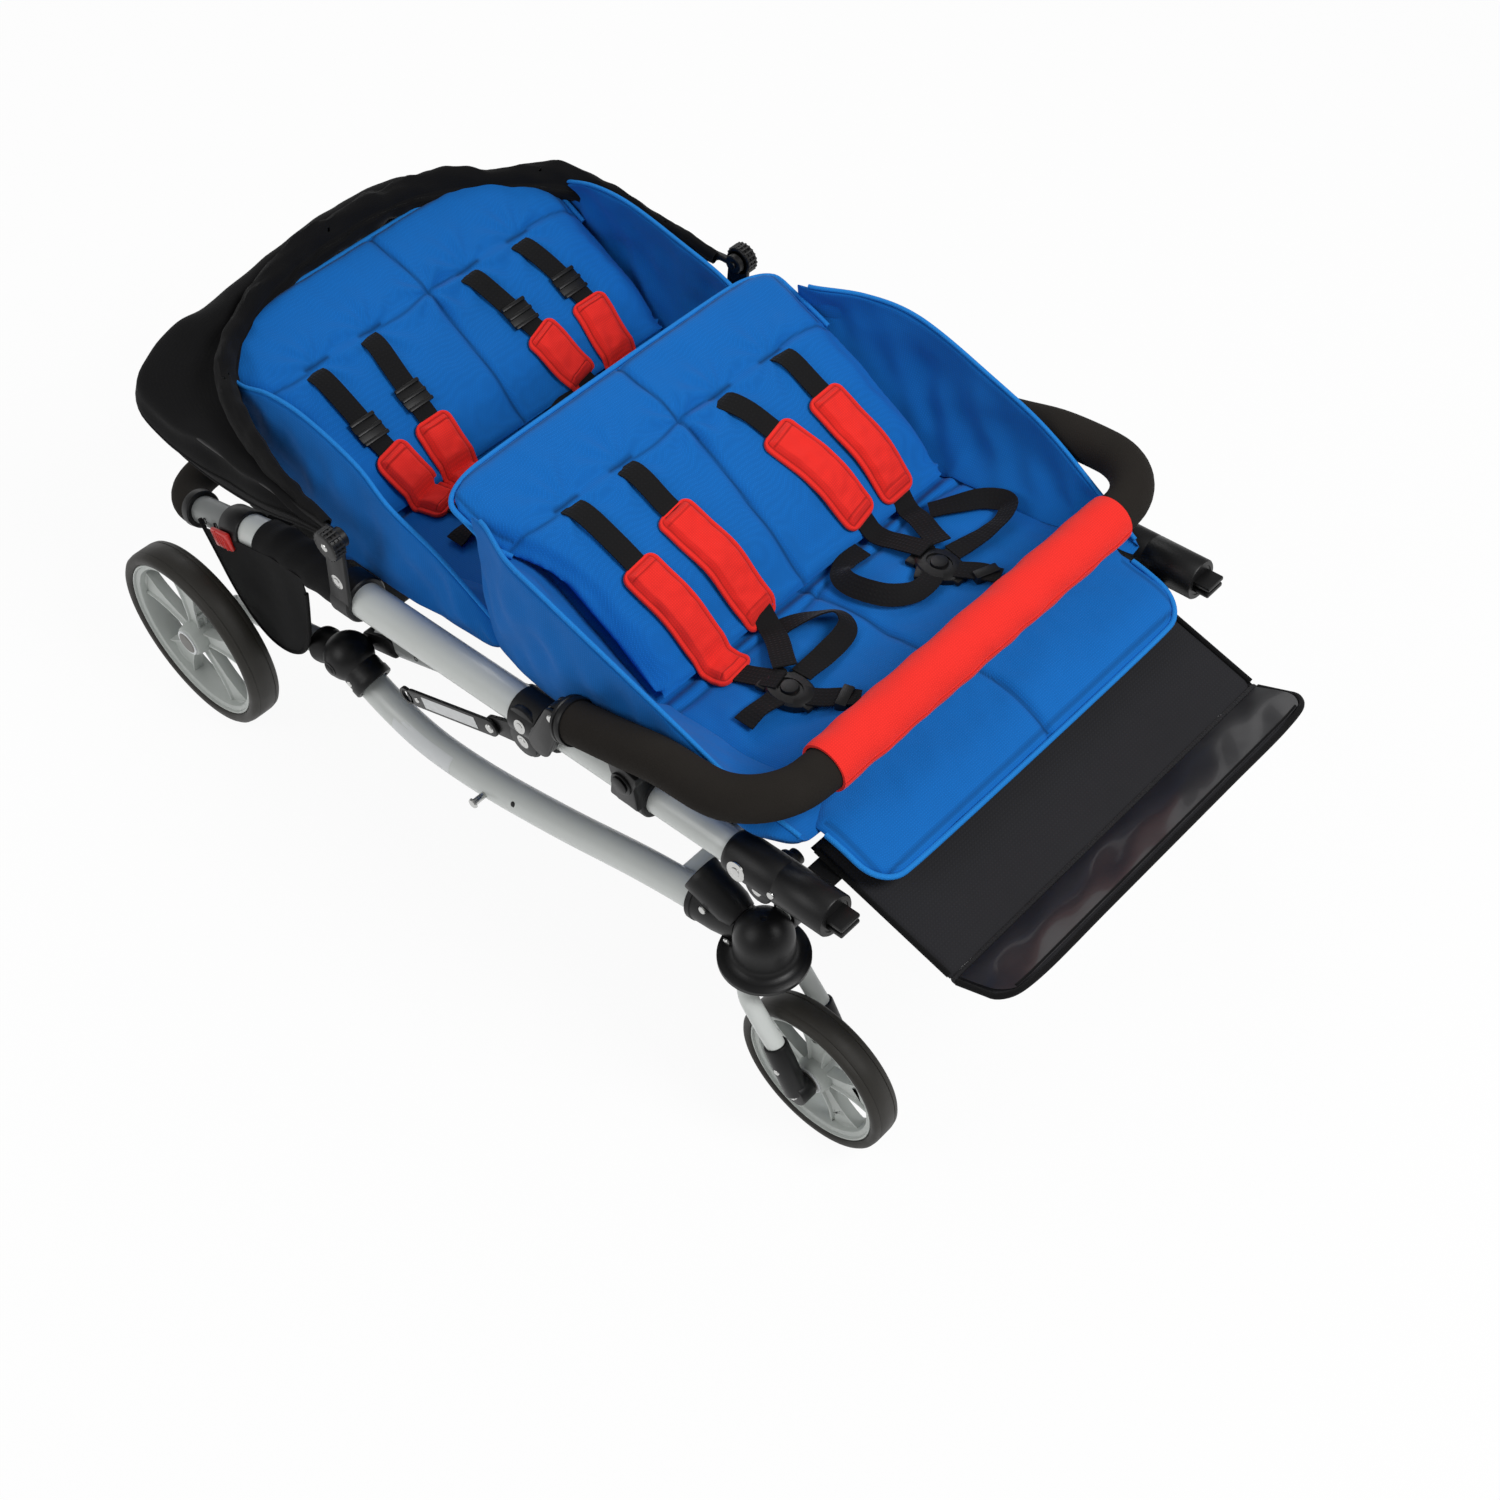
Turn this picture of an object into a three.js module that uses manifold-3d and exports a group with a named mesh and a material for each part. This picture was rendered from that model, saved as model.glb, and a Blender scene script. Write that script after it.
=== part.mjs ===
// A folding stroller for four children, two rows of two seats, with its frame folded down on its wheels.
// Millimetres, +Z up, the front towards -Y. The right side is at -X.
import * as THREE from 'three';
import { mergeVertices } from 'three/addons/utils/BufferGeometryUtils.js';
import Module from 'manifold-3d';

const wasm = await Module();
wasm.setup();

const radians = THREE.MathUtils.degToRad;
const lerp = THREE.MathUtils.lerp;
const smooth = THREE.MathUtils.smoothstep;
const sides = [{ name: 'right', sign: -1 }, { name: 'left', sign: 1 }];
const vec = (x, y, z) => new THREE.Vector3(x, y, z);

// Clearances
const seatGap = 0.4;
const runningGap = 0.5;
const cutOverrun = 30;

// Main frame tubes, placed by the fold pivot near their front ends
const frameHalfSpan = 284;
const frontTubeRadius = 17;
const rearTubeRadius = 20.5;
const foldPivotY = -518;
const foldPivotHeight = 341;
const foldPivotDrop = 20.5;
const foldPinRadius = 6.2;
const frameRise = radians(4.9);
const frontTubeEndY = -596;
const tubeStepY = -206;
const handleBendY = 197;
const handleBendRun = 34;
const handleFall = radians(17.4);
const rearTubeEndY = 296;
const frameAxisZ = (y) => foldPivotHeight + foldPivotDrop - Math.tan(frameRise) * (y - foldPivotY);
const handleAxisZ = (y) => frameAxisZ(handleBendY) - Math.tan(handleFall) * (y - handleBendY);

// Front sleeve at the end of each main tube
const sleeveRadius = 22.5;
const sleeveRearY = -478;
const sleeveFrontY = -604;
const sleeveLugRadius = 16;
const plugLength = 15;
const plugWidth = 26;
const plugHeight = 11;

// Hinge block with the strut pivot and the bumper pivot
const blockRadius = 25;
const blockRearY = -186;
const blockFrontY = -226;
const strutPivotY = -205;
const strutPivotDrop = 21.666;
const strutPivotHeight = frameAxisZ(strutPivotY) - strutPivotDrop;
const earRadius = 22;
const earThickness = 9;
const earStep = 21;
const earOuterX = frameHalfSpan + earStep;
const bumperPivotY = -262;
const bumperRise = 58.444;
const bumperPivotHeight = frameAxisZ(bumperPivotY) + bumperRise;
const bumperPinRadius = 5;
const bumperArmRadius = 12;

// Folding strut, a flat oval sleeve with a rod sliding in it
const jointY = 115;
const jointHeight = 186;
const jointStep = 4;
const jointX = frameHalfSpan + jointStep;
const jointRadius = 29;
const strutInset = 34.5;
const strutX = frameHalfSpan - strutInset;
const strutDepth = 30;
const strutWidth = 18;
const strutWall = 2.6;
const strutSleeveLength = 300;
const strutSolidLength = 40;
const strutPinRadius = 6;
const strutRodLength = 270;
const strutEyeWidth = 8;
const strutHoleSpacing = 26;
const strutHoleRadius = 3.2;

// Locking link bar and the peg that it hooks over
const linkPivotY = -152;
const linkPivotDrop = 39.123;
const linkPivotHeight = frameAxisZ(linkPivotY) - linkPivotDrop;
const linkAngle = radians(-22.9);
const linkLength = 152;
const linkWidth = 22;
const linkThickness = 4;
const linkStep = 20.5;
const linkX = frameHalfSpan + linkStep;
const linkPinRadius = 4;
const linkEyeRadius = 7.6;
const pegY = -118;
const pegRadius = 4;
const pegHeadRadius = 6.2;
const pegReach = 17;
const pegHeadLength = 3;

// Base tubes, from the rear joint to the caster housing
const baseTubeRadius = 18;
const baseRearY = 92;
const baseFrontY = -458;
const baseLowDrop = 55;
const baseLowHeight = jointHeight - baseLowDrop;
const baseHighHeight = 238;
const baseRouteShares = [
  [0, 0.26], [0.08, 0.1], [0.18, 0.01], [0.33, 0.08], [0.57, 0.39], [0.79, 0.75], [0.92, 0.92], [1, 1],
];
const crossTubeRadius = 10;
const baseCrossShare = 0.885;
const baseSocketShare = 0.915;
const seatCrossTubeY = -217;

// Rear wheels and axle
const rearAxleY = 325;
const rearTyreRadius = 118;
const rearRimRadius = 104;
const rearWheelStep = 65;
const rearWheelX = frameHalfSpan + rearWheelStep;
const rearTyreHalfWidth = 20;
const rearAxleRadius = 11;
const rearSpindleRadius = 6;
const legRadius = 15;

// Casters and front wheels
const casterStep = 5;
const casterX = frameHalfSpan + casterStep;
const casterTrail = 74;
const frontTyreRadius = 92;
const frontRimRadius = 81;
const frontTyreHalfWidth = 18;
const frontAxleRadius = 5.6;
const skirtRadius = 47;
const skirtHeight = 222;
const skirtThickness = 7;
const domeRadius = 31;
const domeShare = 0.286;
const domeHeight = lerp(skirtHeight, foldPivotHeight, domeShare);
const stemRadius = 8;
const stemTopShare = 0.82;
const stemTopHeight = lerp(skirtHeight, domeHeight, stemTopShare);
const crownRadius = 25;
const crownThickness = 12;
const forkTubeRadius = 10;
const forkHalfSpread = 33.5;
const forkBlockRadius = 13;
const forkBossRadius = 15;
const forkBossOuter = 43;
const forkBossStep = 3;
const forkWheelGap = 2;
const bowPinGap = 2;
const cupRadius = 21;
const cupWall = 4.5;
const cupDepth = 26;
const cupMouthY = -428;
const cupMouthHeight = 275;
const cupRootY = -478;
const cupRootHeight = domeHeight;
const housingLugRadius = 14;
const housingLugWidth = 10;

// Wheel details
const spokeCount = 5;
const hubRadius = 19;
const hubProud = 1.6;
const ringDepth = 9;
const spokeRootWidth = 15;
const spokeTipWidth = 40;
const spokeThickness = 15;

// Handle
const handleTubeRadius = 16.6;
const handleInsertY = 214;
const gripRadius = 22;
const gripStartY = 368;
const handleEndY = 431;
const handleCornerRadius = 62;
const latchY = 284;
const latchLength = 34;
const latchHeight = 24;
const latchThickness = 6;
const latchStemRadius = 4;
const latchTravel = 3;

// Canopy
const canopyPivotY = 65;
const canopyPivotHeight = 414;
const canopyHubRadius = 16;
const canopyHubStep = 18;
const canopyHubLength = 16;
const canopyHubInnerX = frameHalfSpan + canopyHubStep;
const canopyHubOuterX = canopyHubInnerX + canopyHubLength;
const canopyBracketY = 76;
const canopyBracketWidth = 30;
const canopyBracketThickness = 6;
const canopyPinRadius = 4.5;
const bowRadius = 4;
const bowStep = 13;
const bowX = frameHalfSpan + bowStep;
const bowRearY = 440;
const bowRearHeight = 404;
const bowCornerRadius = 70;
const clothHalfThickness = 2;
const clothSag = 26;
const bandInset = 3;
const bandX = frameHalfSpan - bandInset;
const bandFrontY = 112;
const bandRearY = 398;
const bandLowHeight = 436;
const bandTopHeight = 480;
const bandShares = [[1, 0, 0], [1, 0.48, 0.43], [1, 0.77, 0.78], [0.93, 0.92, 0.93], [0.8, 0.99, 1], [0.4, 1, 1]];

// Bumper bar
const foamRadius = 23;
const bumperStep = 16;
const bumperX = frameHalfSpan + bumperStep;
const bumperFoamStartY = -284;
const bumperFoamRise = 4;
const bumperFoamStartHeight = bumperPivotHeight + bumperFoamRise;
const bumperBendY = -400;
const bumperBendRise = 41;
const bumperBendHeight = bumperPivotHeight + bumperBendRise;
const bumperArcRise = 49;
const bumperArcHeight = bumperPivotHeight + bumperArcRise;
const bumperCorner = 72;
const bumperFrontY = -527;
const bumperFrontRise = 59;
const bumperFrontHeight = bumperPivotHeight + bumperFrontRise;
const coverShare = 0.95;
const coverReach = coverShare * (bumperX - bumperCorner);
const coverThickness = 2.6;
const bumperCapLength = 10;
const catchY = -358;
const catchLength = 38;
const catchWidth = 26;
const catchRingRadius = 23;
const catchButtonShare = 0.27;
const catchButtonHeight = lerp(
  frameAxisZ(catchY) + catchRingRadius, bumperBendHeight - foamRadius, catchButtonShare,
);
const buttonRadius = 10;
const buttonStemRadius = 7;
const buttonTravel = 2.5;
const buttonCapThickness = 3;

// Seats: the front row by its own line, and the rear row the same line further back along the tubes
const rowFrontY = -621;
const rowLength = 580;
const rowStep = 23;
const rowLowHeight = foldPivotHeight + rowStep;
const rowRise = 141;
const rowSpacing = 425;
const seatInset = 26;
const flapInset = 48;
const padInset = 52;
const seatHalfWidth = frameHalfSpan - seatInset;
const flapHalfWidth = frameHalfSpan - flapInset;
const padHalfWidth = frameHalfSpan - padInset;
const linerHalf = 6;
const flapHalf = 4;
const seatCrown = 5;
const padThickness = 24;
const padCrown = 5;
const channelDepth = 4;
const channelHalfWidth = 7;
const wingHalf = 8;
const wingBulge = 1.5;
const wingRootShare = 0.95;
const seatTabShare = 0.545;
const seatTabLength = 24;
const seatTabWidth = 8;
const padGap = 0.8;
const padLift = 3;
const thinnest = 1.5;
const floorShares = [
  [0, 0.1], [0.08, 0.22], [0.15, 0.26], [0.24, 0.18], [0.34, 0.05], [0.46, 0], [0.55, -0.02],
  [0.7, 0.29], [0.85, 0.62], [1, 0.84],
];
const linerEndShare = 0.97;
const padStartShare = 0.6;
const wingShares = [
  [
    [0.14, 0.241, 0.901], [0.252, 0.426, 0.94], [0.381, 0.674, 0.961], [0.502, 0.837, 0.965],
    [0.691, 1.035, 0.958], [0.795, 1.028, 0.923], [0.893, 0.986, 0.845],
  ],
  [
    [0.114, 0.216, 0.866], [0.286, 0.584, 0.866], [0.407, 0.776, 0.873], [0.493, 0.911, 0.852],
    [0.648, 1.03, 0.845], [0.743, 0.996, 0.845], [0.833, 0.833, 0.845],
  ],
];
const padChannelShares = [0.25, 0.6];
const seamShare = 0.5;
const padRound = 0.08;
const padRoundStart = 0.8;

// Footrest, tray and basket
const footrestRearY = -540;
const footrestStep = 25;
const footrestRearHeight = foldPivotHeight + footrestStep;
const creaseY = -710;
const creaseHeight = 321;
const footrestInset = 43;
const footrestHalfWidth = frameHalfSpan - footrestInset;
const boardThickness = 6;
const footrestTabLength = 34;
const trayReach = 68;
const trayTurn = radians(23);
const trayEdgeRadius = 4;
const trayCornerRadius = 26;
const basketRearY = 376;
const basketFrontY = 140;
const basketInset = 52;
const basketHalfWidth = frameHalfSpan - basketInset;
const basketFloorHeight = 150;
const basketRimHeight = 272;
const basketWall = 4;
const basketTabLength = 34;
const basketTabThickness = 8;

// Harness buckles
const buckleX = 115;
const buckleShare = 0.39;
const buckleHalfLength = 30;
const buckleHalfWidth = 21;
const buckleThickness = 13;
const releaseRadius = 10;
const releaseHeight = 5;
const releaseTravel = 2.5;
const releaseWell = 3;

// Counts of faces
const barFaces = 10;
const tubeFaces = barFaces / 2;
const bigFaces = 12;
const smallFaces = 8;
const plateFaces = 3;
const wireFaces = 3;
const foamFaces = 4;
const wheelFaces = 24;
const tubeSteps = 8;
const baseSteps = 11;
const legSteps = 4;
const handleSteps = 22;
const bowSteps = 24;
const bumperSteps = 22;

// Turns a closed geometry into a solid, with its faces pointing out
function solid(geometry) {
  const bare = geometry.clone();
  bare.deleteAttribute('normal');
  bare.deleteAttribute('uv');
  const merged = mergeVertices(bare, 1e-4);
  const corners = merged.attributes.position.array;
  const faces = Uint32Array.from(merged.index.array);
  const a = vec(0, 0, 0);
  const b = vec(0, 0, 0);
  const c = vec(0, 0, 0);
  const kept = [];
  let volume = 0;
  for (let i = 0; i < faces.length; i += 3) {
    const [p, q, r] = [faces[i], faces[i + 1], faces[i + 2]];
    if (p === q || q === r || p === r) continue;
    kept.push(p, q, r);
    volume += a.fromArray(corners, 3 * p).dot(b.fromArray(corners, 3 * q).cross(c.fromArray(corners, 3 * r)));
  }
  if (volume < 0) kept.reverse();
  return new wasm.Manifold(new wasm.Mesh({
    numProp: 3,
    vertProperties: Float32Array.from(corners),
    triVerts: Uint32Array.from(kept),
  }));
}

function geometryOf(body) {
  const mesh = body.getMesh();
  const geometry = new THREE.BufferGeometry();
  const corners = new Float32Array(mesh.numVert * 3);
  for (let i = 0; i < mesh.numVert; i += 1) {
    for (let k = 0; k < 3; k += 1) corners[3 * i + k] = mesh.vertProperties[i * mesh.numProp + k];
  }
  geometry.setAttribute('position', new THREE.BufferAttribute(corners, 3));
  geometry.setIndex(new THREE.BufferAttribute(Uint32Array.from(mesh.triVerts), 1));
  geometry.computeVertexNormals();
  return geometry;
}

const join = (bodies) => bodies.reduce((sum, body) => sum.add(body));

// A round bar from one point to another
function bar(from, to, radius, faces = barFaces) {
  const along = to.clone().sub(from);
  const geometry = new THREE.CylinderGeometry(radius, radius, along.length(), faces);
  const turn = new THREE.Quaternion().setFromUnitVectors(vec(0, 1, 0), along.clone().normalize());
  geometry.applyQuaternion(turn);
  const middle = from.clone().add(to).multiplyScalar(0.5);
  geometry.translate(middle.x, middle.y, middle.z);
  return solid(geometry);
}

// A bar along X at a place in the side view
const crossBar = (y, z, x0, x1, radius, faces = barFaces) => bar(vec(x0, y, z), vec(x1, y, z), radius, faces);

function block(x0, x1, y0, y1, z0, z1) {
  const geometry = new THREE.BoxGeometry(Math.abs(x1 - x0), Math.abs(y1 - y0), Math.abs(z1 - z0));
  geometry.translate((x0 + x1) / 2, (y0 + y1) / 2, (z0 + z1) / 2);
  return solid(geometry);
}

const circle = (radius) => new THREE.Shape().absarc(0, 0, radius, 0, 2 * Math.PI);

// The radius of a bore that leaves the seat gap round a shaft, wherever their faces stand
const bored = (radius, faces = barFaces) => (radius + seatGap) / Math.cos(Math.PI / faces);

// A round tube along a smooth line through points
function sweep(points, radius, steps, faces = tubeFaces) {
  const extrudePath = new THREE.CatmullRomCurve3(points, false, 'centripetal');
  return solid(new THREE.ExtrudeGeometry(circle(radius), { steps, extrudePath, curveSegments: faces }));
}

function ball(x, y, z, radius) {
  const geometry = new THREE.SphereGeometry(radius, bigFaces, bigFaces / 2);
  geometry.rotateX(Math.PI / 2);
  geometry.translate(x, y, z);
  return solid(geometry);
}

// A profile of [radius, place along X] points turned about the X axis through a place in the side view,
// with a face at the bottom and the radii measured to the faces
function turnedAboutX(profile, y, z, x, faces = wheelFaces) {
  const half = Math.PI / faces;
  const outline = profile.map(([radius, along]) => new THREE.Vector2(radius / Math.cos(half), along));
  const geometry = new THREE.LatheGeometry(outline, faces, half);
  geometry.rotateZ(-Math.PI / 2);
  geometry.translate(x, y, z);
  return solid(geometry);
}

// A flat shape drawn in the side view as (y, z), with its thickness along X
function sidePlate(shape, x0, x1, faces = plateFaces) {
  const geometry = new THREE.ExtrudeGeometry(shape, {
    depth: Math.abs(x1 - x0), bevelEnabled: false, curveSegments: faces,
  });
  geometry.applyMatrix4(new THREE.Matrix4().makeBasis(vec(0, 1, 0), vec(0, 0, 1), vec(1, 0, 0)));
  geometry.translate(Math.min(x0, x1), 0, 0);
  return solid(geometry);
}

// The outline of a flat bar with round ends between two points in the side view
function capsule(y0, z0, y1, z1, r0, r1 = r0) {
  const angle = Math.atan2(z1 - z0, y1 - y0);
  const quarter = Math.PI / 2;
  const shape = new THREE.Shape();
  shape.absarc(y0, z0, r0, angle + quarter, angle + 3 * quarter);
  shape.absarc(y1, z1, r1, angle - quarter, angle + quarter);
  return shape;
}

function addHole(shape, y, z, radius) {
  shape.holes.push(new THREE.Path().absarc(y, z, radius, 0, 2 * Math.PI));
  return shape;
}

// A closed padded sheet: a grid over a middle surface, thickened both ways by its own half thickness
function padded(across, along, middle, half) {
  const corners = [];
  const nudge = 1e-3;
  for (const face of [1, -1]) {
    for (let j = 0; j <= along; j += 1) {
      for (let i = 0; i <= across; i += 1) {
        const [u, v] = [i / across, j / along];
        const [u0, u1] = [Math.max(0, u - nudge), Math.min(1, u + nudge)];
        const [v0, v1] = [Math.max(0, v - nudge), Math.min(1, v + nudge)];
        const du = middle(u1, v).sub(middle(u0, v));
        const dv = middle(u, v1).sub(middle(u, v0));
        const out = du.cross(dv).normalize().multiplyScalar(face * half(u, v, face));
        corners.push(...middle(u, v).add(out).toArray());
      }
    }
  }
  const row = across + 1;
  const layer = row * (along + 1);
  const faces = [];
  const quad = (a, b, c, d) => faces.push(a, b, c, a, c, d);
  for (let j = 0; j < along; j += 1) {
    for (let i = 0; i < across; i += 1) {
      const k = j * row + i;
      quad(k, k + 1, k + row + 1, k + row);
      quad(layer + k, layer + k + row, layer + k + row + 1, layer + k + 1);
    }
  }
  for (let i = 0; i < across; i += 1) {
    const far = along * row + i;
    quad(i, layer + i, layer + i + 1, i + 1);
    quad(far, far + 1, layer + far + 1, layer + far);
  }
  for (let j = 0; j < along; j += 1) {
    const k = j * row;
    const end = k + across;
    quad(k, k + row, layer + k + row, layer + k);
    quad(end, layer + end, layer + end + row, end + row);
  }
  const geometry = new THREE.BufferGeometry();
  geometry.setAttribute('position', new THREE.Float32BufferAttribute(corners, 3));
  geometry.setIndex(faces);
  return solid(geometry);
}

// Places on the frame
const strutLift = Math.atan2(strutPivotHeight - jointHeight, strutPivotY - jointY);
const strutLength = Math.hypot(strutPivotHeight - jointHeight, strutPivotY - jointY);
const onStrut = (distance) => [
  jointY + distance * Math.cos(strutLift),
  jointHeight + distance * Math.sin(strutLift),
];
const basePoint = (share, x) => {
  const index = Math.max(1, baseRouteShares.findIndex(([run]) => run >= share));
  const [run0, lift0] = baseRouteShares[index - 1];
  const [run1, lift1] = baseRouteShares[index];
  const lift = lerp(lift0, lift1, (share - run0) / (run1 - run0));
  return vec(x, lerp(baseRearY, baseFrontY, share), lerp(baseLowHeight, baseHighHeight, lift));
};
const baseRoute = (x) => baseRouteShares.map(([share]) => basePoint(share, x));
const frontAxleY = foldPivotY - casterTrail;
const casterY = foldPivotY;

function mainTube(sign, grown = 0, hollow = true) {
  const x = sign * frameHalfSpan;
  const route = [
    vec(x, tubeStepY, frameAxisZ(tubeStepY)),
    vec(x, (tubeStepY + handleBendY) / 2, frameAxisZ((tubeStepY + handleBendY) / 2)),
    vec(x, handleBendY - handleBendRun, frameAxisZ(handleBendY - handleBendRun)),
    vec(x, handleBendY + handleBendRun, handleAxisZ(handleBendY + handleBendRun)),
    vec(x, rearTubeEndY, handleAxisZ(rearTubeEndY)),
  ];
  const rear = sweep(route, rearTubeRadius + grown, tubeSteps);
  const front = bar(
    vec(x, tubeStepY + handleBendRun, frameAxisZ(tubeStepY + handleBendRun)),
    vec(x, frontTubeEndY - grown, frameAxisZ(frontTubeEndY - grown)),
    frontTubeRadius + grown,
  );
  const tube = rear.add(front);
  if (!hollow) return tube;
  const mouth = rearTubeEndY + cutOverrun;
  const bore = bar(
    vec(x, handleInsertY, handleAxisZ(handleInsertY)),
    vec(x, mouth, handleAxisZ(mouth)),
    bored(handleTubeRadius),
  );
  const latchHole = crossBar(
    latchY, handleAxisZ(latchY), x, x + sign * cutOverrun, bored(latchStemRadius, smallFaces), smallFaces,
  );
  return tube.subtract(bore).subtract(latchHole);
}

function frontSleeve(sign) {
  const x = sign * frameHalfSpan;
  const at = (y) => vec(x, y, frameAxisZ(y));
  const sleeve = bar(at(sleeveRearY), at(sleeveFrontY), sleeveRadius, bigFaces);
  const lug = sidePlate(
    capsule(foldPivotY, foldPivotHeight, foldPivotY, frameAxisZ(foldPivotY), sleeveLugRadius),
    x - sleeveRadius, x + sleeveRadius,
  );
  const plugY = sleeveFrontY - plugLength;
  const plug = block(
    x - plugWidth / 2, x + plugWidth / 2, plugY, sleeveFrontY + plugLength,
    frameAxisZ(plugY) - plugHeight / 2, frameAxisZ(plugY) + plugHeight / 2,
  );
  const pinInner = strutX + strutWidth / 2 - housingLugWidth;
  const pin = crossBar(
    foldPivotY, foldPivotHeight, sign * pinInner, x + sign * (sleeveRadius + linkThickness), foldPinRadius,
  );
  return join([sleeve, lug]).subtract(mainTube(sign, seatGap, false)).add(plug).add(pin)
    .subtract(mainTube(sign, seatGap, false));
}

function hingeBlock(sign) {
  const x = sign * frameHalfSpan;
  const at = (y) => vec(x, y, frameAxisZ(y));
  const outer = sign * earOuterX;
  const inner = sign * (earOuterX - earThickness);
  const collar = bar(at(blockRearY), at(blockFrontY), blockRadius, bigFaces);
  const ear = sidePlate(
    capsule(strutPivotY, strutPivotHeight, strutPivotY, frameAxisZ(strutPivotY), earRadius), outer, inner,
  );
  const boss = crossBar(
    strutPivotY, strutPivotHeight, inner, sign * (strutX + strutWidth / 2 - strutWall + seatGap), earRadius / 2,
  );
  const linkArm = sidePlate(
    capsule(strutPivotY, strutPivotHeight, linkPivotY, linkPivotHeight, linkWidth / 2, linkWidth / 3),
    sign * (linkX - linkThickness / 2 - seatGap), inner,
  );
  const linkPin = crossBar(
    linkPivotY, linkPivotHeight, inner, sign * (linkX + linkThickness), linkPinRadius,
  );
  const bumperSocket = bar(
    vec(x, blockFrontY + blockRadius / 2, frameAxisZ(blockFrontY)),
    vec(x, bumperPivotY, bumperPivotHeight), bumperArmRadius,
  );
  const tongueInner = bumperX - bumperArmRadius / 2;
  const bumperBoss = crossBar(
    bumperPivotY, bumperPivotHeight, sign * (tongueInner - seatGap),
    sign * (frameHalfSpan - bumperArmRadius), bumperArmRadius,
  );
  const bumperPin = crossBar(
    bumperPivotY, bumperPivotHeight, x, sign * (bumperX + bumperArmRadius), bumperPinRadius,
  );
  const solids = join([collar, ear, boss, linkArm, linkPin, bumperSocket, bumperBoss, bumperPin]);
  const tongueRoom = crossBar(
    bumperPivotY, bumperPivotHeight, sign * (tongueInner - seatGap), sign * (bumperX + cutOverrun),
    bumperArmRadius + bumperPinRadius,
  ).subtract(crossBar(
    bumperPivotY, bumperPivotHeight, 0, sign * (bumperX + cutOverrun + cutOverrun), bumperPinRadius,
  ));
  return solids.subtract(tongueRoom).subtract(mainTube(sign, seatGap, false));
}

function seatCrossTube() {
  const z = frameAxisZ(seatCrossTubeY) + crossTubeRadius;
  const reach = frameHalfSpan - blockRadius - seatGap;
  return crossBar(seatCrossTubeY, z, -reach, reach, crossTubeRadius, barFaces);
}

const ovalShape = (depth, width) => {
  const run = (depth - width) / 2;
  return capsule(-run, 0, run, 0, width / 2);
};

// A straight oval tube along the strut, between two distances from the rear joint
function ovalBar(x, from, to, depth, width) {
  const [y0, z0] = onStrut(from);
  const [y1, z1] = onStrut(to);
  const geometry = new THREE.ExtrudeGeometry(ovalShape(depth, width), {
    depth: to - from, bevelEnabled: false, curveSegments: tubeFaces / 2,
  });
  const along = vec(0, y1 - y0, z1 - z0).normalize();
  const depthWay = vec(0, -along.z, along.y);
  const widthWay = along.clone().cross(depthWay);
  geometry.applyMatrix4(new THREE.Matrix4().makeBasis(depthWay, widthWay, along));
  geometry.translate(x, y0, z0);
  return solid(geometry);
}

function strutSleeve(sign) {
  const x = sign * strutX;
  const outer = ovalBar(x, 0, strutSleeveLength, strutDepth, strutWidth);
  const inner = ovalBar(
    x, strutSolidLength, strutSleeveLength + cutOverrun,
    strutDepth - 2 * strutWall, strutWidth - 2 * strutWall,
  );
  const eye = crossBar(jointY, jointHeight, x - strutWidth / 2, x + strutWidth / 2, strutDepth / 2);
  const bore = crossBar(jointY, jointHeight, x - cutOverrun, x + cutOverrun, bored(strutPinRadius));
  let sleeve = outer.subtract(inner).add(eye).subtract(bore);
  for (let i = 2; i < 4; i += 1) {
    const [y, z] = onStrut(strutSolidLength + i * strutHoleSpacing);
    sleeve = sleeve.subtract(crossBar(y, z, x, x + sign * cutOverrun, strutHoleRadius, smallFaces));
  }
  return sleeve;
}

function strutRod(sign) {
  const x = sign * strutX;
  const slack = 2 * (strutWall + seatGap);
  const rod = ovalBar(
    x, strutLength - strutRodLength, strutLength, strutDepth - slack, strutWidth - slack,
  );
  const eye = crossBar(
    strutPivotY, strutPivotHeight, x - strutEyeWidth / 2, x + strutEyeWidth / 2, strutDepth / 2,
  );
  const bore = crossBar(strutPivotY, strutPivotHeight, x - cutOverrun, x + cutOverrun, strutPinRadius);
  return rod.add(eye).subtract(bore);
}

function lockLink(sign) {
  const eyeY = linkPivotY + linkLength * Math.cos(linkAngle);
  const eyeZ = linkPivotHeight + linkLength * Math.sin(linkAngle);
  const shape = capsule(linkPivotY, linkPivotHeight, eyeY, eyeZ, linkWidth / 2);
  addHole(shape, linkPivotY, linkPivotHeight, bored(linkPinRadius));
  addHole(shape, eyeY, eyeZ, linkEyeRadius);
  return sidePlate(
    shape, sign * (linkX - linkThickness / 2), sign * (linkX + linkThickness / 2), tubeFaces,
  );
}

function baseTube(sign) {
  const x = sign * frameHalfSpan;
  const tube = sweep(baseRoute(x), baseTubeRadius, baseSteps);
  const peg = basePoint((pegY - baseRearY) / (baseFrontY - baseRearY), x);
  const tip = x + sign * (baseTubeRadius + pegReach);
  const shank = crossBar(peg.y, peg.z, x, tip, pegRadius, smallFaces);
  const head = crossBar(peg.y, peg.z, tip - sign * pegHeadLength, tip, pegHeadRadius, smallFaces);
  return join([tube, shank, head]);
}

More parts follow.
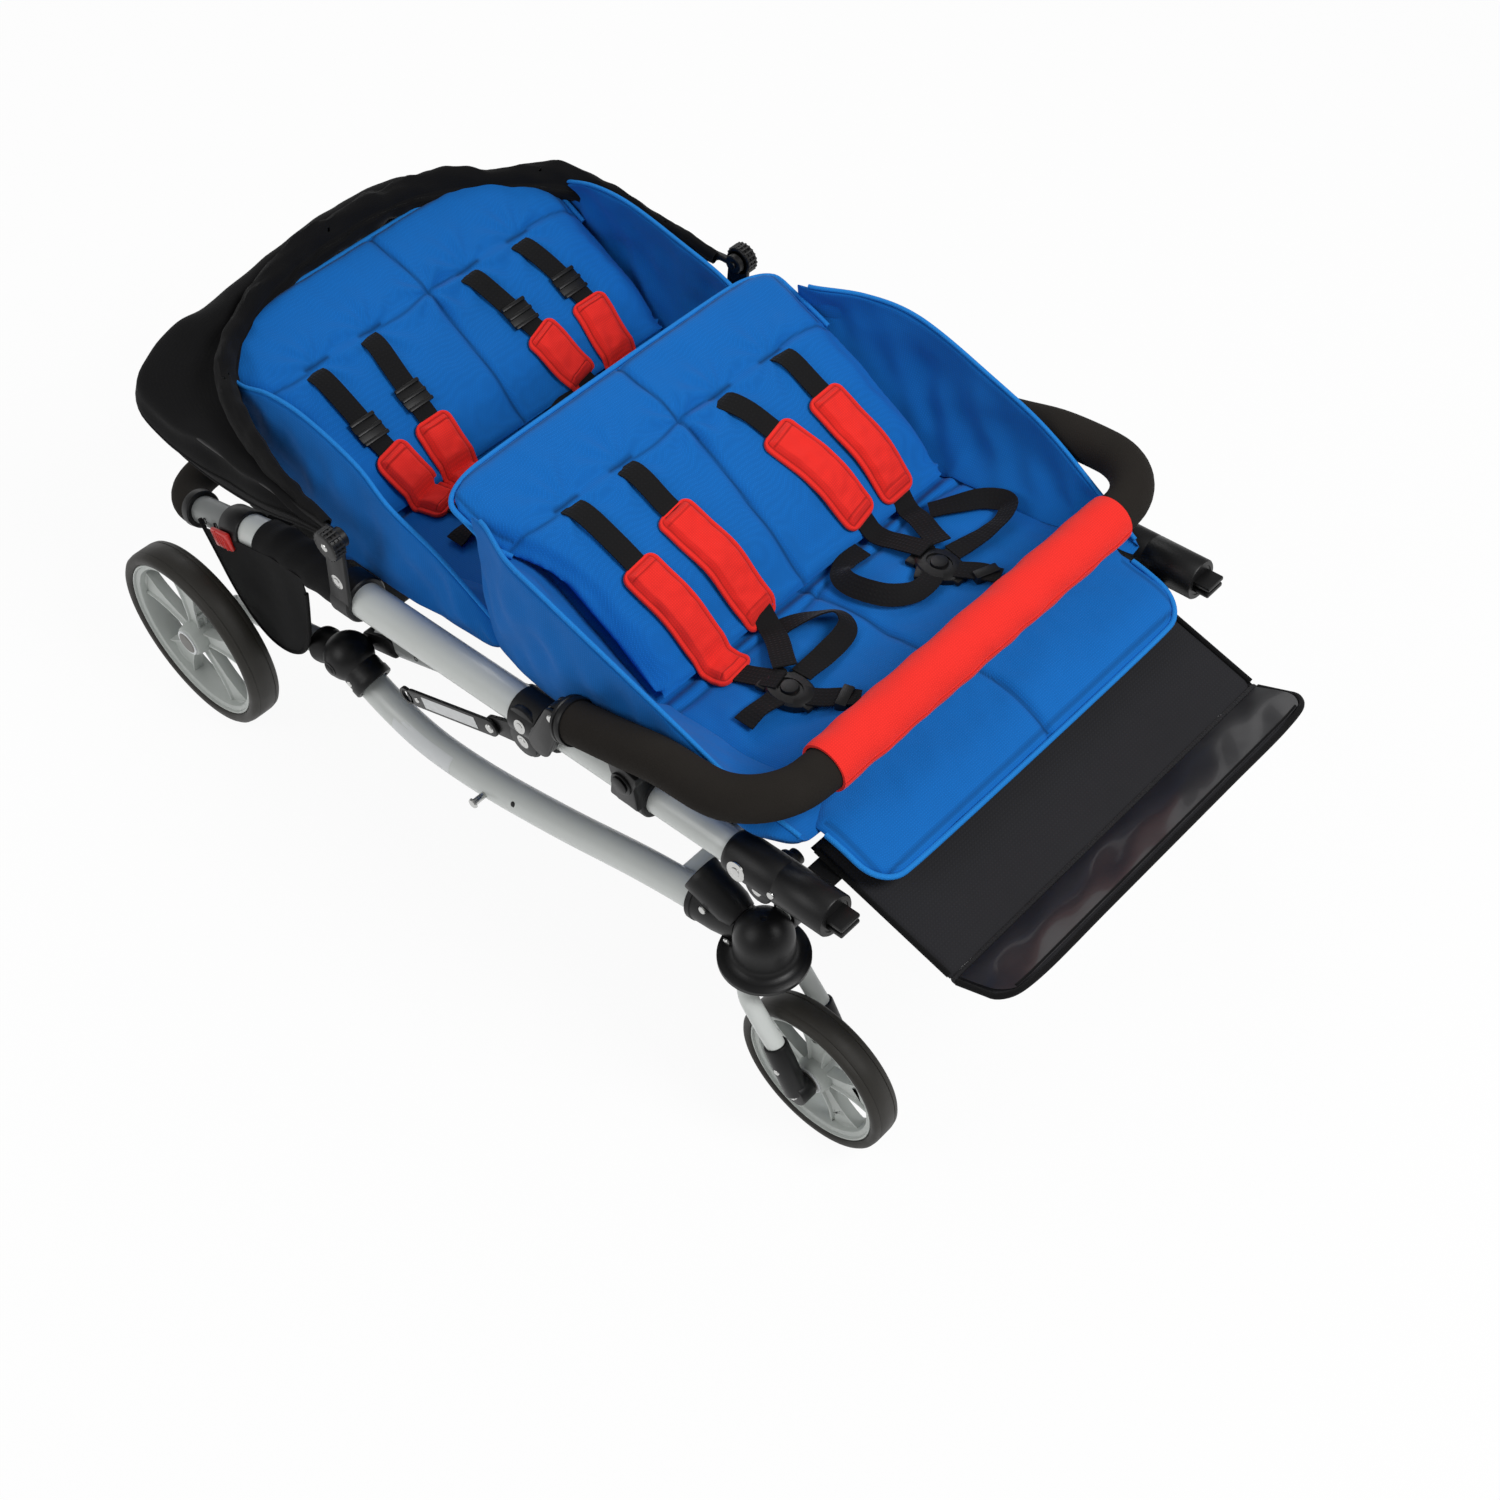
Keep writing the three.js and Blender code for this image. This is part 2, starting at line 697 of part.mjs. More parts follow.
function rearJoint(sign) {
  const x = sign * jointX;
  const first = basePoint(0, sign * frameHalfSpan);
  const next = basePoint(baseRouteShares[1][0], sign * frameHalfSpan);
  const socket = bar(vec(x, jointY, jointHeight), first.clone().lerp(next, 0.4), baseTubeRadius + cupWall, barFaces);
  const legEnd = vec(x, rearAxleY, rearTyreRadius);
  const legSocketEnd = vec(x, jointY, jointHeight).lerp(legEnd, 0.2);
  const legSocket = bar(vec(x, jointY, jointHeight), legSocketEnd, legRadius + cupWall, barFaces);
  const pin = crossBar(
    jointY, jointHeight, x, sign * (strutX - strutWidth / 2 - linkThickness), strutPinRadius,
  );
  const tubeRoom = sweep(baseRoute(sign * frameHalfSpan), baseTubeRadius + seatGap, baseSteps);
  const legRoom = bar(legStart(sign, -seatGap), legEnd, bored(legRadius));
  return join([ball(x, jointY, jointHeight, jointRadius), socket, legSocket]).subtract(tubeRoom)
    .subtract(legRoom).add(pin);
}

// Where a rear leg starts inside the joint
function legStart(sign, extra) {
  const from = vec(sign * jointX, jointY, jointHeight);
  const way = vec(0, rearAxleY - jointY, rearTyreRadius - jointHeight).normalize();
  return from.add(way.multiplyScalar(jointRadius / 2 + extra));
}

function rearAxle() {
  const spindle = rearWheelX + rearTyreHalfWidth - hubRadius / 4;
  const inner = rearWheelX - rearTyreHalfWidth - runningGap;
  const parts = [
    crossBar(rearAxleY, rearTyreRadius, -inner, inner, rearAxleRadius),
    crossBar(rearAxleY, rearTyreRadius, -spindle, spindle, rearSpindleRadius),
  ];
  for (const { sign } of sides) {
    const end = vec(sign * jointX, rearAxleY, rearTyreRadius);
    parts.push(bar(legStart(sign, 0), end, legRadius));
  }
  return join(parts);
}

function baseCrossTube() {
  const place = basePoint(baseCrossShare, 0);
  const reach = frameHalfSpan - baseTubeRadius - seatGap;
  return crossBar(place.y, place.z, -reach, reach, crossTubeRadius, barFaces);
}

function frontCrossTube() {
  const reach = strutX + strutWidth / 2 - housingLugWidth - seatGap;
  return crossBar(casterY, domeHeight + crossTubeRadius, -reach, reach, crossTubeRadius, barFaces);
}

// Tyre and rim of a wheel at a place in the side view
function tyre(x, y, radius, rimRadius, halfWidth) {
  const inner = rimRadius + seatGap;
  const shoulder = lerp(inner, radius, 0.62);
  const profile = [
    [inner, -halfWidth * 0.85], [shoulder, -halfWidth], [radius, -halfWidth * 0.4],
    [radius, halfWidth * 0.4], [shoulder, halfWidth], [inner, halfWidth * 0.85],
    [inner, -halfWidth * 0.85],
  ];
  return turnedAboutX(profile, y, radius, x);
}

function rim(x, y, radius, rimRadius, halfWidth, boreRadius, hubHalf, capSign) {
  const ringInner = rimRadius - ringDepth;
  const side = halfWidth * 0.78;
  const ring = turnedAboutX([
    [ringInner, -side * 0.8], [rimRadius, -side], [rimRadius, side], [ringInner, side * 0.8],
    [ringInner, -side * 0.8],
  ], y, radius, x);
  const hub = crossBar(y, radius, x - hubHalf, x + hubHalf, hubRadius, barFaces);
  const pieces = [ring, hub];
  for (let i = 0; i < spokeCount; i += 1) {
    const shape = new THREE.Shape();
    const tip = ringInner + ringDepth / 3;
    const root = hubRadius / 2;
    shape.moveTo(root, -spokeRootWidth / 2);
    shape.quadraticCurveTo(lerp(root, tip, 0.6), -spokeRootWidth / 2, tip, -spokeTipWidth / 2);
    shape.lineTo(tip, spokeTipWidth / 2);
    shape.quadraticCurveTo(lerp(root, tip, 0.6), spokeRootWidth / 2, root, spokeRootWidth / 2);
    shape.closePath();
    const geometry = new THREE.ExtrudeGeometry(shape, {
      depth: spokeThickness, bevelEnabled: false, curveSegments: 2,
    });
    geometry.rotateZ((2 * Math.PI * i) / spokeCount + Math.PI / 2);
    geometry.applyMatrix4(new THREE.Matrix4().makeBasis(vec(0, 1, 0), vec(0, 0, 1), vec(1, 0, 0)));
    geometry.translate(x - spokeThickness / 2, y, radius);
    pieces.push(solid(geometry));
  }
  const boreEnd = capSign ? x + capSign * (hubHalf - hubRadius / 8) : x + hubHalf + cutOverrun;
  const boreStart = capSign ? x - capSign * (hubHalf + cutOverrun) : x - hubHalf - cutOverrun;
  const bore = crossBar(y, radius, boreStart, boreEnd, boreRadius, barFaces);
  return join(pieces).subtract(bore);
}

function casterHousing(sign) {
  const x = sign * casterX;
  const skirt = bar(vec(x, casterY, skirtHeight), vec(x, casterY, skirtHeight + skirtThickness), skirtRadius, bigFaces);
  const neck = bar(vec(x, casterY, skirtHeight), vec(x, casterY, domeHeight), domeRadius, bigFaces);
  const dome = ball(x, casterY, domeHeight, domeRadius);
  const tubeX = sign * frameHalfSpan;
  const socket = bar(
    basePoint(baseSocketShare, tubeX), vec(x, casterY, basePoint(1, 0).z), baseTubeRadius + cupWall, barFaces,
  );
  const cupMouth = vec(tubeX, cupMouthY, cupMouthHeight);
  const cupRoot = vec(tubeX, cupRootY, cupRootHeight);
  const cup = bar(cupRoot, cupMouth, cupRadius, barFaces);
  const cupBottom = cupMouth.clone().lerp(cupRoot, cupDepth / cupMouth.distanceTo(cupRoot));
  const beyond = cupMouth.clone().add(cupMouth).sub(cupBottom);
  const cupRoom = bar(cupBottom, beyond, cupRadius - cupWall, barFaces);
  const lugOuter = frameHalfSpan - sleeveRadius - seatGap;
  const lugInner = strutX + strutWidth / 2 - housingLugWidth;
  const lug = sidePlate(
    capsule(casterY, domeHeight, foldPivotY, foldPivotHeight, housingLugRadius),
    sign * lugInner, sign * lugOuter,
  ).add(crossBar(casterY, domeHeight, sign * lugInner, x, housingLugRadius));
  const pinRoom = crossBar(
    foldPivotY, foldPivotHeight, 0, sign * (lugOuter + cutOverrun), bored(foldPinRadius),
  );
  const tubeRoom = sweep(baseRoute(tubeX), baseTubeRadius + seatGap, baseSteps);
  const stemRoom = bar(
    vec(x, casterY, skirtHeight - cutOverrun), vec(x, casterY, stemTopHeight + seatGap), bored(stemRadius),
  );
  const forkRoom = bar(
    vec(x, casterY, skirtHeight - cutOverrun), vec(x, casterY, skirtHeight), skirtRadius, bigFaces,
  );
  return join([skirt, neck, dome, socket, cup, lug]).subtract(forkRoom).subtract(cupRoom).subtract(pinRoom)
    .subtract(tubeRoom).subtract(stemRoom);
}

function fork(sign) {
  const x = sign * casterX;
  const crownTop = skirtHeight - seatGap;
  const crownBottom = crownTop - crownThickness;
  const parts = [
    bar(vec(x, casterY, crownBottom), vec(x, casterY, stemTopHeight), stemRadius),
    bar(vec(x, casterY, crownBottom), vec(x, casterY, crownTop), crownRadius, bigFaces),
    crossBar(frontAxleY, frontTyreRadius, x - forkBossOuter, x + forkBossOuter, frontAxleRadius),
  ];
  const bossInner = frontTyreHalfWidth + forkWheelGap;
  for (const way of [-1, 1]) {
    const out = (spread) => x + way * spread;
    const at = (share) => lerp(casterY, frontAxleY, share);
    const legTop = crownTop - crownThickness / 2;
    const legLow = lerp(legTop, frontTyreRadius, 0.62);
    parts.push(sweep([
      vec(out(crownRadius / 3), at(0), legTop - forkTubeRadius / 2),
      vec(out(forkHalfSpread * 0.85), at(0.03), legTop - forkTubeRadius / 2),
      vec(out(forkHalfSpread), at(0.2), lerp(legTop, legLow, 0.38)),
      vec(out(forkHalfSpread), at(0.68), legLow),
    ], forkTubeRadius, legSteps, smallFaces / 2));
    parts.push(bar(
      vec(out(forkHalfSpread), at(0.6), lerp(legTop, legLow, 0.86)),
      vec(out(forkHalfSpread), frontAxleY, frontTyreRadius), forkBlockRadius,
    ));
    parts.push(crossBar(
      frontAxleY, frontTyreRadius, out(bossInner), out(forkBossOuter - forkBossStep), forkBossRadius,
    ));
  }
  return join(parts);
}

// Handle: the tube slides in the main tubes, with foam over its rear part
function handleRoute(startY, radius) {
  const points = [];
  const turns = 5;
  const corner = handleCornerRadius;
  for (const { sign } of sides) {
    const straightEndY = handleEndY - corner - radius;
    const half = [vec(sign * frameHalfSpan, startY, handleAxisZ(startY))];
    if (straightEndY > startY) half.push(vec(sign * frameHalfSpan, straightEndY, handleAxisZ(straightEndY)));
    for (let i = 0; i <= turns; i += 1) {
      const angle = (i / turns) * (Math.PI / 2);
      const y = handleEndY - corner + corner * Math.sin(angle);
      half.push(vec(sign * (frameHalfSpan - corner + corner * Math.cos(angle)), y, handleAxisZ(y)));
    }
    half.push(vec(sign * (frameHalfSpan - corner - radius), handleEndY, handleAxisZ(handleEndY)));
    points.push(...(sign < 0 ? half : half.reverse()));
  }
  return sweep(points, radius, handleSteps, foamFaces);
}

function handleBar() {
  const tube = handleRoute(handleInsertY + seatGap, handleTubeRadius);
  return tube.add(handleRoute(gripStartY, gripRadius));
}

function handleLatch(sign) {
  const z = handleAxisZ(latchY);
  const base = frameHalfSpan + rearTubeRadius + latchTravel + seatGap;
  const pad = block(
    sign * base, sign * (base + latchThickness),
    latchY - latchLength / 2, latchY + latchLength / 2, z - latchHeight / 2, z + latchHeight / 2,
  );
  const stem = crossBar(
    latchY, z, sign * (frameHalfSpan + rearTubeRadius - seatGap), sign * (base + latchThickness / 2),
    latchStemRadius, smallFaces,
  );
  return pad.add(stem);
}

function canopyBracket(sign) {
  const x = sign * frameHalfSpan;
  const axis = frameAxisZ(canopyBracketY);
  const ringRadius = rearTubeRadius + canopyBracketThickness;
  const half = canopyBracketWidth / 2;
  const ring = bar(
    vec(x, canopyBracketY - half, frameAxisZ(canopyBracketY - half)),
    vec(x, canopyBracketY + half, frameAxisZ(canopyBracketY + half)), ringRadius, bigFaces,
  );
  const plateOuter = sign * (canopyHubInnerX + canopyBracketThickness);
  const plate = sidePlate(
    capsule(canopyBracketY, axis, canopyPivotY, canopyPivotHeight, half, canopyHubRadius),
    sign * canopyHubInnerX, plateOuter,
  );
  const hub = crossBar(
    canopyPivotY, canopyPivotHeight, sign * canopyHubInnerX, sign * canopyHubOuterX, canopyHubRadius,
  );
  const pin = crossBar(
    canopyPivotY, canopyPivotHeight, sign * (bowX - bowRadius - bowPinGap), sign * canopyHubOuterX, canopyPinRadius,
  );
  return join([ring, plate, hub, pin]).subtract(mainTube(sign, seatGap, false));
}

// A half of the canopy's U line, from its pivot side to the middle of the back, as shares of the way
function canopyLine(share, halfX, startY, endY, startZ, endZ, corner) {
  const straight = endY - corner - startY;
  const arc = (corner * Math.PI) / 2;
  const back = halfX - corner;
  const length = straight + arc + back;
  const distance = length * (1 - Math.abs(2 * share - 1));
  const sign = share < 0.5 ? -1 : 1;
  const lift = (y) => lerp(startZ, endZ, (y - startY) / (endY - startY));
  if (distance <= straight) {
    const y = startY + distance;
    return vec(sign * halfX, y, lift(y));
  }
  if (distance <= straight + arc) {
    const angle = (distance - straight) / corner;
    const y = endY - corner + corner * Math.sin(angle);
    return vec(sign * (halfX - corner + corner * Math.cos(angle)), y, lift(y));
  }
  return vec(sign * (halfX - corner - (distance - straight - arc)), endY, endZ);
}

const bowLine = (share) => canopyLine(
  share, bowX, canopyPivotY, bowRearY, canopyPivotHeight, bowRearHeight, bowCornerRadius,
);

function canopyBow() {
  const points = [];
  for (let i = 0; i <= bowSteps; i += 1) points.push(bowLine(i / bowSteps));
  let bow = sweep(points, bowRadius, bowSteps, wireFaces);
  for (const { sign } of sides) {
    const inner = sign * (bowX - bowRadius);
    const outer = sign * (bowX + bowRadius);
    bow = bow.add(crossBar(canopyPivotY, canopyPivotHeight, inner, outer, canopyHubRadius * 0.7));
    bow = bow.subtract(crossBar(
      canopyPivotY, canopyPivotHeight, sign * (bowX - cutOverrun), sign * (bowX + cutOverrun),
      bored(canopyPinRadius),
    ));
  }
  return bow;
}

function canopyCloth() {
  const inset = bowRadius + clothHalfThickness + 2 * seatGap;
  const band = [];
  for (const { sign } of sides) {
    const half = bandShares.map(([out, run, lift]) => vec(
      sign * out * bandX, lerp(bandFrontY, bandRearY, run), lerp(bandLowHeight, bandTopHeight, lift),
    ));
    band.push(...(sign < 0 ? half : half.reverse()));
  }
  const inner = new THREE.CatmullRomCurve3(band, false, 'centripetal');
  const middle = (u, v) => {
    const outer = canopyLine(
      u, bowX - inset, bandFrontY, bowRearY - inset, canopyPivotHeight, bowRearHeight, bowCornerRadius,
    );
    const point = inner.getPointAt(u).lerp(outer, v);
    point.z -= clothSag * Math.sin(Math.PI * v) * smooth(Math.sin(Math.PI * u), 0, 0.5);
    return point;
  };
  return padded(24, 3, middle, () => clothHalfThickness);
}

// Bumper bar: foam from its rear caps round the front, with a cover over the middle
function bumperPoints() {
  const points = [];
  const turns = 4;
  const arcY = bumperFrontY + bumperCorner;
  for (const { sign } of sides) {
    const half = [
      vec(sign * bumperX, bumperFoamStartY, bumperFoamStartHeight),
      vec(sign * bumperX, bumperBendY, bumperBendHeight),
    ];
    for (let i = 0; i <= turns; i += 1) {
      const angle = (i / turns) * (Math.PI / 2);
      half.push(vec(
        sign * (bumperX - bumperCorner + bumperCorner * Math.cos(angle)),
        arcY - bumperCorner * Math.sin(angle),
        lerp(bumperArcHeight, bumperFrontHeight, Math.sin(angle)),
      ));
    }
    half.push(vec(sign * coverReach, bumperFrontY, bumperFrontHeight));
    points.push(...(sign < 0 ? half : half.reverse()));
  }
  return points;
}

function bumperBar() {
  const foam = sweep(bumperPoints(), foamRadius, bumperSteps, foamFaces);
  const parts = [foam];
  for (const { sign } of sides) {
    const x = sign * bumperX;
    const start = vec(x, bumperFoamStartY, bumperFoamStartHeight);
    const pivot = vec(x, bumperPivotY, bumperPivotHeight);
    const way = pivot.clone().sub(start).normalize();
    parts.push(bar(start.clone().addScaledVector(way, -bumperCapLength), start, foamRadius + coverThickness));
    parts.push(sidePlate(
      capsule(bumperPivotY, bumperPivotHeight, bumperFoamStartY, bumperFoamStartHeight, bumperArmRadius),
      sign * (bumperX - bumperArmRadius / 2), sign * (bumperX + bumperArmRadius / 2),
    ));
  }
  let body = join(parts);
  for (const { sign } of sides) {
    body = body.subtract(crossBar(
      bumperPivotY, bumperPivotHeight, sign * (bumperX - cutOverrun), sign * (bumperX + cutOverrun),
      bored(bumperPinRadius),
    ));
  }
  return body;
}

function bumperCover() {
  const inside = bored(foamRadius);
  const outer = crossBar(
    bumperFrontY, bumperFrontHeight, -coverReach, coverReach, inside + coverThickness, bigFaces,
  );
  const inner = crossBar(
    bumperFrontY, bumperFrontHeight, -coverReach - cutOverrun, coverReach + cutOverrun, inside,
  );
  return outer.subtract(inner);
}

function bumperCatch(sign) {
  const x = sign * frameHalfSpan;
  const half = catchLength / 2;
  const at = (y) => vec(x, y, frameAxisZ(y));
  const outer = sign * (bumperX + catchWidth / 2);
  const ring = bar(at(catchY - half), at(catchY + half), catchRingRadius, barFaces);
  const post = block(
    sign * (bumperX - catchWidth / 2), outer, catchY - half, catchY + half,
    frameAxisZ(catchY), bumperBendHeight - foamRadius,
  );
  const well = crossBar(
    catchY, catchButtonHeight, outer - sign * (buttonTravel + 3 * buttonCapThickness),
    outer + sign * cutOverrun, bored(buttonStemRadius),
  );
  const foamRoom = sweep(bumperPoints(), foamRadius + seatGap, bumperSteps, foamFaces);
  return join([ring, post]).subtract(well).subtract(foamRoom).subtract(mainTube(sign, seatGap, false));
}

function catchButton(sign) {
  const face = bumperX + catchWidth / 2;
  const cap = face + buttonTravel + seatGap;
  const z = catchButtonHeight;
  const stem = crossBar(
    catchY, z, sign * (face - 2 * buttonCapThickness), sign * (cap + buttonCapThickness / 2), buttonStemRadius,
  );
  return stem.add(crossBar(catchY, z, sign * cap, sign * (cap + buttonCapThickness), buttonRadius));
}

// Seats
const rowPoint = (row, [run, lift]) => [
  rowFrontY + run * rowLength + row * rowSpacing,
  rowLowHeight + lift * rowRise - row * rowSpacing * Math.tan(frameRise),
];

const rowCurve = (row) => new THREE.CatmullRomCurve3(
  floorShares.map((pair) => vec(0, ...rowPoint(row, pair))), false, 'centripetal',
);

function heightOn(row, table, y) {
  const places = table.map((pair) => rowPoint(row, pair));
  const index = places.findIndex(([at]) => at >= y);
  const last = Math.max(1, index < 0 ? places.length - 1 : index);
  const [[y0, z0], [y1, z1]] = [places[last - 1], places[last]];
  return lerp(z0, z1, THREE.MathUtils.clamp((y - y0) / (y1 - y0), 0, 1));
}

// A channel of stitching at distance zero, fading out beside it
const channel = (distance) => channelDepth * Math.exp(-((distance / channelHalfWidth) ** 2));

const edgeFade = (share) => Math.sqrt(Math.max(0, 1 - (2 * share - 1) ** 8));

function seatLiner(row) {
  const curve = rowCurve(row);
  const places = wingShares[row].map(([run, lift, out]) => {
    const [y, z] = rowPoint(row, [run, lift]);
    return vec(out * frameHalfSpan, y, z);
  });
  const tieY = places[0].y;
  const wingTop = new THREE.CatmullRomCurve3(places, false, 'centripetal');
  const halfWidthAt = (y) => lerp(flapHalfWidth, seatHalfWidth, smooth(y, tieY, tieY + padThickness));
  const middle = (u, v) => {
    const place = curve.getPoint(v * linerEndShare);
    const crown = seatCrown * (1 - (2 * u - 1) ** 4) * Math.sin(Math.PI * Math.min(1, v / padStartShare));
    return vec(halfWidthAt(place.y) * (2 * u - 1), place.y, place.z - linerHalf + crown);
  };
  const half = (u, v, face) => {
    const thick = lerp(flapHalf, linerHalf, smooth(v, 0.05, 0.3));
    const seam = face > 0 ? seamShare * channel((2 * u - 1) * seatHalfWidth) : 0;
    return Math.max(thinnest, thick * edgeFade(u) * edgeFade(v) - seam);
  };
  const floor = padded(6, 17, middle, half);
  const wings = sides.map(({ sign }) => {
    const wingMiddle = (u, v) => {
      const top = wingTop.getPoint(v);
      const seat = heightOn(row, floorShares, top.y) - linerHalf;
      const root = vec(wingRootShare * seatHalfWidth, top.y, seat);
      top.z = Math.max(top.z, seat + padThickness);
      const place = root.lerp(top, u);
      place.x = sign * (place.x + wingBulge * Math.sin(Math.PI * u) * Math.sin(Math.PI * v));
      return place;
    };
    return padded(3, 7, wingMiddle, (u, v) => Math.max(thinnest, wingHalf * edgeFade(u) * edgeFade(v)));
  });
  const tabs = sides.map(({ sign }) => {
    const [y] = rowPoint(row, [seatTabShare, 0]);
    const radius = row ? rearTubeRadius : frontTubeRadius * Math.cos(Math.PI / barFaces);
    return block(
      sign * (seatHalfWidth - seatTabWidth), sign * (frameHalfSpan - radius - seatGap),
      y - seatTabLength / 2, y + seatTabLength / 2,
      frameAxisZ(y) - seatTabWidth / 2, heightOn(row, floorShares, y) - linerHalf,
    );
  });
  return join([floor, ...wings, ...tabs]);
}

function backrestPad(row, liner) {
  const curve = rowCurve(row);
  const half = padThickness / 2;
  const middle = (u, v) => {
    const run = lerp(padStartShare, 1, v);
    const place = curve.getPoint(run);
    const tangent = curve.getTangent(run);
    const round = 1 - padRound * Math.max(0, (v - padRoundStart) / (1 - padRoundStart)) ** 2;
    const normal = vec(0, -tangent.z, tangent.y);
    return vec((2 * u - 1) * padHalfWidth * round, place.y, place.z).addScaledVector(
      normal, half + padGap + padLift * (1 - smooth(v, 0, 0.3)),
    );
  };
  const thick = (u, v, face) => {
    const edge = edgeFade(u) * edgeFade(v);
    if (face < 0) return Math.max(thinnest, half * edge);
    const crown = padCrown * Math.abs(Math.sin(2 * Math.PI * u)) * Math.sin(Math.PI * v);
    const centre = channel((2 * u - 1) * padHalfWidth);
    const bands = padChannelShares.reduce(
      (sum, share) => sum + channel(((v - share) * rowLength) / 2), 0,
    );
    return Math.max(thinnest, (half - padCrown + crown) * edge - centre - bands * seamShare);
  };
  return padded(10, 9, middle, thick).subtract(liner.translate([0, 0, seatGap]));
}

function footrestPanel() {
  const way = vec(0, creaseY - footrestRearY, creaseHeight - footrestRearHeight).normalize();
  const end = vec(0, creaseY, creaseHeight).addScaledVector(way, -trayEdgeRadius - seatGap);
  const length = end.distanceTo(vec(0, footrestRearY, footrestRearHeight));
  const geometry = new THREE.BoxGeometry(2 * footrestHalfWidth, length, boardThickness);
  geometry.applyMatrix4(new THREE.Matrix4().makeBasis(vec(1, 0, 0), way.clone().negate(), vec(0, -way.z, way.y).negate()));
  const centre = end.clone().add(vec(0, footrestRearY, footrestRearHeight)).multiplyScalar(0.5);
  geometry.translate(centre.x, centre.y, centre.z);
  const parts = [solid(geometry)];
  for (const { sign } of sides) {
    parts.push(block(
      sign * (footrestHalfWidth - footrestTabLength), sign * (frameHalfSpan - sleeveRadius - seatGap),
      footrestRearY - footrestTabLength, footrestRearY,
      footrestRearHeight - boardThickness * 2, footrestRearHeight + boardThickness / 2,
    ));
  }
  return join(parts);
}

function footTray() {
  const corner = trayCornerRadius;
  const [w, l] = [footrestHalfWidth, trayReach];
  const shape = new THREE.Shape();
  shape.moveTo(-w, 0);
  shape.lineTo(w, 0);
  shape.lineTo(w, l - corner);
  shape.absarc(w - corner, l - corner, corner, 0, Math.PI / 2);
  shape.absarc(-w + corner, l - corner, corner, Math.PI / 2, Math.PI);
  shape.closePath();
  const geometry = new THREE.ExtrudeGeometry(shape, {
    depth: boardThickness, bevelEnabled: false, curveSegments: 6,
  });
  geometry.translate(0, 0, -boardThickness / 2);
  const out = vec(0, -Math.cos(trayTurn), Math.sin(trayTurn));
  const up = vec(0, Math.sin(trayTurn), Math.cos(trayTurn));
  geometry.applyMatrix4(new THREE.Matrix4().makeBasis(vec(-1, 0, 0), out, up));
  geometry.translate(0, creaseY, creaseHeight);
  return solid(geometry).add(crossBar(creaseY, creaseHeight, -w, w, trayEdgeRadius, smallFaces));
}

function basket() {
  const [w, wall] = [basketHalfWidth, basketWall];
  const shell = block(-w, w, basketFrontY, basketRearY, basketFloorHeight, basketRimHeight).subtract(block(
    -w + wall, w - wall, basketFrontY + wall, basketRearY - wall, basketFloorHeight + wall,
    basketRimHeight + cutOverrun,
  ));
  const parts = [shell];
  for (const { sign } of sides) {
    const reach = sign * (frameHalfSpan - rearTubeRadius - seatGap);
    parts.push(block(
      sign * (w - wall), sign * (w + basketTabThickness), basketFrontY, basketFrontY + basketTabLength,
      basketRimHeight - basketTabLength, frameAxisZ(basketFrontY),
    ));
    parts.push(block(
      sign * w, reach, basketFrontY, basketFrontY + basketTabLength,
      frameAxisZ(basketFrontY) - basketTabThickness, frameAxisZ(basketFrontY),
    ));
  }
  return join(parts);
}

// Puts a body made flat at the origin on the sloping seat where a buckle lies
function onSeat(body, row, sign) {
  const [y] = rowPoint(row, [buckleShare, 0]);
  const at = (place) => heightOn(row, floorShares, place);
  const slope = Math.atan2(at(y + buckleHalfWidth) - at(y - buckleHalfWidth), 2 * buckleHalfWidth);
  return body.rotate([THREE.MathUtils.radToDeg(slope), 0, 0]).translate([sign * buckleX, y, at(y)]);
}

function buckle(row, sign, liner) {
  const shape = new THREE.Shape().absellipse(0, 0, buckleHalfWidth, buckleHalfLength, 0, 2 * Math.PI);
  const geometry = new THREE.ExtrudeGeometry(shape, {
    depth: buckleThickness, bevelEnabled: false, curveSegments: tubeFaces,
  });
  const well = bar(
    vec(0, 0, buckleThickness - releaseWell - releaseTravel),
    vec(0, 0, buckleThickness + cutOverrun), bored(releaseRadius),
  );
  return onSeat(solid(geometry).subtract(well), row, sign).subtract(liner.translate([0, 0, seatGap]));
}

function buckleRelease(row, sign) {
  const low = buckleThickness - releaseWell + seatGap;
  return onSeat(bar(vec(0, 0, low), vec(0, 0, low + releaseHeight), releaseRadius), row, sign);
}

// Materials
const finish = (color, roughness, metalness = 0) => () => new THREE.MeshStandardMaterial({
  color, roughness, metalness,
});
const silver = finish(0xdfe3e2, 0.38, 0.35);
const grey = finish(0x9ea1a0, 0.42, 0.35);
const blackPlastic = finish(0x18181a, 0.45);
const foam = finish(0x2b2926, 0.9);
const rubber = finish(0x32302c, 0.65);
const rimPlastic = finish(0xb9bebb, 0.5);
const blueCloth = finish(0x1e64be, 0.85);
const blackCloth = finish(0x19191a, 0.9);
const redCloth = finish(0xf0403a, 0.8);
const redPlastic = finish(0xc8201c, 0.4);
const boardCloth = finish(0x26262a, 0.8);

const stroller = new THREE.Group();

function add(name, body, material) {
  const mesh = new THREE.Mesh(geometryOf(body), material());
  mesh.name = name;
  stroller.add(mesh);
}

const liners = [seatLiner(0), seatLiner(1)];

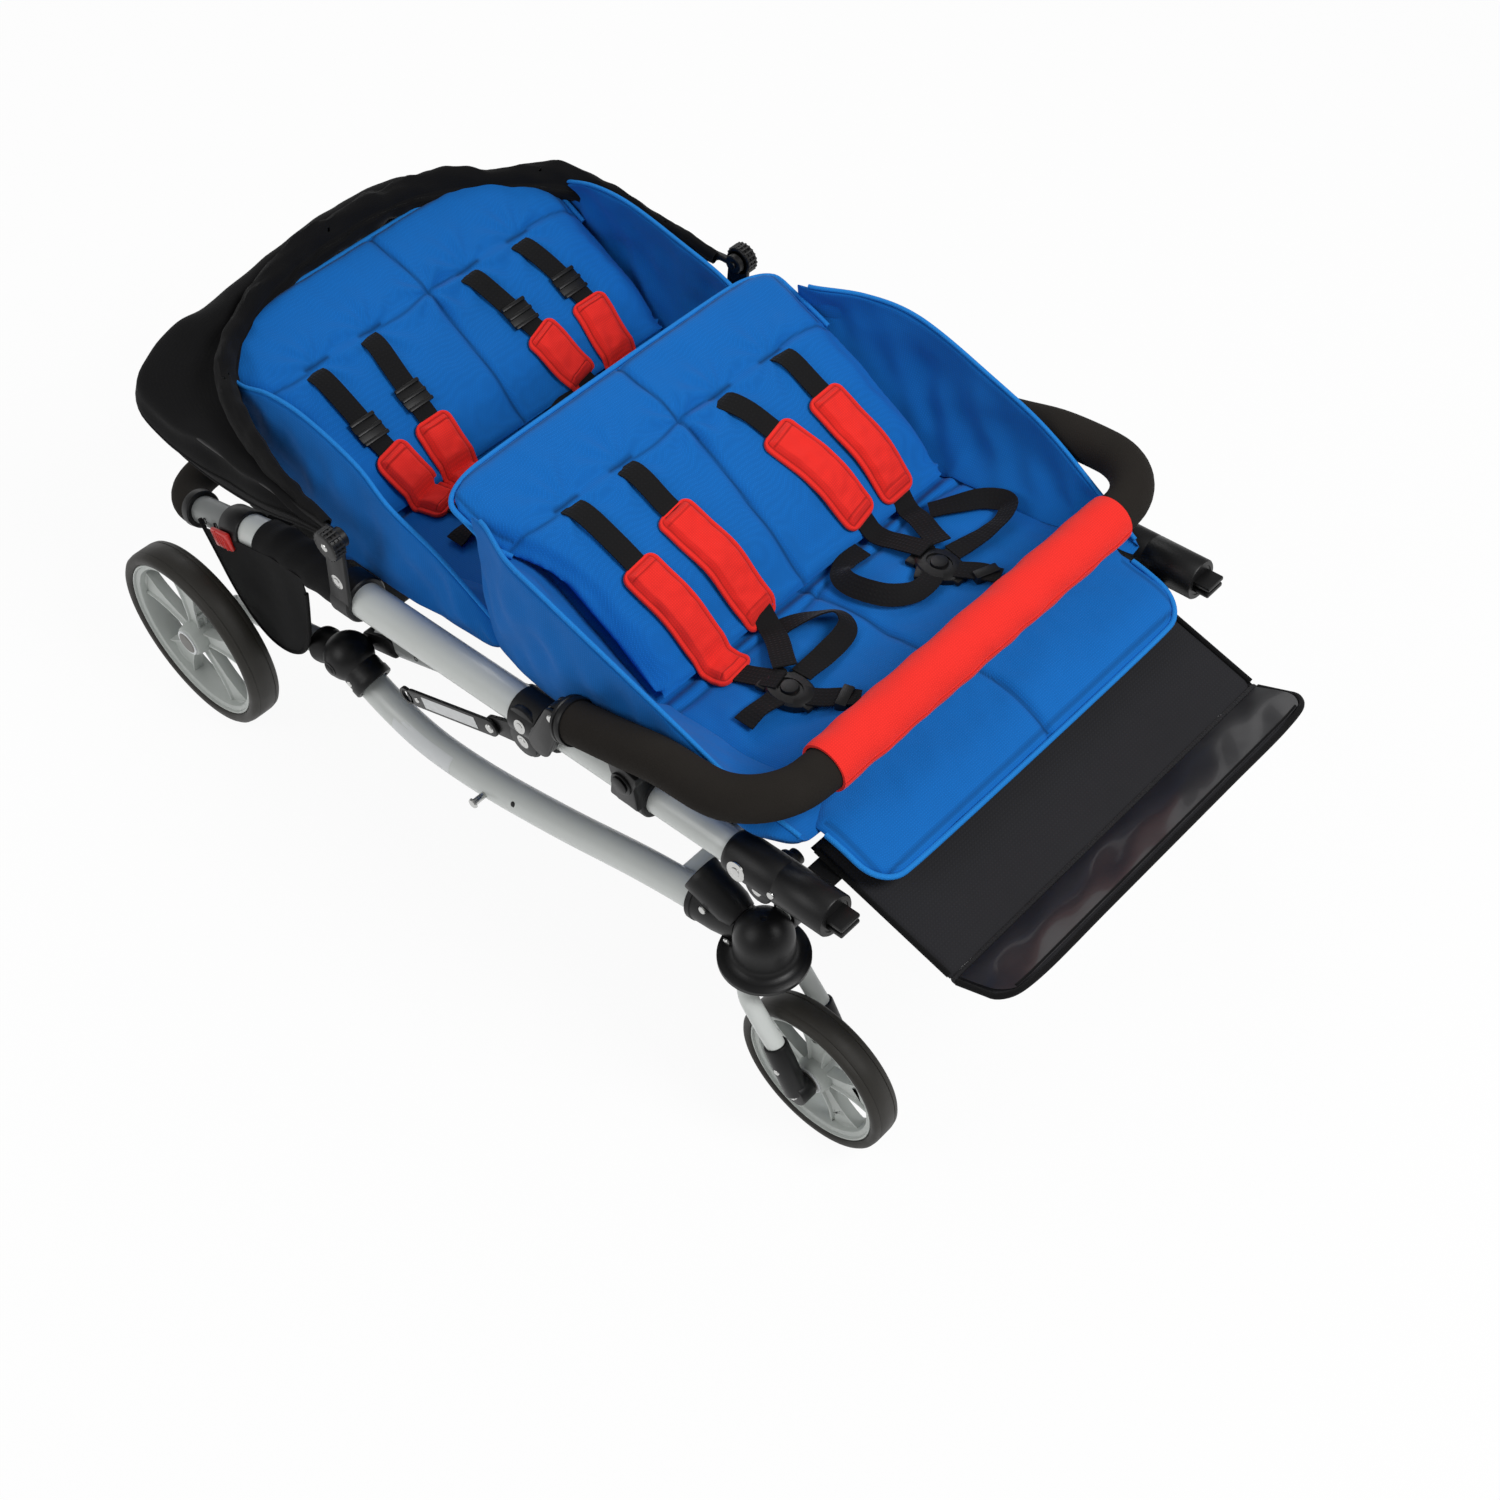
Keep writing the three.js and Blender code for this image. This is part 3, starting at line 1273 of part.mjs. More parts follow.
for (const { name, sign } of sides) {
  add(`base_tube_${name}`, baseTube(sign), silver);
  add(`rear_joint_${name}`, rearJoint(sign), blackPlastic);
  add(`caster_housing_${name}`, casterHousing(sign), blackPlastic);
  add(`caster_fork_${name}`, fork(sign), silver);
  const frontX = sign * casterX;
  add(
    `front_tyre_${name}`,
    tyre(frontX, frontAxleY, frontTyreRadius, frontRimRadius, frontTyreHalfWidth), rubber,
  );
  add(
    `front_rim_${name}`,
    rim(
      frontX, frontAxleY, frontTyreRadius, frontRimRadius, frontTyreHalfWidth,
      bored(frontAxleRadius), frontTyreHalfWidth + hubProud, 0,
    ), rimPlastic,
  );
  const rearX = sign * rearWheelX;
  add(
    `rear_tyre_${name}`,
    tyre(rearX, rearAxleY, rearTyreRadius, rearRimRadius, rearTyreHalfWidth), rubber,
  );
  add(
    `rear_rim_${name}`,
    rim(
      rearX, rearAxleY, rearTyreRadius, rearRimRadius, rearTyreHalfWidth,
      bored(rearSpindleRadius), rearTyreHalfWidth, sign,
    ), rimPlastic,
  );
  add(`strut_sleeve_${name}`, strutSleeve(sign), grey);
  add(`strut_rod_${name}`, strutRod(sign), grey);
  add(`lock_link_${name}`, lockLink(sign), blackPlastic);
  add(`main_tube_${name}`, mainTube(sign), silver);
  add(`front_sleeve_${name}`, frontSleeve(sign), blackPlastic);
  add(`hinge_block_${name}`, hingeBlock(sign), blackPlastic);
  add(`canopy_bracket_${name}`, canopyBracket(sign), blackPlastic);
  add(`bumper_catch_${name}`, bumperCatch(sign), blackPlastic);
  add(`bumper_button_${name}`, catchButton(sign), blackPlastic);
  add(`handle_latch_${name}`, handleLatch(sign), redPlastic);
  for (const [row, rowName] of [[0, 'front'], [1, 'rear']]) {
    add(`${rowName}_buckle_${name}`, buckle(row, sign, liners[row]), blackPlastic);
    add(`${rowName}_buckle_button_${name}`, buckleRelease(row, sign), blackPlastic);
  }
}

add('rear_axle', rearAxle(), grey);
add('base_cross_tube', baseCrossTube(), grey);
add('front_cross_tube', frontCrossTube(), grey);
add('seat_cross_tube', seatCrossTube(), grey);
add('handle_bar', handleBar(), foam);
add('canopy_bow', canopyBow(), blackPlastic);
add('canopy_cloth', canopyCloth(), blackCloth);
add('bumper_bar', bumperBar(), foam);
add('bumper_cover', bumperCover(), redCloth);
add('front_seat_liner', liners[0], blueCloth);
add('rear_seat_liner', liners[1], blueCloth);
add('front_backrest_pad', backrestPad(0, liners[0]), blueCloth);
add('rear_backrest_pad', backrestPad(1, liners[1]), blueCloth);
add('footrest_panel', footrestPanel(), boardCloth);
add('foot_tray', footTray(), boardCloth);
add('rear_basket', basket(), blackCloth);

// The origin is under the middle of the whole, on the ground
const rearmostY = handleEndY + gripRadius;
const foremostY = creaseY - trayReach * Math.cos(trayTurn) - (boardThickness / 2) * Math.sin(trayTurn);
stroller.position.y = -(rearmostY + foremostY) / 2;

export default stroller;
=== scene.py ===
import math
import bpy
from mathutils import Matrix, Vector, noise
from mathutils.bvhtree import BVHTree


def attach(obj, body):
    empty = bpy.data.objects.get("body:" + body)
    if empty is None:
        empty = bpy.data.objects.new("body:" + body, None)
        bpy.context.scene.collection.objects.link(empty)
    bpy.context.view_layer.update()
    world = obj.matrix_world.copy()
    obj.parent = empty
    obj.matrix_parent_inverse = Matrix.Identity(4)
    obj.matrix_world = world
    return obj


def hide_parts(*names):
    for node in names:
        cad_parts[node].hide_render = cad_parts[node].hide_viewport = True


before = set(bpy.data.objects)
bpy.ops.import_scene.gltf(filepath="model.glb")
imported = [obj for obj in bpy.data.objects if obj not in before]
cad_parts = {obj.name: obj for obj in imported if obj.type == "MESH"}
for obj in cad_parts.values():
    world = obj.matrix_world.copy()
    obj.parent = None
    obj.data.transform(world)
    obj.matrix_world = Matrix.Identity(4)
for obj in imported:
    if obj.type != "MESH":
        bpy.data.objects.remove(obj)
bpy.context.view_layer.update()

MM = 0.001
MODEL_SHIFT = 160.383
SIDES = (("right", -1), ("left", 1))

# Places that pieces share, in millimetres: distances from the middle, and (y, z) along and up
TUBE_X, CASTER_X, JOINT_X, STRUT_X, REAR_WHEEL_X = 284, 289, 288, 249.5, 349
REAR_JOINT, REAR_AXLE, FRONT_AXLE = (115, 186), (325, 118), (-592, 92)
STRUT_EYE, LINK_PIN, BUMPER_PIVOT, CANOPY_HUB = (-205, 313), (-152, 291), (-262, 398), (65, 414)
CASTER_Y, LUG_Z = -518, 341
FRAME_TILT, FRAME_HEIGHT = 4.9, 361.5
HANDLE_TILT, HANDLE_START, HANDLE_END, HANDLE_BEND = 17.4, 197, 431, 62
SEAT_FRONT, SEAT_RUN, ROW_PITCH = -621, 580, 425


def spot(x, y, z):
    """A place in metres, from millimetres whose y is counted from a line behind the middle"""
    return Vector((x * MM, (y + MODEL_SHIFT) * MM, z * MM))


def lerp(a, b, share):
    return a + (b - a) * share


def clamp(value, low=0.0, high=1.0):
    return max(low, min(high, value))


def ease(value, low, high):
    share = clamp((value - low) / (high - low))
    return share * share * (3 - 2 * share)


def bell(distance, width):
    return math.exp(-(distance / width) ** 2)


def read_off(table, at):
    """The value at a place in a table of (place, value), along straight lines"""
    for (x0, v0), (x1, v1) in zip(table, table[1:]):
        if at <= x1:
            return lerp(v0, v1, clamp((at - x0) / (x1 - x0)))
    return table[-1][1]


def frame_z(y):
    return FRAME_HEIGHT - math.tan(math.radians(FRAME_TILT)) * (y - CASTER_Y)


def handle_z(y):
    return frame_z(HANDLE_START) - math.tan(math.radians(HANDLE_TILT)) * (y - HANDLE_START)


def tube_z(y):
    """The height of the main tube's middle line"""
    return frame_z(y) if y < HANDLE_START else handle_z(y)


def smooth_line(points, count):
    """Even steps along a smooth line through the points"""
    points = [Vector(p) for p in points]
    ends = [points[0] * 2 - points[1], *points, points[-1] * 2 - points[-2]]
    fine = []
    for p0, p1, p2, p3 in zip(ends, ends[1:], ends[2:], ends[3:]):
        k = [0.0]
        for a, b in ((p0, p1), (p1, p2), (p2, p3)):
            k.append(k[-1] + max((b - a).length, 1e-9) ** 0.5)
        for i in range(12):
            t = lerp(k[1], k[2], i / 12)
            a1 = p0.lerp(p1, (t - k[0]) / (k[1] - k[0]))
            a2 = p1.lerp(p2, (t - k[1]) / (k[2] - k[1]))
            a3 = p2.lerp(p3, (t - k[2]) / (k[3] - k[2]))
            b1 = a1.lerp(a2, (t - k[0]) / (k[2] - k[0]))
            b2 = a2.lerp(a3, (t - k[1]) / (k[3] - k[1]))
            fine.append(b1.lerp(b2, (t - k[1]) / (k[2] - k[1])))
    fine.append(points[-1])
    reach = [0.0]
    for a, b in zip(fine, fine[1:]):
        reach.append(reach[-1] + (b - a).length)
    line, at = [], 0
    for i in range(count + 1):
        want = reach[-1] * i / count
        while at < len(fine) - 2 and reach[at + 1] < want:
            at += 1
        span = max(reach[at + 1] - reach[at], 1e-9)
        line.append(fine[at].lerp(fine[at + 1], clamp((want - reach[at]) / span)))
    return line


def along(line, share):
    """The point at a share of a line of even steps"""
    place = clamp(share) * (len(line) - 1)
    index = min(int(place), len(line) - 2)
    return line[index].lerp(line[index + 1], place - index)


# Camera, at the photograph's angle
CAMERA_PLACE = (-1.1498, -1.1690, 2.0003)
CAMERA_ANGLES = (-46.2183, 50.9276, 1.2118)
CAMERA_LENS = 52.08


def camera_turn(azimuth, elevation, roll):
    a, e, r = (math.radians(v) for v in (azimuth, elevation, roll))
    back = Vector((math.sin(a) * math.cos(e), -math.cos(a) * math.cos(e), math.sin(e)))
    across = (-back).cross(Vector((0, 0, 1))).normalized()
    down = (-back).cross(across)
    right = across * math.cos(r) + down * math.sin(r)
    up = across * math.sin(r) - down * math.cos(r)
    return Matrix((right, up, back)).transposed().to_4x4()


bpy.ops.object.select_all(action="DESELECT")
bpy.ops.object.camera_add()
camera = bpy.context.object
camera.name = "camera"
camera.data.sensor_width = 36
camera.data.lens = CAMERA_LENS
camera.matrix_world = Matrix.Translation(CAMERA_PLACE) @ camera_turn(*CAMERA_ANGLES)
bpy.context.scene.camera = camera
bpy.context.scene.view_settings.view_transform = "Standard"


# Shader groups, each built once
def new_group(name, inputs, outputs):
    group = bpy.data.node_groups.new(name, "ShaderNodeTree")
    for label, kind, value in inputs:
        socket = group.interface.new_socket(label, in_out="INPUT", socket_type=kind)
        if value is not None:
            socket.default_value = value
    for label, kind in outputs:
        group.interface.new_socket(label, in_out="OUTPUT", socket_type=kind)
    start = group.nodes.new("NodeGroupInput")
    end = group.nodes.new("NodeGroupOutput")
    return group, start.outputs, end.inputs


def wire(tree, kind, links=None, **settings):
    """A node of a kind, set, with its inputs linked to sockets or given numbers"""
    node = tree.nodes.new(kind)
    for key, value in settings.items():
        setattr(node, key, value)
    for key, value in (links or {}).items():
        if isinstance(value, bpy.types.NodeSocket):
            tree.links.new(value, node.inputs[key])
        else:
            node.inputs[key].default_value = value
    return node


def math_node(tree, operation, *values):
    return wire(tree, "ShaderNodeMath", dict(enumerate(values)), operation=operation).outputs[0]


def mix_colour(tree, share, first, second):
    return wire(tree, "ShaderNodeMix", {0: share, 6: first, 7: second}, data_type="RGBA").outputs[2]


FLOAT, VECTOR, COLOUR = "NodeSocketFloat", "NodeSocketVector", "NodeSocketColor"


def make_drift():
    """Slow changes of shade over a surface, as dye lots, handling and dust give"""
    group, given, result = new_group("shade_drift",
                                     [("Vector", VECTOR, None), ("Colour", COLOUR, (0.5, 0.5, 0.5, 1)),
                                      ("Scale", FLOAT, 9.0), ("Amount", FLOAT, 0.15)],
                                     [("Colour", COLOUR), ("Mask", FLOAT)])
    wide = wire(group, "ShaderNodeTexNoise", {"Vector": given["Vector"], "Scale": given["Scale"],
                                              "Detail": 3.0})
    near = math_node(group, "MULTIPLY", given["Scale"], 11.0)
    fine = wire(group, "ShaderNodeTexNoise", {"Vector": given["Vector"], "Scale": near, "Detail": 2.0})
    both = math_node(group, "ADD", math_node(group, "MULTIPLY", wide.outputs["Fac"], 0.7),
                     math_node(group, "MULTIPLY", fine.outputs["Fac"], 0.3))
    swing = math_node(group, "MULTIPLY", math_node(group, "SUBTRACT", both, 0.5), given["Amount"])
    level = math_node(group, "ADD", math_node(group, "MULTIPLY", swing, 4.0), 1.0)
    shade = wire(group, "ShaderNodeVectorMath", {0: given["Colour"]}, operation="SCALE")
    group.links.new(level, shade.inputs["Scale"])
    group.links.new(shade.outputs["Vector"], result["Colour"])
    group.links.new(both, result["Mask"])
    return group


def make_weave():
    """Crossing threads: a height and a shade, at a pitch in metres"""
    group, given, result = new_group("plain_weave", [("Vector", VECTOR, None), ("Pitch", FLOAT, 0.0011)],
                                     [("Height", FLOAT), ("Shade", FLOAT)])
    slip = wire(group, "ShaderNodeTexNoise", {"Vector": given["Vector"], "Scale": 160.0, "Detail": 1.0})
    parts = wire(group, "ShaderNodeSeparateXYZ", {0: given["Vector"]})
    waves = []
    for axis in range(3):
        turn = math_node(group, "DIVIDE", parts.outputs[axis], given["Pitch"])
        turn = math_node(group, "ADD", turn, math_node(group, "MULTIPLY", slip.outputs["Fac"], 0.5))
        waves.append(math_node(group, "SINE", math_node(group, "MULTIPLY", turn, math.pi)))
    cross = math_node(group, "MULTIPLY", waves[0], waves[1])
    both = math_node(group, "ADD", waves[0], waves[1])
    cross = math_node(group, "ADD", cross, math_node(group, "MULTIPLY", waves[2], both))
    height = math_node(group, "ADD", math_node(group, "MULTIPLY", cross, 0.33), 0.5)
    group.links.new(height, result["Height"])
    group.links.new(math_node(group, "ADD", math_node(group, "MULTIPLY", height, 0.24), 0.88),
                    result["Shade"])
    return group


def make_grain():
    """Fine moulded or blown grain: a height and a roughness"""
    group, given, result = new_group("fine_grain", [("Vector", VECTOR, None), ("Scale", FLOAT, 900.0),
                                                    ("Roughness", FLOAT, 0.5), ("Spread", FLOAT, 0.12)],
                                     [("Height", FLOAT), ("Roughness", FLOAT)])
    cells = wire(group, "ShaderNodeTexVoronoi", {"Vector": given["Vector"], "Scale": given["Scale"]})
    soft = wire(group, "ShaderNodeTexNoise", {"Vector": given["Vector"], "Scale": 24.0, "Detail": 4.0})
    group.links.new(cells.outputs["Distance"], result["Height"])
    swing = math_node(group, "MULTIPLY", math_node(group, "SUBTRACT", soft.outputs["Fac"], 0.5),
                      given["Spread"])
    group.links.new(math_node(group, "ADD", given["Roughness"], math_node(group, "MULTIPLY", swing, 2.0)),
                    result["Roughness"])
    return group


def make_wear():
    """Rubbed edges: the edge mask is broken up by noise"""
    group, given, result = new_group(
        "edge_wear",
        [("Vector", VECTOR, None), ("Edge", FLOAT, 0.5), ("Colour", COLOUR, (0.5, 0.5, 0.5, 1)),
         ("Worn", COLOUR, (0.6, 0.6, 0.6, 1)), ("Amount", FLOAT, 0.4)],
        [("Colour", COLOUR)],
    )
    rub = wire(group, "ShaderNodeTexNoise", {"Vector": given["Vector"], "Scale": 130.0, "Detail": 3.0})
    edge = math_node(group, "MULTIPLY", math_node(group, "SUBTRACT", given["Edge"], 0.53), 9.0)
    mask = math_node(group, "MULTIPLY", edge, rub.outputs["Fac"])
    share = math_node(group, "MAXIMUM", math_node(group, "MULTIPLY", mask, given["Amount"]), 0.0)
    share = math_node(group, "MINIMUM", share, 1.0)
    group.links.new(mix_colour(group, share, given["Colour"], given["Worn"]), result["Colour"])
    return group


DRIFT, WEAVE, GRAIN, WEAR = make_drift(), make_weave(), make_grain(), make_wear()


def linear(red, green, blue):
    """A colour as a screen shows it, for a shader"""
    def one(v):
        v /= 255
        return v / 12.92 if v <= 0.04045 else ((v + 0.055) / 1.055) ** 2.4
    return (one(red), one(green), one(blue), 1.0)


def new_finish(name, slot, roughness, **shader):
    material = bpy.data.materials.new(name)
    material.use_nodes = True
    tree = material.node_tree
    body = tree.nodes["Principled BSDF"]
    body.inputs["Roughness"].default_value = roughness
    for key, value in shader.items():
        body.inputs[key.replace("_", " ")].default_value = value
    return material, tree, body


def place_group(tree, group, links):
    return wire(tree, "ShaderNodeGroup", links, node_tree=group)


def add_bump(tree, body, height, depth):
    bump = wire(tree, "ShaderNodeBump", {"Height": height, "Distance": depth, "Strength": 1.0})
    tree.links.new(bump.outputs["Normal"], body.inputs["Normal"])


def hard_finish(name, slot, colour, roughness, worn=None, grain=900.0, depth=0.00004, drift=0.05,
                spread=0.1, **shader):
    """Paint, moulded plastic, rubber and metal"""
    material, tree, body = new_finish(name, slot, roughness, **shader)
    place = tree.nodes.new("ShaderNodeTexCoord").outputs["Object"]
    shade = place_group(tree, DRIFT, {"Vector": place, "Colour": colour, "Scale": 14.0, "Amount": drift})
    edge = tree.nodes.new("ShaderNodeNewGeometry").outputs["Pointiness"]
    rubbed = place_group(tree, WEAR, {"Vector": place, "Edge": edge, "Colour": shade.outputs["Colour"],
                                      "Worn": worn or colour, "Amount": 0.5})
    tree.links.new(rubbed.outputs["Colour"], body.inputs["Base Color"])
    skin = place_group(tree, GRAIN, {"Vector": place, "Scale": grain, "Roughness": roughness,
                                     "Spread": spread})
    tree.links.new(skin.outputs["Roughness"], body.inputs["Roughness"])
    add_bump(tree, body, skin.outputs["Height"], depth)
    return material


def cloth_finish(name, slot, colour, pitch, depth, drift=0.05, own_map=True, roughness=0.85, **shader):
    """Woven cloth, along the piece's own map where it has one, with painted shade in its sewn channels"""
    material, tree, body = new_finish(name, slot, roughness, **shader)
    source = tree.nodes.new("ShaderNodeTexCoord").outputs
    place = source["Object"]
    threads = place_group(tree, WEAVE, {"Vector": source["UV"] if own_map else place, "Pitch": pitch})
    shade = place_group(tree, DRIFT, {"Vector": place, "Colour": colour, "Scale": 7.0, "Amount": drift})
    tinted = wire(tree, "ShaderNodeVectorMath", {0: shade.outputs["Colour"]}, operation="SCALE")
    # Painted shade: a point attribute darkens the cloth along sewn channels and beside piped edges
    seam_shade = wire(tree, "ShaderNodeAttribute", attribute_name="seam_shade").outputs["Fac"]
    seam_shade = math_node(tree, "SUBTRACT", 1.0, math_node(tree, "MULTIPLY", seam_shade, 0.62))
    tree.links.new(math_node(tree, "MULTIPLY", threads.outputs["Shade"], seam_shade), tinted.inputs["Scale"])
    tree.links.new(tinted.outputs["Vector"], body.inputs["Base Color"])
    pucker = wire(tree, "ShaderNodeTexNoise", {"Vector": place, "Scale": 38.0, "Detail": 3.0})
    height = math_node(tree, "ADD", math_node(tree, "MULTIPLY", threads.outputs["Height"], depth / 0.001),
                       math_node(tree, "MULTIPLY", pucker.outputs["Fac"], 0.55))
    add_bump(tree, body, height, 0.001)
    return material


WHITE_PAINT = hard_finish("white_paint", "silver_tube", linear(208, 212, 209), 0.34, linear(178, 182, 182),
                          grain=1500.0, depth=0.000015, drift=0.02, Coat_Weight=0.25, Coat_Roughness=0.15)
GREY_PAINT = hard_finish("grey_paint", "grey_tube", linear(142, 145, 144), 0.38, linear(180, 180, 180),
                         grain=1500.0, depth=0.000015, drift=0.03, Metallic=0.3)
BLACK_PLASTIC = hard_finish("satin_black", "black_plastic", linear(13, 13, 14), 0.42, linear(44, 44, 44),
                            grain=1100.0, depth=0.00005, Specular_IOR_Level=0.32)
FOAM = hard_finish("bar_foam", "foam", linear(36, 33, 30), 0.92, linear(50, 47, 43), grain=620.0,
                   depth=0.00022, drift=0.1, Specular_IOR_Level=0.15)
TYRE_RUBBER = hard_finish("tyre_rubber", "tyre", linear(40, 38, 34), 0.55, linear(74, 72, 66), grain=800.0,
                          depth=0.00006, drift=0.1, spread=0.18, Specular_IOR_Level=0.35)
RIM_PLASTIC = hard_finish("moulded_rim", "rim_plastic", linear(184, 189, 185), 0.42, linear(215, 218, 215),
                          grain=1300.0, depth=0.00002, drift=0.03)
HUB_CAP = hard_finish("hub_cap", "rim_plastic", linear(112, 110, 106), 0.5, linear(140, 138, 134),
                      depth=0.00003)
STEEL = hard_finish("bright_steel", "silver_tube", linear(196, 196, 194), 0.26, linear(225, 225, 225),
                    Metallic=1.0)
BRASS = hard_finish("brass_nut", "silver_tube", linear(196, 160, 90), 0.3, linear(225, 200, 140),
                    Metallic=1.0)
LABEL = hard_finish("blank_label", "silver_tube", linear(222, 225, 226), 0.4, linear(200, 200, 200),
                    drift=0.02)
RED_GLOSS = hard_finish("latch_red", "red_plastic", linear(205, 34, 30), 0.3, linear(225, 90, 80),
                        Coat_Weight=0.3)
BLUE = linear(14, 104, 186)
BLUE_CANVAS = cloth_finish("blue_canvas", "blue_fabric", BLUE, 0.0012, 0.00016, drift=0.05,
                           Sheen_Weight=0.05, Sheen_Roughness=0.5, Specular_IOR_Level=0.16)
BLUE_CANVAS_PLAIN = cloth_finish("blue_canvas_cut", "blue_fabric", BLUE, 0.0012, 0.00016, drift=0.05,
                                 own_map=False, Sheen_Weight=0.05, Sheen_Roughness=0.5,
                                 Specular_IOR_Level=0.16)
BLUE_PIPING = cloth_finish("blue_piping", "blue_fabric", linear(30, 126, 208), 0.0012, 0.00016, own_map=False,
                           Specular_IOR_Level=0.2)
BLACK_CANVAS = cloth_finish("black_canvas", "black_fabric", linear(15, 15, 16), 0.0011, 0.00016, drift=0.1,
                            Sheen_Weight=0.04, Sheen_Roughness=0.5, Specular_IOR_Level=0.14)
BOARD_CANVAS = cloth_finish("board_canvas", "board_fabric", linear(36, 36, 39), 0.0018, 0.0003, drift=0.08,
                            Sheen_Weight=0.06, Sheen_Roughness=0.5, Specular_IOR_Level=0.2)
RED_CANVAS = cloth_finish("red_canvas", "red_fabric", linear(240, 46, 38), 0.0012, 0.00016, drift=0.04,
                          Sheen_Weight=0.06, Sheen_Roughness=0.5, Specular_IOR_Level=0.2)
WEBBING = cloth_finish("ribbed_webbing", "black_plastic", linear(18, 18, 19), 0.0024, 0.0004, drift=0.08,
                       Sheen_Weight=0.06, Sheen_Roughness=0.4, Specular_IOR_Level=0.2)
SMOOTH_FILM = hard_finish("smooth_film", "board_fabric", linear(30, 30, 33), 0.3, linear(40, 40, 42),
                          grain=60.0, depth=0.0001, drift=0.03, spread=0.03, Specular_IOR_Level=0.35,
                          Coat_Weight=0.12, Coat_Roughness=0.06)


# Making. Each piece starts from a primitive and ends as one mesh in its own place.
def only(piece):
    bpy.ops.object.select_all(action="DESELECT")
    piece.select_set(True)
    bpy.context.view_layer.objects.active = piece
    return piece


def shape(piece, kind, **settings):
    modifier = piece.modifiers.new(kind.lower(), kind)
    for key, value in settings.items():
        setattr(modifier, key, value)
    only(piece)
    bpy.ops.object.modifier_apply(modifier=modifier.name)
    return piece


def soften(piece, width, parts=2, angle=40):
    return shape(piece, "BEVEL", width=width * MM, segments=parts, limit_method="ANGLE",
                 angle_limit=math.radians(angle), use_clamp_overlap=True)


def put_points(piece, places):
    piece.data.vertices.foreach_set("co", [value for place in places for value in place])
    piece.data.update()
    return piece


def move_points(piece, mover):
    """Every point goes where mover(place, normal) says"""
    normals = [Vector(normal.vector) for normal in piece.data.vertex_normals]
    places = [vertex.co.copy() for vertex in piece.data.vertices]
    return put_points(piece, [mover(place, normal) for place, normal in zip(places, normals)])


def mark_seam_shade(piece, seam_shade_amounts):
    """How much painted shade each point takes in a sewn channel, where the cloth is darkened"""
    layer = piece.data.attributes.new("seam_shade", "FLOAT", "POINT")
    layer.data.foreach_set("value", seam_shade_amounts)
    return piece


def place_mesh(piece, matrix):
    piece.data.transform(matrix)
    return piece


def facing(axis):
    return Vector(axis).to_track_quat("Z", "Y").to_matrix().to_4x4()


def bar(start, end, radius, edge=1.0, faces=32):
    """A round bar between two points"""
    way = end - start
    bpy.ops.mesh.primitive_cone_add(vertices=faces, radius1=radius * MM, radius2=radius * MM,
                                    depth=way.length)
    piece = bpy.context.object
    place_mesh(piece, Matrix.Translation((start + end) / 2) @ facing(way))
    return soften(piece, edge) if edge else piece


def cross_bar(y, z, x0, x1, radius, edge=1.0, faces=32):
    return bar(spot(x0, y, z), spot(x1, y, z), radius, edge, faces)


def mend(piece, merge=0.0):
    """Points closer than the merge distance become one, and every face looks outward"""
    only(piece)
    bpy.ops.object.mode_set(mode="EDIT")
    bpy.ops.mesh.select_all(action="SELECT")
    if merge:
        bpy.ops.mesh.remove_doubles(threshold=merge)
    bpy.ops.mesh.normals_make_consistent(inside=False)
    bpy.ops.object.mode_set(mode="OBJECT")
    return piece


def turned(profile, place, axis, steps):
    """A shape of (along, radius) turned about an axis through a place"""
    bpy.ops.mesh.primitive_circle_add(vertices=len(profile), fill_type="NOTHING")
    piece = bpy.context.object
    for vertex, (way, radius) in zip(piece.data.vertices, profile):
        vertex.co = (radius * MM, 0, way * MM)
    bpy.ops.object.mode_set(mode="EDIT")
    bpy.ops.mesh.select_all(action="SELECT")
    bpy.ops.mesh.spin(steps=steps, angle=2 * math.pi, center=(0, 0, 0), axis=(0, 0, 1))
    bpy.ops.mesh.select_all(action="SELECT")
    bpy.ops.mesh.remove_doubles(threshold=2e-6)
    bpy.ops.mesh.delete_loose()
    bpy.ops.mesh.select_all(action="SELECT")
    bpy.ops.mesh.normals_make_consistent(inside=False)
    bpy.ops.object.mode_set(mode="OBJECT")
    return place_mesh(piece, Matrix.Translation(place) @ facing(axis))


def side_plate(outline, x0, x1, edge=1.0):
    """A plate with an outline of (y, z) between two widths"""
    bpy.ops.mesh.primitive_circle_add(vertices=len(outline), fill_type="NGON")
    piece = bpy.context.object
    for vertex, (y, z) in zip(piece.data.vertices, outline):
        vertex.co = spot(x0, y, z)
    bpy.ops.object.mode_set(mode="EDIT")
    bpy.ops.mesh.select_all(action="SELECT")
    bpy.ops.mesh.extrude_region_move(TRANSFORM_OT_translate={"value": ((x1 - x0) * MM, 0, 0)})
    bpy.ops.object.mode_set(mode="OBJECT")
    mend(piece)
    return soften(piece, edge) if edge else piece


def capsule(y0, z0, y1, z1, r0, r1=None, steps=10):
    """The outline round two circles"""
    r1 = r0 if r1 is None else r1
    angle = math.atan2(z1 - z0, y1 - y0)
    turn = math.acos(clamp((r0 - r1) / math.hypot(y1 - y0, z1 - z0), -1, 1))
    outline = []
    for (y, z, r), start, sweep in (((y1, z1, r1), angle - turn, 2 * turn),
                                    ((y0, z0, r0), angle + turn, 2 * math.pi - 2 * turn)):
        for i in range(steps + 1):
            a = start + sweep * i / steps
            outline.append((y + r * math.cos(a), z + r * math.sin(a)))
    return outline


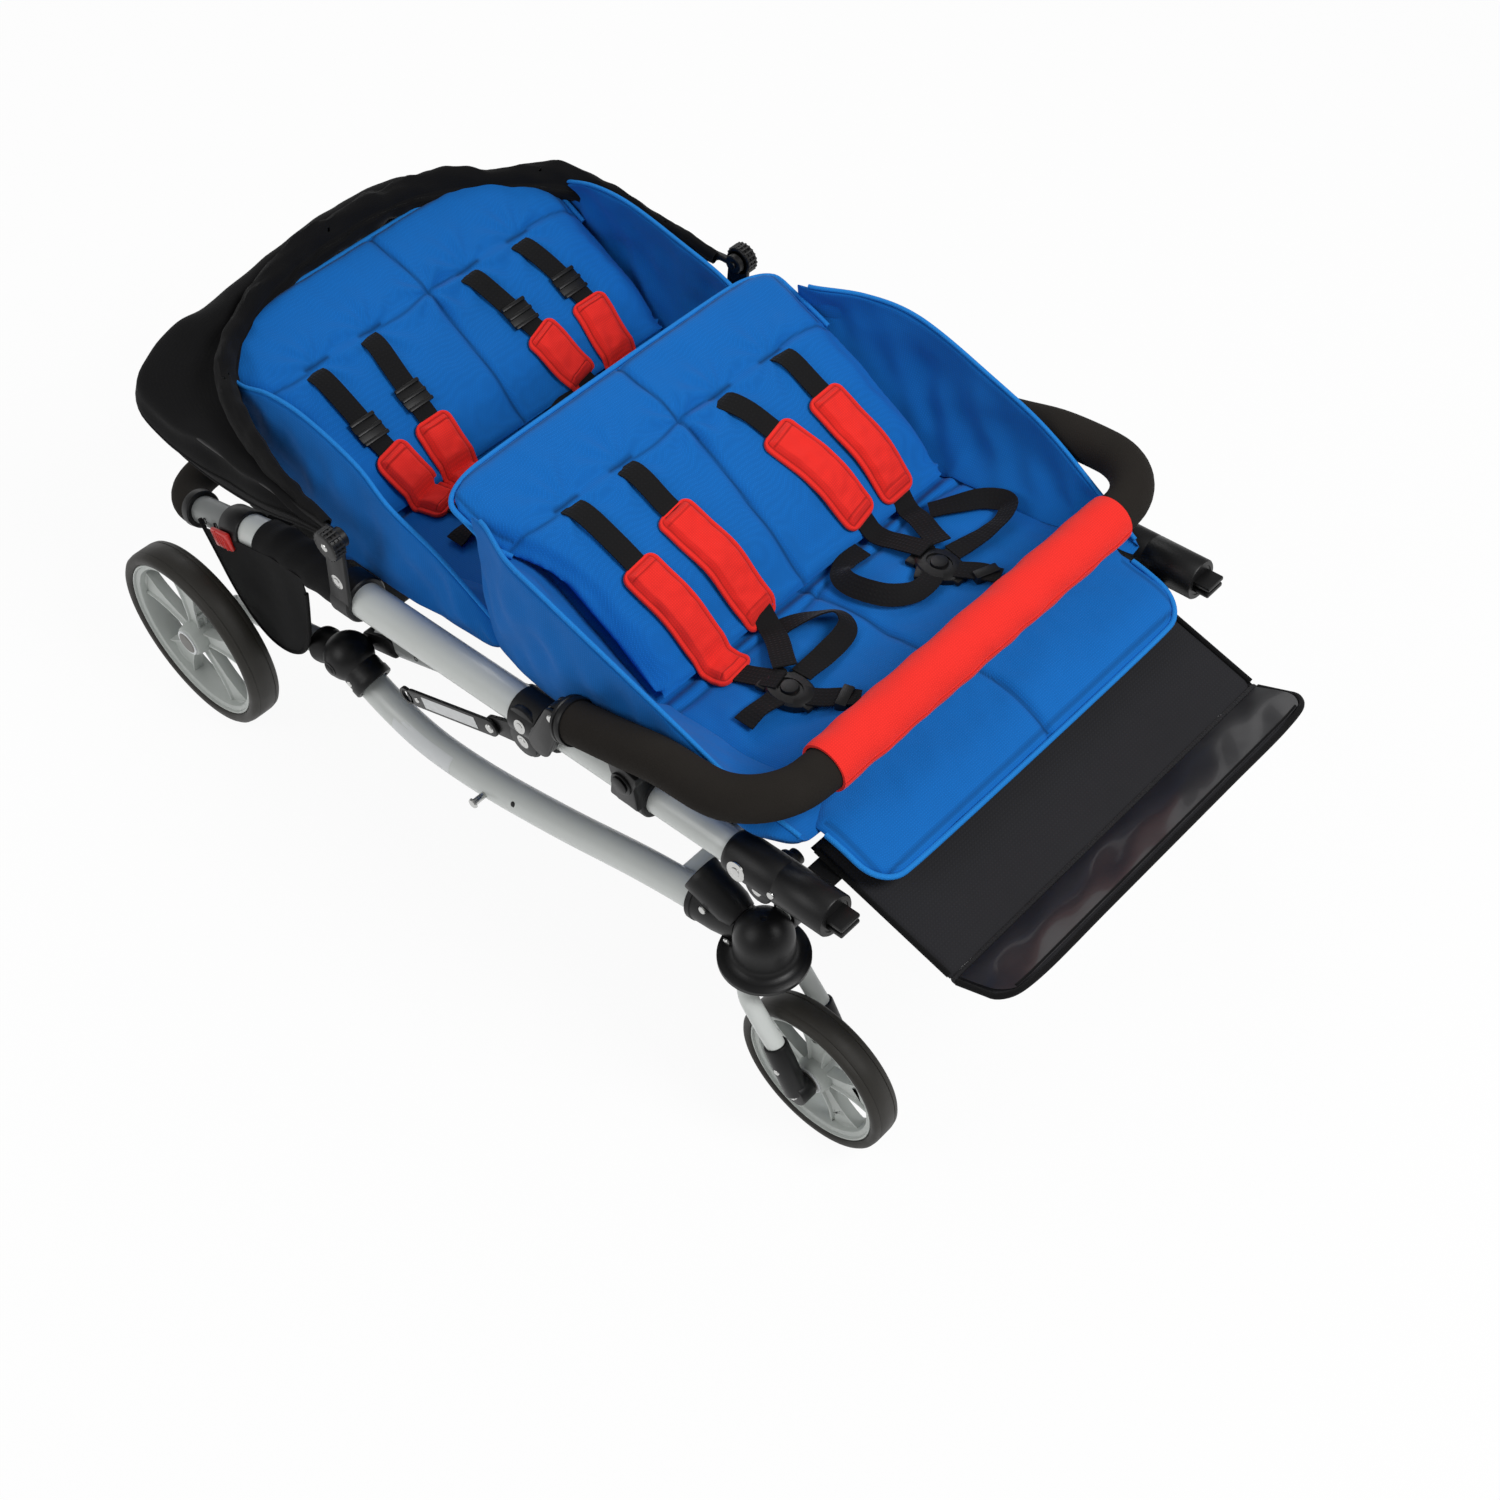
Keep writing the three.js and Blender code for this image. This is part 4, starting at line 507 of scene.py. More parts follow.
def block(x0, x1, y0, y1, z0, z1, edge=1.0, turn=None, parts=2):
    """A box with softened edges, turned about its middle where a turn is given"""
    bpy.ops.mesh.primitive_cube_add(size=1)
    piece = bpy.context.object
    sizes = Matrix.Diagonal((abs(x1 - x0) * MM, abs(y1 - y0) * MM, abs(z1 - z0) * MM, 1))
    middle = Matrix.Translation(spot((x0 + x1) / 2, (y0 + y1) / 2, (z0 + z1) / 2))
    place_mesh(piece, middle @ (turn or Matrix.Identity(4)) @ sizes)
    return soften(piece, edge, parts) if edge else piece


def swept(points, radius, sides=10, caps=True):
    """A round bar along points, with one radius or one for each point"""
    path = bpy.data.curves.new("path", "CURVE")
    path.dimensions = "3D"
    path.bevel_depth = MM
    path.bevel_resolution = sides // 2 - 1
    path.use_fill_caps = caps
    line = path.splines.new("POLY")
    line.points.add(len(points) - 1)
    for i, (point, place) in enumerate(zip(line.points, points)):
        point.co = (*place, 1)
        point.radius = radius[i] if isinstance(radius, (list, tuple)) else radius
    piece = bpy.data.objects.new("swept", path)
    bpy.context.collection.objects.link(piece)
    only(piece)
    bpy.ops.object.convert(target="MESH")
    return bpy.context.object


def grid(across, length, size):
    """A grid with its own map in metres, and each point's shares across and along it"""
    bpy.ops.mesh.primitive_grid_add(x_subdivisions=across, y_subdivisions=length, size=2, calc_uvs=True)
    piece = bpy.context.object
    for corner in piece.data.uv_layers.active.data:
        corner.uv = (corner.uv[0] * size[0], corner.uv[1] * size[1])
    return piece, [((v.co.x + 1) / 2, (v.co.y + 1) / 2) for v in piece.data.vertices]


def sheet(across, length, place, size=(1.0, 1.0)):
    """Thin cloth whose every point is put by its shares across and along"""
    piece, shares = grid(across, length, size)
    return put_points(piece, [place(u, v) for u, v in shares])


def ribbon(points, width, up, thick=1.8):
    """Flat webbing along points, its broad face towards up(share)"""
    count = len(points) - 1
    length = sum((b - a).length for a, b in zip(points, points[1:]))

    def place(u, v):
        at = along(points, v)
        way = (along(points, v + 0.5 / count) - along(points, v - 0.5 / count)).normalized()
        side = way.cross(up(v)).normalized()
        return at + side * ((u - 0.5) * width * MM)

    piece = sheet(4, count, place, (width * MM, length))
    return shape(piece, "SOLIDIFY", thickness=thick * MM, offset=0)


def join(name, pieces):
    bpy.ops.object.select_all(action="DESELECT")
    for piece in pieces:
        piece.select_set(True)
    bpy.context.view_layer.objects.active = pieces[0]
    if len(pieces) > 1:
        bpy.ops.object.join()
    pieces[0].name = name
    pieces[0].data.name = name
    return pieces[0]


def ready(name, pieces, finish, body, *nodes, angle=35):
    """One named piece in its finish, on its body, in the place of the nodes that it stands for"""
    piece = join(name, pieces if isinstance(pieces, list) else [pieces])
    piece.data.materials.clear()
    piece.data.materials.append(finish)
    only(piece)
    bpy.ops.object.shade_smooth_by_angle(angle=math.radians(angle))
    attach(piece, body)
    if nodes:
        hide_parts(*nodes)
    return piece


def rivet(place, axis, radius=5.0, proud=1.8, washer=None):
    """A domed rivet head, with a washer under it where one is given"""
    profile = [(-1.0, 0), (-1.0, radius), (0, radius), (proud * 0.6, radius * 0.86),
               (proud * 0.95, radius * 0.45), (proud, 0)]
    pieces = [turned(profile, place, axis, 20)]
    if washer:
        ring = [(-1.0, 0), (-1.0, washer), (0.3, washer), (0.6, washer - 0.6), (0.6, 0)]
        pieces.append(turned(ring, place, axis, 24))
    return join("rivet", pieces)


# Wheels
def wheel(name, body, side, sign, x, y, radius, rim_radius, half, hub_half):
    tread = radius - rim_radius
    wall = [(-half * 0.8, rim_radius), (-half * 0.94, rim_radius + tread * 0.18),
            (-half, rim_radius + tread * 0.5), (-half * 0.96, rim_radius + tread * 0.72),
            (-half * 0.84, rim_radius + tread * 0.9), (-half * 0.6, radius - 0.25),
            (-half * 0.58, radius - 0.9), (-half * 0.54, radius - 0.1), (0, radius)]
    profile = wall + [(-a, r) for a, r in reversed(wall[:-1])]
    centre = spot(x, y, radius)
    tyre = turned(profile, centre, (1, 0, 0), 96)
    ready(f"{name}_tyre_rubber_{side}", tyre, TYRE_RUBBER, body, f"{name}_tyre_{side}", angle=50)

    side_half = half * 0.78
    inner = rim_radius - 9
    ring = [(-side_half, rim_radius), (-side_half - 1.2, rim_radius - 0.8),
            (-side_half - 1.2, rim_radius - 2.4), (-side_half + 1.4, rim_radius - 3.6),
            (-side_half * 0.82, inner + 0.8), (-side_half * 0.74, inner), (side_half * 0.74, inner),
            (side_half * 0.82, inner + 0.8), (side_half - 1.4, rim_radius - 3.6),
            (side_half + 1.2, rim_radius - 2.4), (side_half + 1.2, rim_radius - 0.8),
            (side_half, rim_radius)]
    parts = [turned(ring, centre, (1, 0, 0), 96)]
    hub = [(-hub_half, 0), (-hub_half, 14), (-hub_half + 1.2, 17.5), (-hub_half + 3, 19), (-6, 21), (6, 21),
           (hub_half - 3, 19), (hub_half - 1.2, 17.5), (hub_half, 14), (hub_half, 0)]
    parts.append(turned(hub, centre, (1, 0, 0), 48))
    tip = inner + 2.5
    for i in range(5):
        edge = []
        for share in (0.0, 0.25, 0.5, 0.7, 0.85, 0.94, 1.0):
            reach = lerp(15, tip, share)
            edge.append((reach, lerp(9.5, 10.5, share) + 17 * share ** 3.2))
        outline = edge + [(a, -b) for a, b in reversed(edge)]
        angle = 2 * math.pi * i / 5 + math.pi / 2
        cut = [(y + a * math.cos(angle) - b * math.sin(angle),
                radius + a * math.sin(angle) + b * math.cos(angle)) for a, b in outline]
        spoke = side_plate(cut, x - 6.5, x + 6.5, 0)
        bpy.ops.object.mode_set(mode="EDIT")
        bpy.ops.mesh.select_all(action="DESELECT")
        bpy.ops.object.mode_set(mode="OBJECT")
        for face in spoke.data.polygons:
            face.select = abs(face.normal.x) > 0.9
        bpy.ops.object.mode_set(mode="EDIT")
        bpy.ops.mesh.select_mode(type="FACE")
        bpy.ops.mesh.inset(thickness=2.4 * MM, use_individual=True)
        bpy.ops.mesh.inset(thickness=1.2 * MM, depth=-2.6 * MM, use_individual=True)
        bpy.ops.object.mode_set(mode="OBJECT")
        parts.append(soften(spoke, 1.1, 2, 30))
    ready(f"{name}_rim_spokes_{side}", parts, RIM_PLASTIC, body, f"{name}_rim_{side}", angle=38)

    face = spot(x + sign * hub_half, y, radius)
    collar = [(-1, 0), (-1, 16.5), (0.5, 16.5), (1.0, 15.8), (1.0, 0)]
    ready(f"{name}_hub_ring_{side}", turned(collar, face, (sign, 0, 0), 40), LABEL, body)
    cap = [(0, 0), (0, 13.4), (1.2, 13.4), (1.8, 12.4), (2.0, 6), (2.05, 0)]
    ready(f"{name}_hub_cap_{side}", turned(cap, face, (sign, 0, 0), 40), HUB_CAP, body, angle=25)


for side, sign in SIDES:
    wheel("rear", f"rear_wheel_{side}", side, sign, sign * REAR_WHEEL_X, REAR_AXLE[0], 118, 104, 20, 21)
    wheel("front", f"front_wheel_{side}", side, sign, sign * CASTER_X, FRONT_AXLE[0], 92, 81, 18, 17)


# Lower frame
BASE_ROUTE = ((0, 0.26), (0.08, 0.1), (0.18, 0.01), (0.33, 0.08), (0.57, 0.39), (0.79, 0.75), (0.92, 0.92),
              (1, 1))


def base_spot(share, x):
    return spot(x, lerp(92, -458, share), lerp(131, 238, read_off(BASE_ROUTE, share)))


def base_line(x, count=48):
    return smooth_line([base_spot(share, x) for share, _ in BASE_ROUTE], 2 * count)[::2]


def nearest(line, y):
    return min(line, key=lambda point: abs(point.y - spot(0, y, 0).y))


def base_tube(side, sign):
    """The bowed tube with its lock peg, a pip and a blank label beside the rear joint"""
    line = base_line(sign * TUBE_X)
    ready(f"base_tube_paint_{side}", swept(line, 18, 24), WHITE_PAINT, "base_frame", f"base_tube_{side}")
    root = nearest(line, -118) + Vector((sign * 17 * MM, 0, 0))
    tip = root + Vector((sign * 17 * MM, 0, 0))
    ready(f"lock_peg_{side}", [bar(root, tip, 4, 0.5, 16), rivet(tip, (sign, 0, 0), 6.2, 3)], STEEL,
          "base_frame")
    pip = nearest(line, -160) + Vector((sign * 15.5 * MM, 0, 9 * MM))
    ready(f"base_pip_{side}", rivet(pip, (sign, 0, 0.5), 3.4, 1.2), BLACK_PLASTIC, "base_frame")

    def label_spot(u, v):
        angle = math.radians(lerp(-20, 62, u))
        out = Vector((sign * math.cos(angle), 0, math.sin(angle)))
        return along(line, lerp(0.105, 0.27, v)) + out * 18.12 * MM
    label = shape(sheet(10, 30, label_spot), "SOLIDIFY", thickness=0.15 * MM, offset=1)
    ready(f"tube_label_{side}", label, LABEL, "base_frame")


def rear_joint(side, sign):
    """A ball with a socket for the base tube and one for the axle's leg"""
    centre = spot(sign * JOINT_X, *REAR_JOINT)
    ball = [(29 * math.sin(a), 29 * math.cos(a)) for a in (math.radians(v) for v in range(-90, 91, 9))]
    ball[0], ball[-1] = (-29, 0), (29, 0)
    way = (base_line(sign * TUBE_X)[6] - centre).normalized()
    leg_way = (spot(sign * JOINT_X, *REAR_AXLE) - centre).normalized()
    socket = [(0, 0), (0, 20), (22, 23.2), (31, 23.2), (33, 24.4), (41, 24.4), (42.5, 23.4), (42.5, 18.2),
              (30, 18.2), (30, 0)]
    leg_socket = [(0, 0), (0, 18), (22, 20.2), (40, 20.2), (42, 21.4), (48, 21.4), (49, 20.4), (49, 15.2),
                  (36, 15.2), (36, 0)]
    shell = [turned(ball, centre, (1, 0, 0), 40), turned(socket, centre, way, 40),
             turned(leg_socket, centre, leg_way, 40), cross_bar(*REAR_JOINT, sign * JOINT_X, sign * 236.5, 6),
             rivet(spot(sign * 316, *REAR_JOINT), (sign, 0, 0), 7, 2.4, 9)]
    ready(f"rear_joint_shell_{side}", shell, BLACK_PLASTIC, "base_frame", f"rear_joint_{side}", angle=42)
    pin = centre + way * 26 * MM + Vector((sign * 22.6 * MM, 0, 0))
    ready(f"rear_joint_rivet_{side}", rivet(pin, (sign, 0, 0), 4.4, 1.6), STEEL, "base_frame")


def caster_housing(side, sign):
    """Skirt, neck and dome turned as one, with the tube's socket, the open cup and the lug"""
    x = sign * TUBE_X
    dome = [(0, 0), (0, 45.5), (1, 47), (5.5, 47), (6.6, 45.6), (7.6, 40), (9, 35.5), (12, 32.4), (17, 31),
            (34, 31)]
    dome += [(34 + 31 * math.sin(a), 31 * math.cos(a)) for a in (math.radians(v) for v in range(12, 90, 8))]
    dome += [(65, 3.4), (63.6, 2.8), (63.6, 0)]
    line_end, line_in = base_spot(1, x), base_spot(0.915, x)
    neck = [(-32, 0), (-32, 20), (0, 23), (24, 23), (25, 24), (31, 24), (32, 23), (32, 18.2), (18, 18.2),
            (18, 0)]
    mouth, root = spot(x, -428, 275), spot(x, -478, 256)
    cup = [(-6, 0), (-6, 17), (6, 20), (46, 21), (52.5, 21), (53.5, 20.2), (53.5, 17.2), (52.5, 16.5),
           (27.5, 16.5), (27.5, 0)]
    lug_in, lug_out = sign * 248.5, sign * 261
    lug = capsule(CASTER_Y, 256, CASTER_Y, LUG_Z, 14, 14)
    shell = [turned(dome, spot(sign * CASTER_X, CASTER_Y, 222), (0, 0, 1), 56),
             turned(neck, line_end, (line_in - line_end).normalized(), 40),
             turned(cup, root, (mouth - root).normalized(), 40), side_plate(lug, lug_in, lug_out, 2.0),
             cross_bar(CASTER_Y, 256, lug_in, sign * CASTER_X, 14),
             bar(spot(x, -486, 246), spot(x, -458, 262), 17, 3),
             cross_bar(CASTER_Y, LUG_Z, sign * 240.5, sign * 261, 9, 1.2)]
    ready(f"caster_housing_shell_{side}", shell, BLACK_PLASTIC, "base_frame", f"caster_housing_{side}",
          angle=42)
    rivets = [rivet(spot(sign * 306.8, -452, 256), (sign, 0, 0.1), 4.6, 1.6),
              rivet(spot(sign * 308.5, -486, 236), (sign, 0, -0.1), 4.6, 1.6)]
    ready(f"caster_housing_rivets_{side}", rivets, STEEL, "base_frame")


def caster_fork(side, sign):
    """A crown, two bowed tubes, notched blocks at their feet, and the axle with its nuts"""
    cx = sign * CASTER_X
    body = f"fork_{side}"
    crown = [(0, 0), (0, 22), (1.5, 25), (10.5, 25), (12, 23.5), (12, 8), (46, 8), (47, 7), (47, 0)]
    legs, blocks, bolts = [], [], []
    for out in (-1, 1):
        def leg_spot(spread, share, z, out=out):
            return spot(cx + out * spread, lerp(CASTER_Y, FRONT_AXLE[0], share), z)
        route = smooth_line([leg_spot(8, 0, 211), leg_spot(24, 0.0, 211.5), leg_spot(32.5, 0.1, 200),
                             leg_spot(33.5, 0.3, 177), leg_spot(33.5, 0.68, 142)], 22)
        legs.append(swept(route, 10, 16))
        blocks.append(bar(leg_spot(33.5, 0.6, 149), leg_spot(33.5, 1, FRONT_AXLE[1]), 13, 2.2, 32))
        blocks.append(cross_bar(*FRONT_AXLE, cx + out * 20.4, cx + out * 40, 15, 1.6))
        middle = cx + out * 33.5
        blocks.append(block(middle - 9.5, middle + 9.5, -588, -568, 104, 136, 3,
                            Matrix.Rotation(math.radians(-28), 4, "X")))
        bolts.append(rivet(spot(cx + out * 40, *FRONT_AXLE), (out, 0, 0), 6.4, 2.6))
        bolts.append(rivet(leg_spot(33.5 + 12.6, 0.78, 124), (out, 0, 0), 3.6, 1.2))
    ready(f"fork_tubes_{side}", legs, WHITE_PAINT, body)
    ready(f"fork_blocks_{side}", [turned(crown, spot(cx, CASTER_Y, 209.6), (0, 0, 1), 40), *blocks],
          BLACK_PLASTIC, body, f"caster_fork_{side}", angle=42)
    ready(f"fork_bolts_{side}", [*bolts, cross_bar(*FRONT_AXLE, cx - 43, cx + 43, 5.4, 0.6, 6)], STEEL, body)
    nuts = [cross_bar(*FRONT_AXLE, cx + out * 17.6, cx + out * 20.2, 8, 0.5, 6) for out in (-1, 1)]
    ready(f"axle_nut_{side}", nuts, BRASS, body)


def strut(side, sign):
    """The strut's sleeve with its fork, holes and blank label, and the rod that slides in it"""
    joint, top = spot(sign * STRUT_X, *REAR_JOINT), spot(sign * STRUT_X, *STRUT_EYE)
    up = (top - joint).normalized()
    across = Vector((1, 0, 0))
    oval = Matrix((across, up.cross(across), up)).transposed().to_4x4()
    out = Vector((sign * 9 * MM, 0, 0))

    def oval_bar(start, end, wide, deep, edge=0.8):
        bpy.ops.mesh.primitive_cylinder_add(vertices=32, radius=0.5, depth=1)
        piece = bpy.context.object
        squeeze = Matrix.Diagonal((wide * MM, deep * MM, (end - start) * MM, 1))
        place_mesh(piece, Matrix.Translation(joint + up * ((start + end) / 2 * MM)) @ oval @ squeeze)
        return soften(piece, edge, 2, 60)

    sleeve_body, rod_body = f"strut_sleeve_{side}", f"strut_rod_{side}"
    ready(f"strut_sleeve_paint_{side}", oval_bar(12, 300, 18, 30), GREY_PAINT, sleeve_body, sleeve_body)
    y, z = REAR_JOINT
    fork = side_plate(capsule(y, z, y + 40 * up.y, z + 40 * up.z, 12, 14), sign * STRUT_X - 9,
                      sign * STRUT_X + 9, 2)
    ready(f"strut_fork_{side}", [fork, oval_bar(291, 303, 21.5, 33.5, 2)], BLACK_PLASTIC, sleeve_body)
    hole = [(-1, 0), (-1, 3.2), (0.25, 3.2), (0.25, 2.2), (-0.4, 1.8), (-0.4, 0)]
    holes = [turned(hole, joint + up * (reach * MM) + out, (sign, 0, 0), 20) for reach in (92, 118)]
    ready(f"strut_holes_{side}", holes, BLACK_PLASTIC, sleeve_body)
    bpy.ops.mesh.primitive_cube_add(size=2 * MM)
    label = bpy.context.object
    place_mesh(label, Matrix.Translation(joint + up * (190 * MM) + out) @ oval
               @ Matrix.Diagonal((0.16, 8.4, 56, 1)))
    ready(f"strut_label_{side}", label, LABEL, sleeve_body)
    length = (top - joint).length / MM
    ready(f"strut_rod_paint_{side}", oval_bar(length - 268, length - 14, 12.4, 24.4), GREY_PAINT, rod_body,
          rod_body)
    eye = [cross_bar(*STRUT_EYE, sign * 245.5, sign * 253.5, 12, 1.4),
           rivet(spot(sign * 244, *STRUT_EYE), (-sign, 0, 0), 7, 2),
           rivet(spot(sign * 255, *STRUT_EYE), (sign, 0, 0), 7, 2)]
    ready(f"strut_eye_{side}", eye, STEEL, rod_body)


def lock_link(side, sign):
    """The locking link, with black ends and a blank label between them"""
    body = f"lock_link_{side}"
    tilt = math.radians(-22.9)
    inner, outer = sign * 302.5, sign * 306.5

    def link_spot(reach):
        return (LINK_PIN[0] + reach * math.cos(tilt), LINK_PIN[1] + reach * math.sin(tilt))
    plate = side_plate(capsule(*link_spot(0), *link_spot(139), 11), inner, outer, 0.8)
    eye = turned([(-2, 7.6), (-2, 11), (2, 11), (2, 7.6)], spot(sign * 304.5, *link_spot(152)), (1, 0, 0), 32)
    ready(f"lock_link_plate_{side}", [plate, eye], BLACK_PLASTIC, body, body)
    label = side_plate([link_spot(reach) for reach in (24, 120, 120, 24)], outer, outer + sign * 0.2, 0)
    across = Vector((0, -math.sin(tilt), math.cos(tilt))) * 7.5 * MM
    for vertex in label.data.vertices:
        vertex.co += across if vertex.index % 4 < 2 else -across
    ready(f"link_label_{side}", label, LABEL, body)
    rivets = [rivet(spot(outer, *link_spot(0)), (sign, 0, 0), 6, 2),
              rivet(spot(outer, *link_spot(132)), (sign, 0, 0), 3.6, 1.2)]
    ready(f"link_rivets_{side}", rivets, STEEL, body)


for side, sign in SIDES:
    base_tube(side, sign)
    rear_joint(side, sign)
    caster_housing(side, sign)
    caster_fork(side, sign)
    strut(side, sign)
    lock_link(side, sign)

# Rear axle with its two legs, and the cross tubes
legs = []
for side, sign in SIDES:
    centre = spot(sign * JOINT_X, *REAR_JOINT)
    leg_end = spot(sign * JOINT_X, *REAR_AXLE)
    legs.append(bar(centre.lerp(leg_end, 0.14), leg_end, 15, 1.5))
    legs.append(cross_bar(*REAR_AXLE, sign * JOINT_X, sign * 327, 15, 2))
    legs.append(cross_bar(*REAR_AXLE, sign * 300, sign * 362, 5.6, 0.5))
legs.append(cross_bar(*REAR_AXLE, -290, 290, 11))
ready("rear_axle_paint", legs, WHITE_PAINT, "base_frame", "rear_axle")
ready("base_cross_tube_paint", bar(base_spot(0.885, -284), base_spot(0.885, 284), 10), WHITE_PAINT,
      "base_frame", "base_cross_tube")
ready("front_cross_tube_paint", cross_bar(CASTER_Y, 266, -262, 262, 10), WHITE_PAINT, "base_frame",
      "front_cross_tube")
ready("seat_cross_tube_paint", cross_bar(-217, frame_z(-217), -268, 268, 10), WHITE_PAINT, "upper_frame",
      "seat_cross_tube")


# Upper frame
def tube_spot(sign, y):
    """A place on the front tube's middle line"""
    return spot(sign * TUBE_X, y, frame_z(y))


TUBE_WAY = (tube_spot(0, -200) - tube_spot(0, -596)).normalized()
TUBE_LEVEL = Vector((0, -TUBE_WAY.z, TUBE_WAY.y))


def on_tube(sign, y, out=0.0, lift=0.0):
    """A place beside the front tube: so far outward and so far up square to it"""
    return tube_spot(sign, y) + Vector((sign * out * MM, 0, 0)) + TUBE_LEVEL * (lift * MM)


def main_tube(side, sign):
    """A thin front tube and a thicker one behind it that bends down to take the handle"""
    x = sign * TUBE_X
    thin = bar(tube_spot(sign, -596), tube_spot(sign, -200), 17, 1)
    bend = [tube_spot(sign, y) for y in (-208, -100, 20, 120, 163)]
    bend += [spot(x, y, lerp(frame_z(y), handle_z(y), ease(y, 160, 234))) for y in range(170, 232, 8)]
    bend += [spot(x, y, handle_z(y)) for y in (240, 268, 296)]
    thick = swept(bend, 20.5, 24, caps=False)
    shape(thick, "SOLIDIFY", thickness=2.6 * MM, offset=-1)
    ready(f"main_tube_paint_{side}", [thin, thick], WHITE_PAINT, "upper_frame", f"main_tube_{side}")


def handle_latch(side, sign):
    """The collar where the handle enters, and the red latch in it with its ribs"""
    x = sign * TUBE_X
    back_way = (spot(x, 296, handle_z(296)) - spot(x, 262, handle_z(262))).normalized()
    collar = [(-4, 20.9), (-4, 23.2), (-2, 24.2), (30, 24.2), (33, 22.8), (36, 20.6), (36, 17.4), (30, 17.0),
              (30, 20.9)]
    ready(f"latch_collar_{side}", turned(collar, spot(x, 264, handle_z(264)), back_way, 40), BLACK_PLASTIC,
          "upper_frame")
    turn = Matrix.Rotation(math.radians(-17.4), 4, "X")
    y, z = 284, handle_z(284)
    face = TUBE_X + 20.5 + 3.4
    pad = [block(sign * face, sign * (face + 6), y - 17, y + 17, z - 12, z + 12, 2.6, turn, 3),
           cross_bar(y, z, sign * 304, sign * (face + 3), 4, 0)]
    for rib in (-8, -3, 2, 7):
        pad.append(block(sign * (face + 5), sign * (face + 6.8), y + rib - 1.2, y + rib + 1.2, z - 9, z + 9,
                         0.6, turn))
    ready(f"latch_pad_{side}", pad, RED_GLOSS, f"handle_latch_{side}", f"handle_latch_{side}")


def front_sleeve(side, sign):
    """The sleeve on the tube's front end, with its lug and two-tongued plug"""
    x = sign * TUBE_X
    sleeve = [(-63, 17.1), (-63, 21.4), (-61.6, 22.5), (-2, 22.5), (-1, 21.8), (0, 21.8), (1, 22.5),
              (58, 22.5), (62, 21.6), (63, 20.4), (63, 17.1)]
    plug = [(-1, 0), (-1, 20), (3, 20), (3, 0)]
    lug = capsule(CASTER_Y, frame_z(CASTER_Y) - 6, CASTER_Y, LUG_Z, 17, 16)
    shell = [turned(sleeve, tube_spot(sign, -541), TUBE_WAY, 48),
             turned(plug, tube_spot(sign, -602), TUBE_WAY, 32), side_plate(lug, x - 14, x + 14, 2.4)]
    turn = Matrix.Rotation(math.radians(-4.9), 4, "X")
    for out in (-1, 1):
        z = frame_z(-611) + out * 4.4
        shell.append(block(x - 13, x + 13, -622, -600, z - 2.6, z + 2.6, 1.6, turn))
    ready(f"front_sleeve_shell_{side}", shell, BLACK_PLASTIC, "upper_frame", f"front_sleeve_{side}", angle=42)
    rivets = [rivet(on_tube(sign, -499, 22.0, 3), (sign, 0, 0.15), 5.6, 2.4, 11),
              rivet(on_tube(sign, -543, 22.2, 3), (sign, 0, 0.15), 4.2, 1.6),
              rivet(spot(x + sign * 14, CASTER_Y, LUG_Z), (sign, 0, 0), 6, 2.2)]
    ready(f"front_sleeve_rivets_{side}", rivets, STEEL, "upper_frame")


def hinge_block(side, sign):
    """A collar on the tube, its hanging ear and the upright fitting for the bumper bar"""
    ring = [(-20, 17.3), (-20, 23.5), (-18.4, 25), (18.4, 25), (20, 23.5), (20, 20.8), (14, 20.8), (14, 17.3)]
    nose = [(-24, 17.2), (-24, 21.4), (0, 23), (0, 17.2)]
    ear = capsule(-206, frame_z(-206) + 2, STRUT_EYE[0], STRUT_EYE[1], 22, 22)
    upright = capsule(-236, frame_z(-236), *BUMPER_PIVOT, 15, 12)
    shell = [turned(ring, on_tube(sign, -206), TUBE_WAY, 40), turned(nose, on_tube(sign, -222), TUBE_WAY, 40),
             side_plate(ear, sign * 296, sign * 304, 1.8),
             cross_bar(*STRUT_EYE, sign * 303, sign * 306.5, 19, 1.2),
             side_plate(capsule(*STRUT_EYE, -228, 322, 14, 13), sign * 243, sign * 262, 2),
             cross_bar(*STRUT_EYE, sign * 241, sign * 300, 8, 1),
             side_plate(capsule(*LINK_PIN, -190, 308, 11, 14), sign * 296, sign * 301.8, 1.4),
             side_plate(upright, sign * 288, sign * 293, 2.0),
             side_plate(upright, sign * 307, sign * 312, 2.0),
             side_plate(capsule(-236, frame_z(-236) + 4, -250, 368, 16, 12), sign * 292, sign * 308, 2.0)]
    ready(f"hinge_block_shell_{side}", shell, BLACK_PLASTIC, "upper_frame", f"hinge_block_{side}", angle=42)
    rivets = [rivet(on_tube(sign, -206, 24.6, 4), (sign, 0, 0.2), 5.2, 2, 8),
              rivet(spot(sign * 306.5, *STRUT_EYE), (sign, 0, 0), 5.4, 2, 8),
              rivet(spot(sign * 312, *BUMPER_PIVOT), (sign, 0, 0), 6, 2.2),
              rivet(spot(sign * 288, *BUMPER_PIVOT), (-sign, 0, 0), 6, 2.2),
              cross_bar(*BUMPER_PIVOT, sign * 287, sign * 313, 4.8, 0)]
    ready(f"hinge_block_rivets_{side}", rivets, STEEL, "upper_frame")


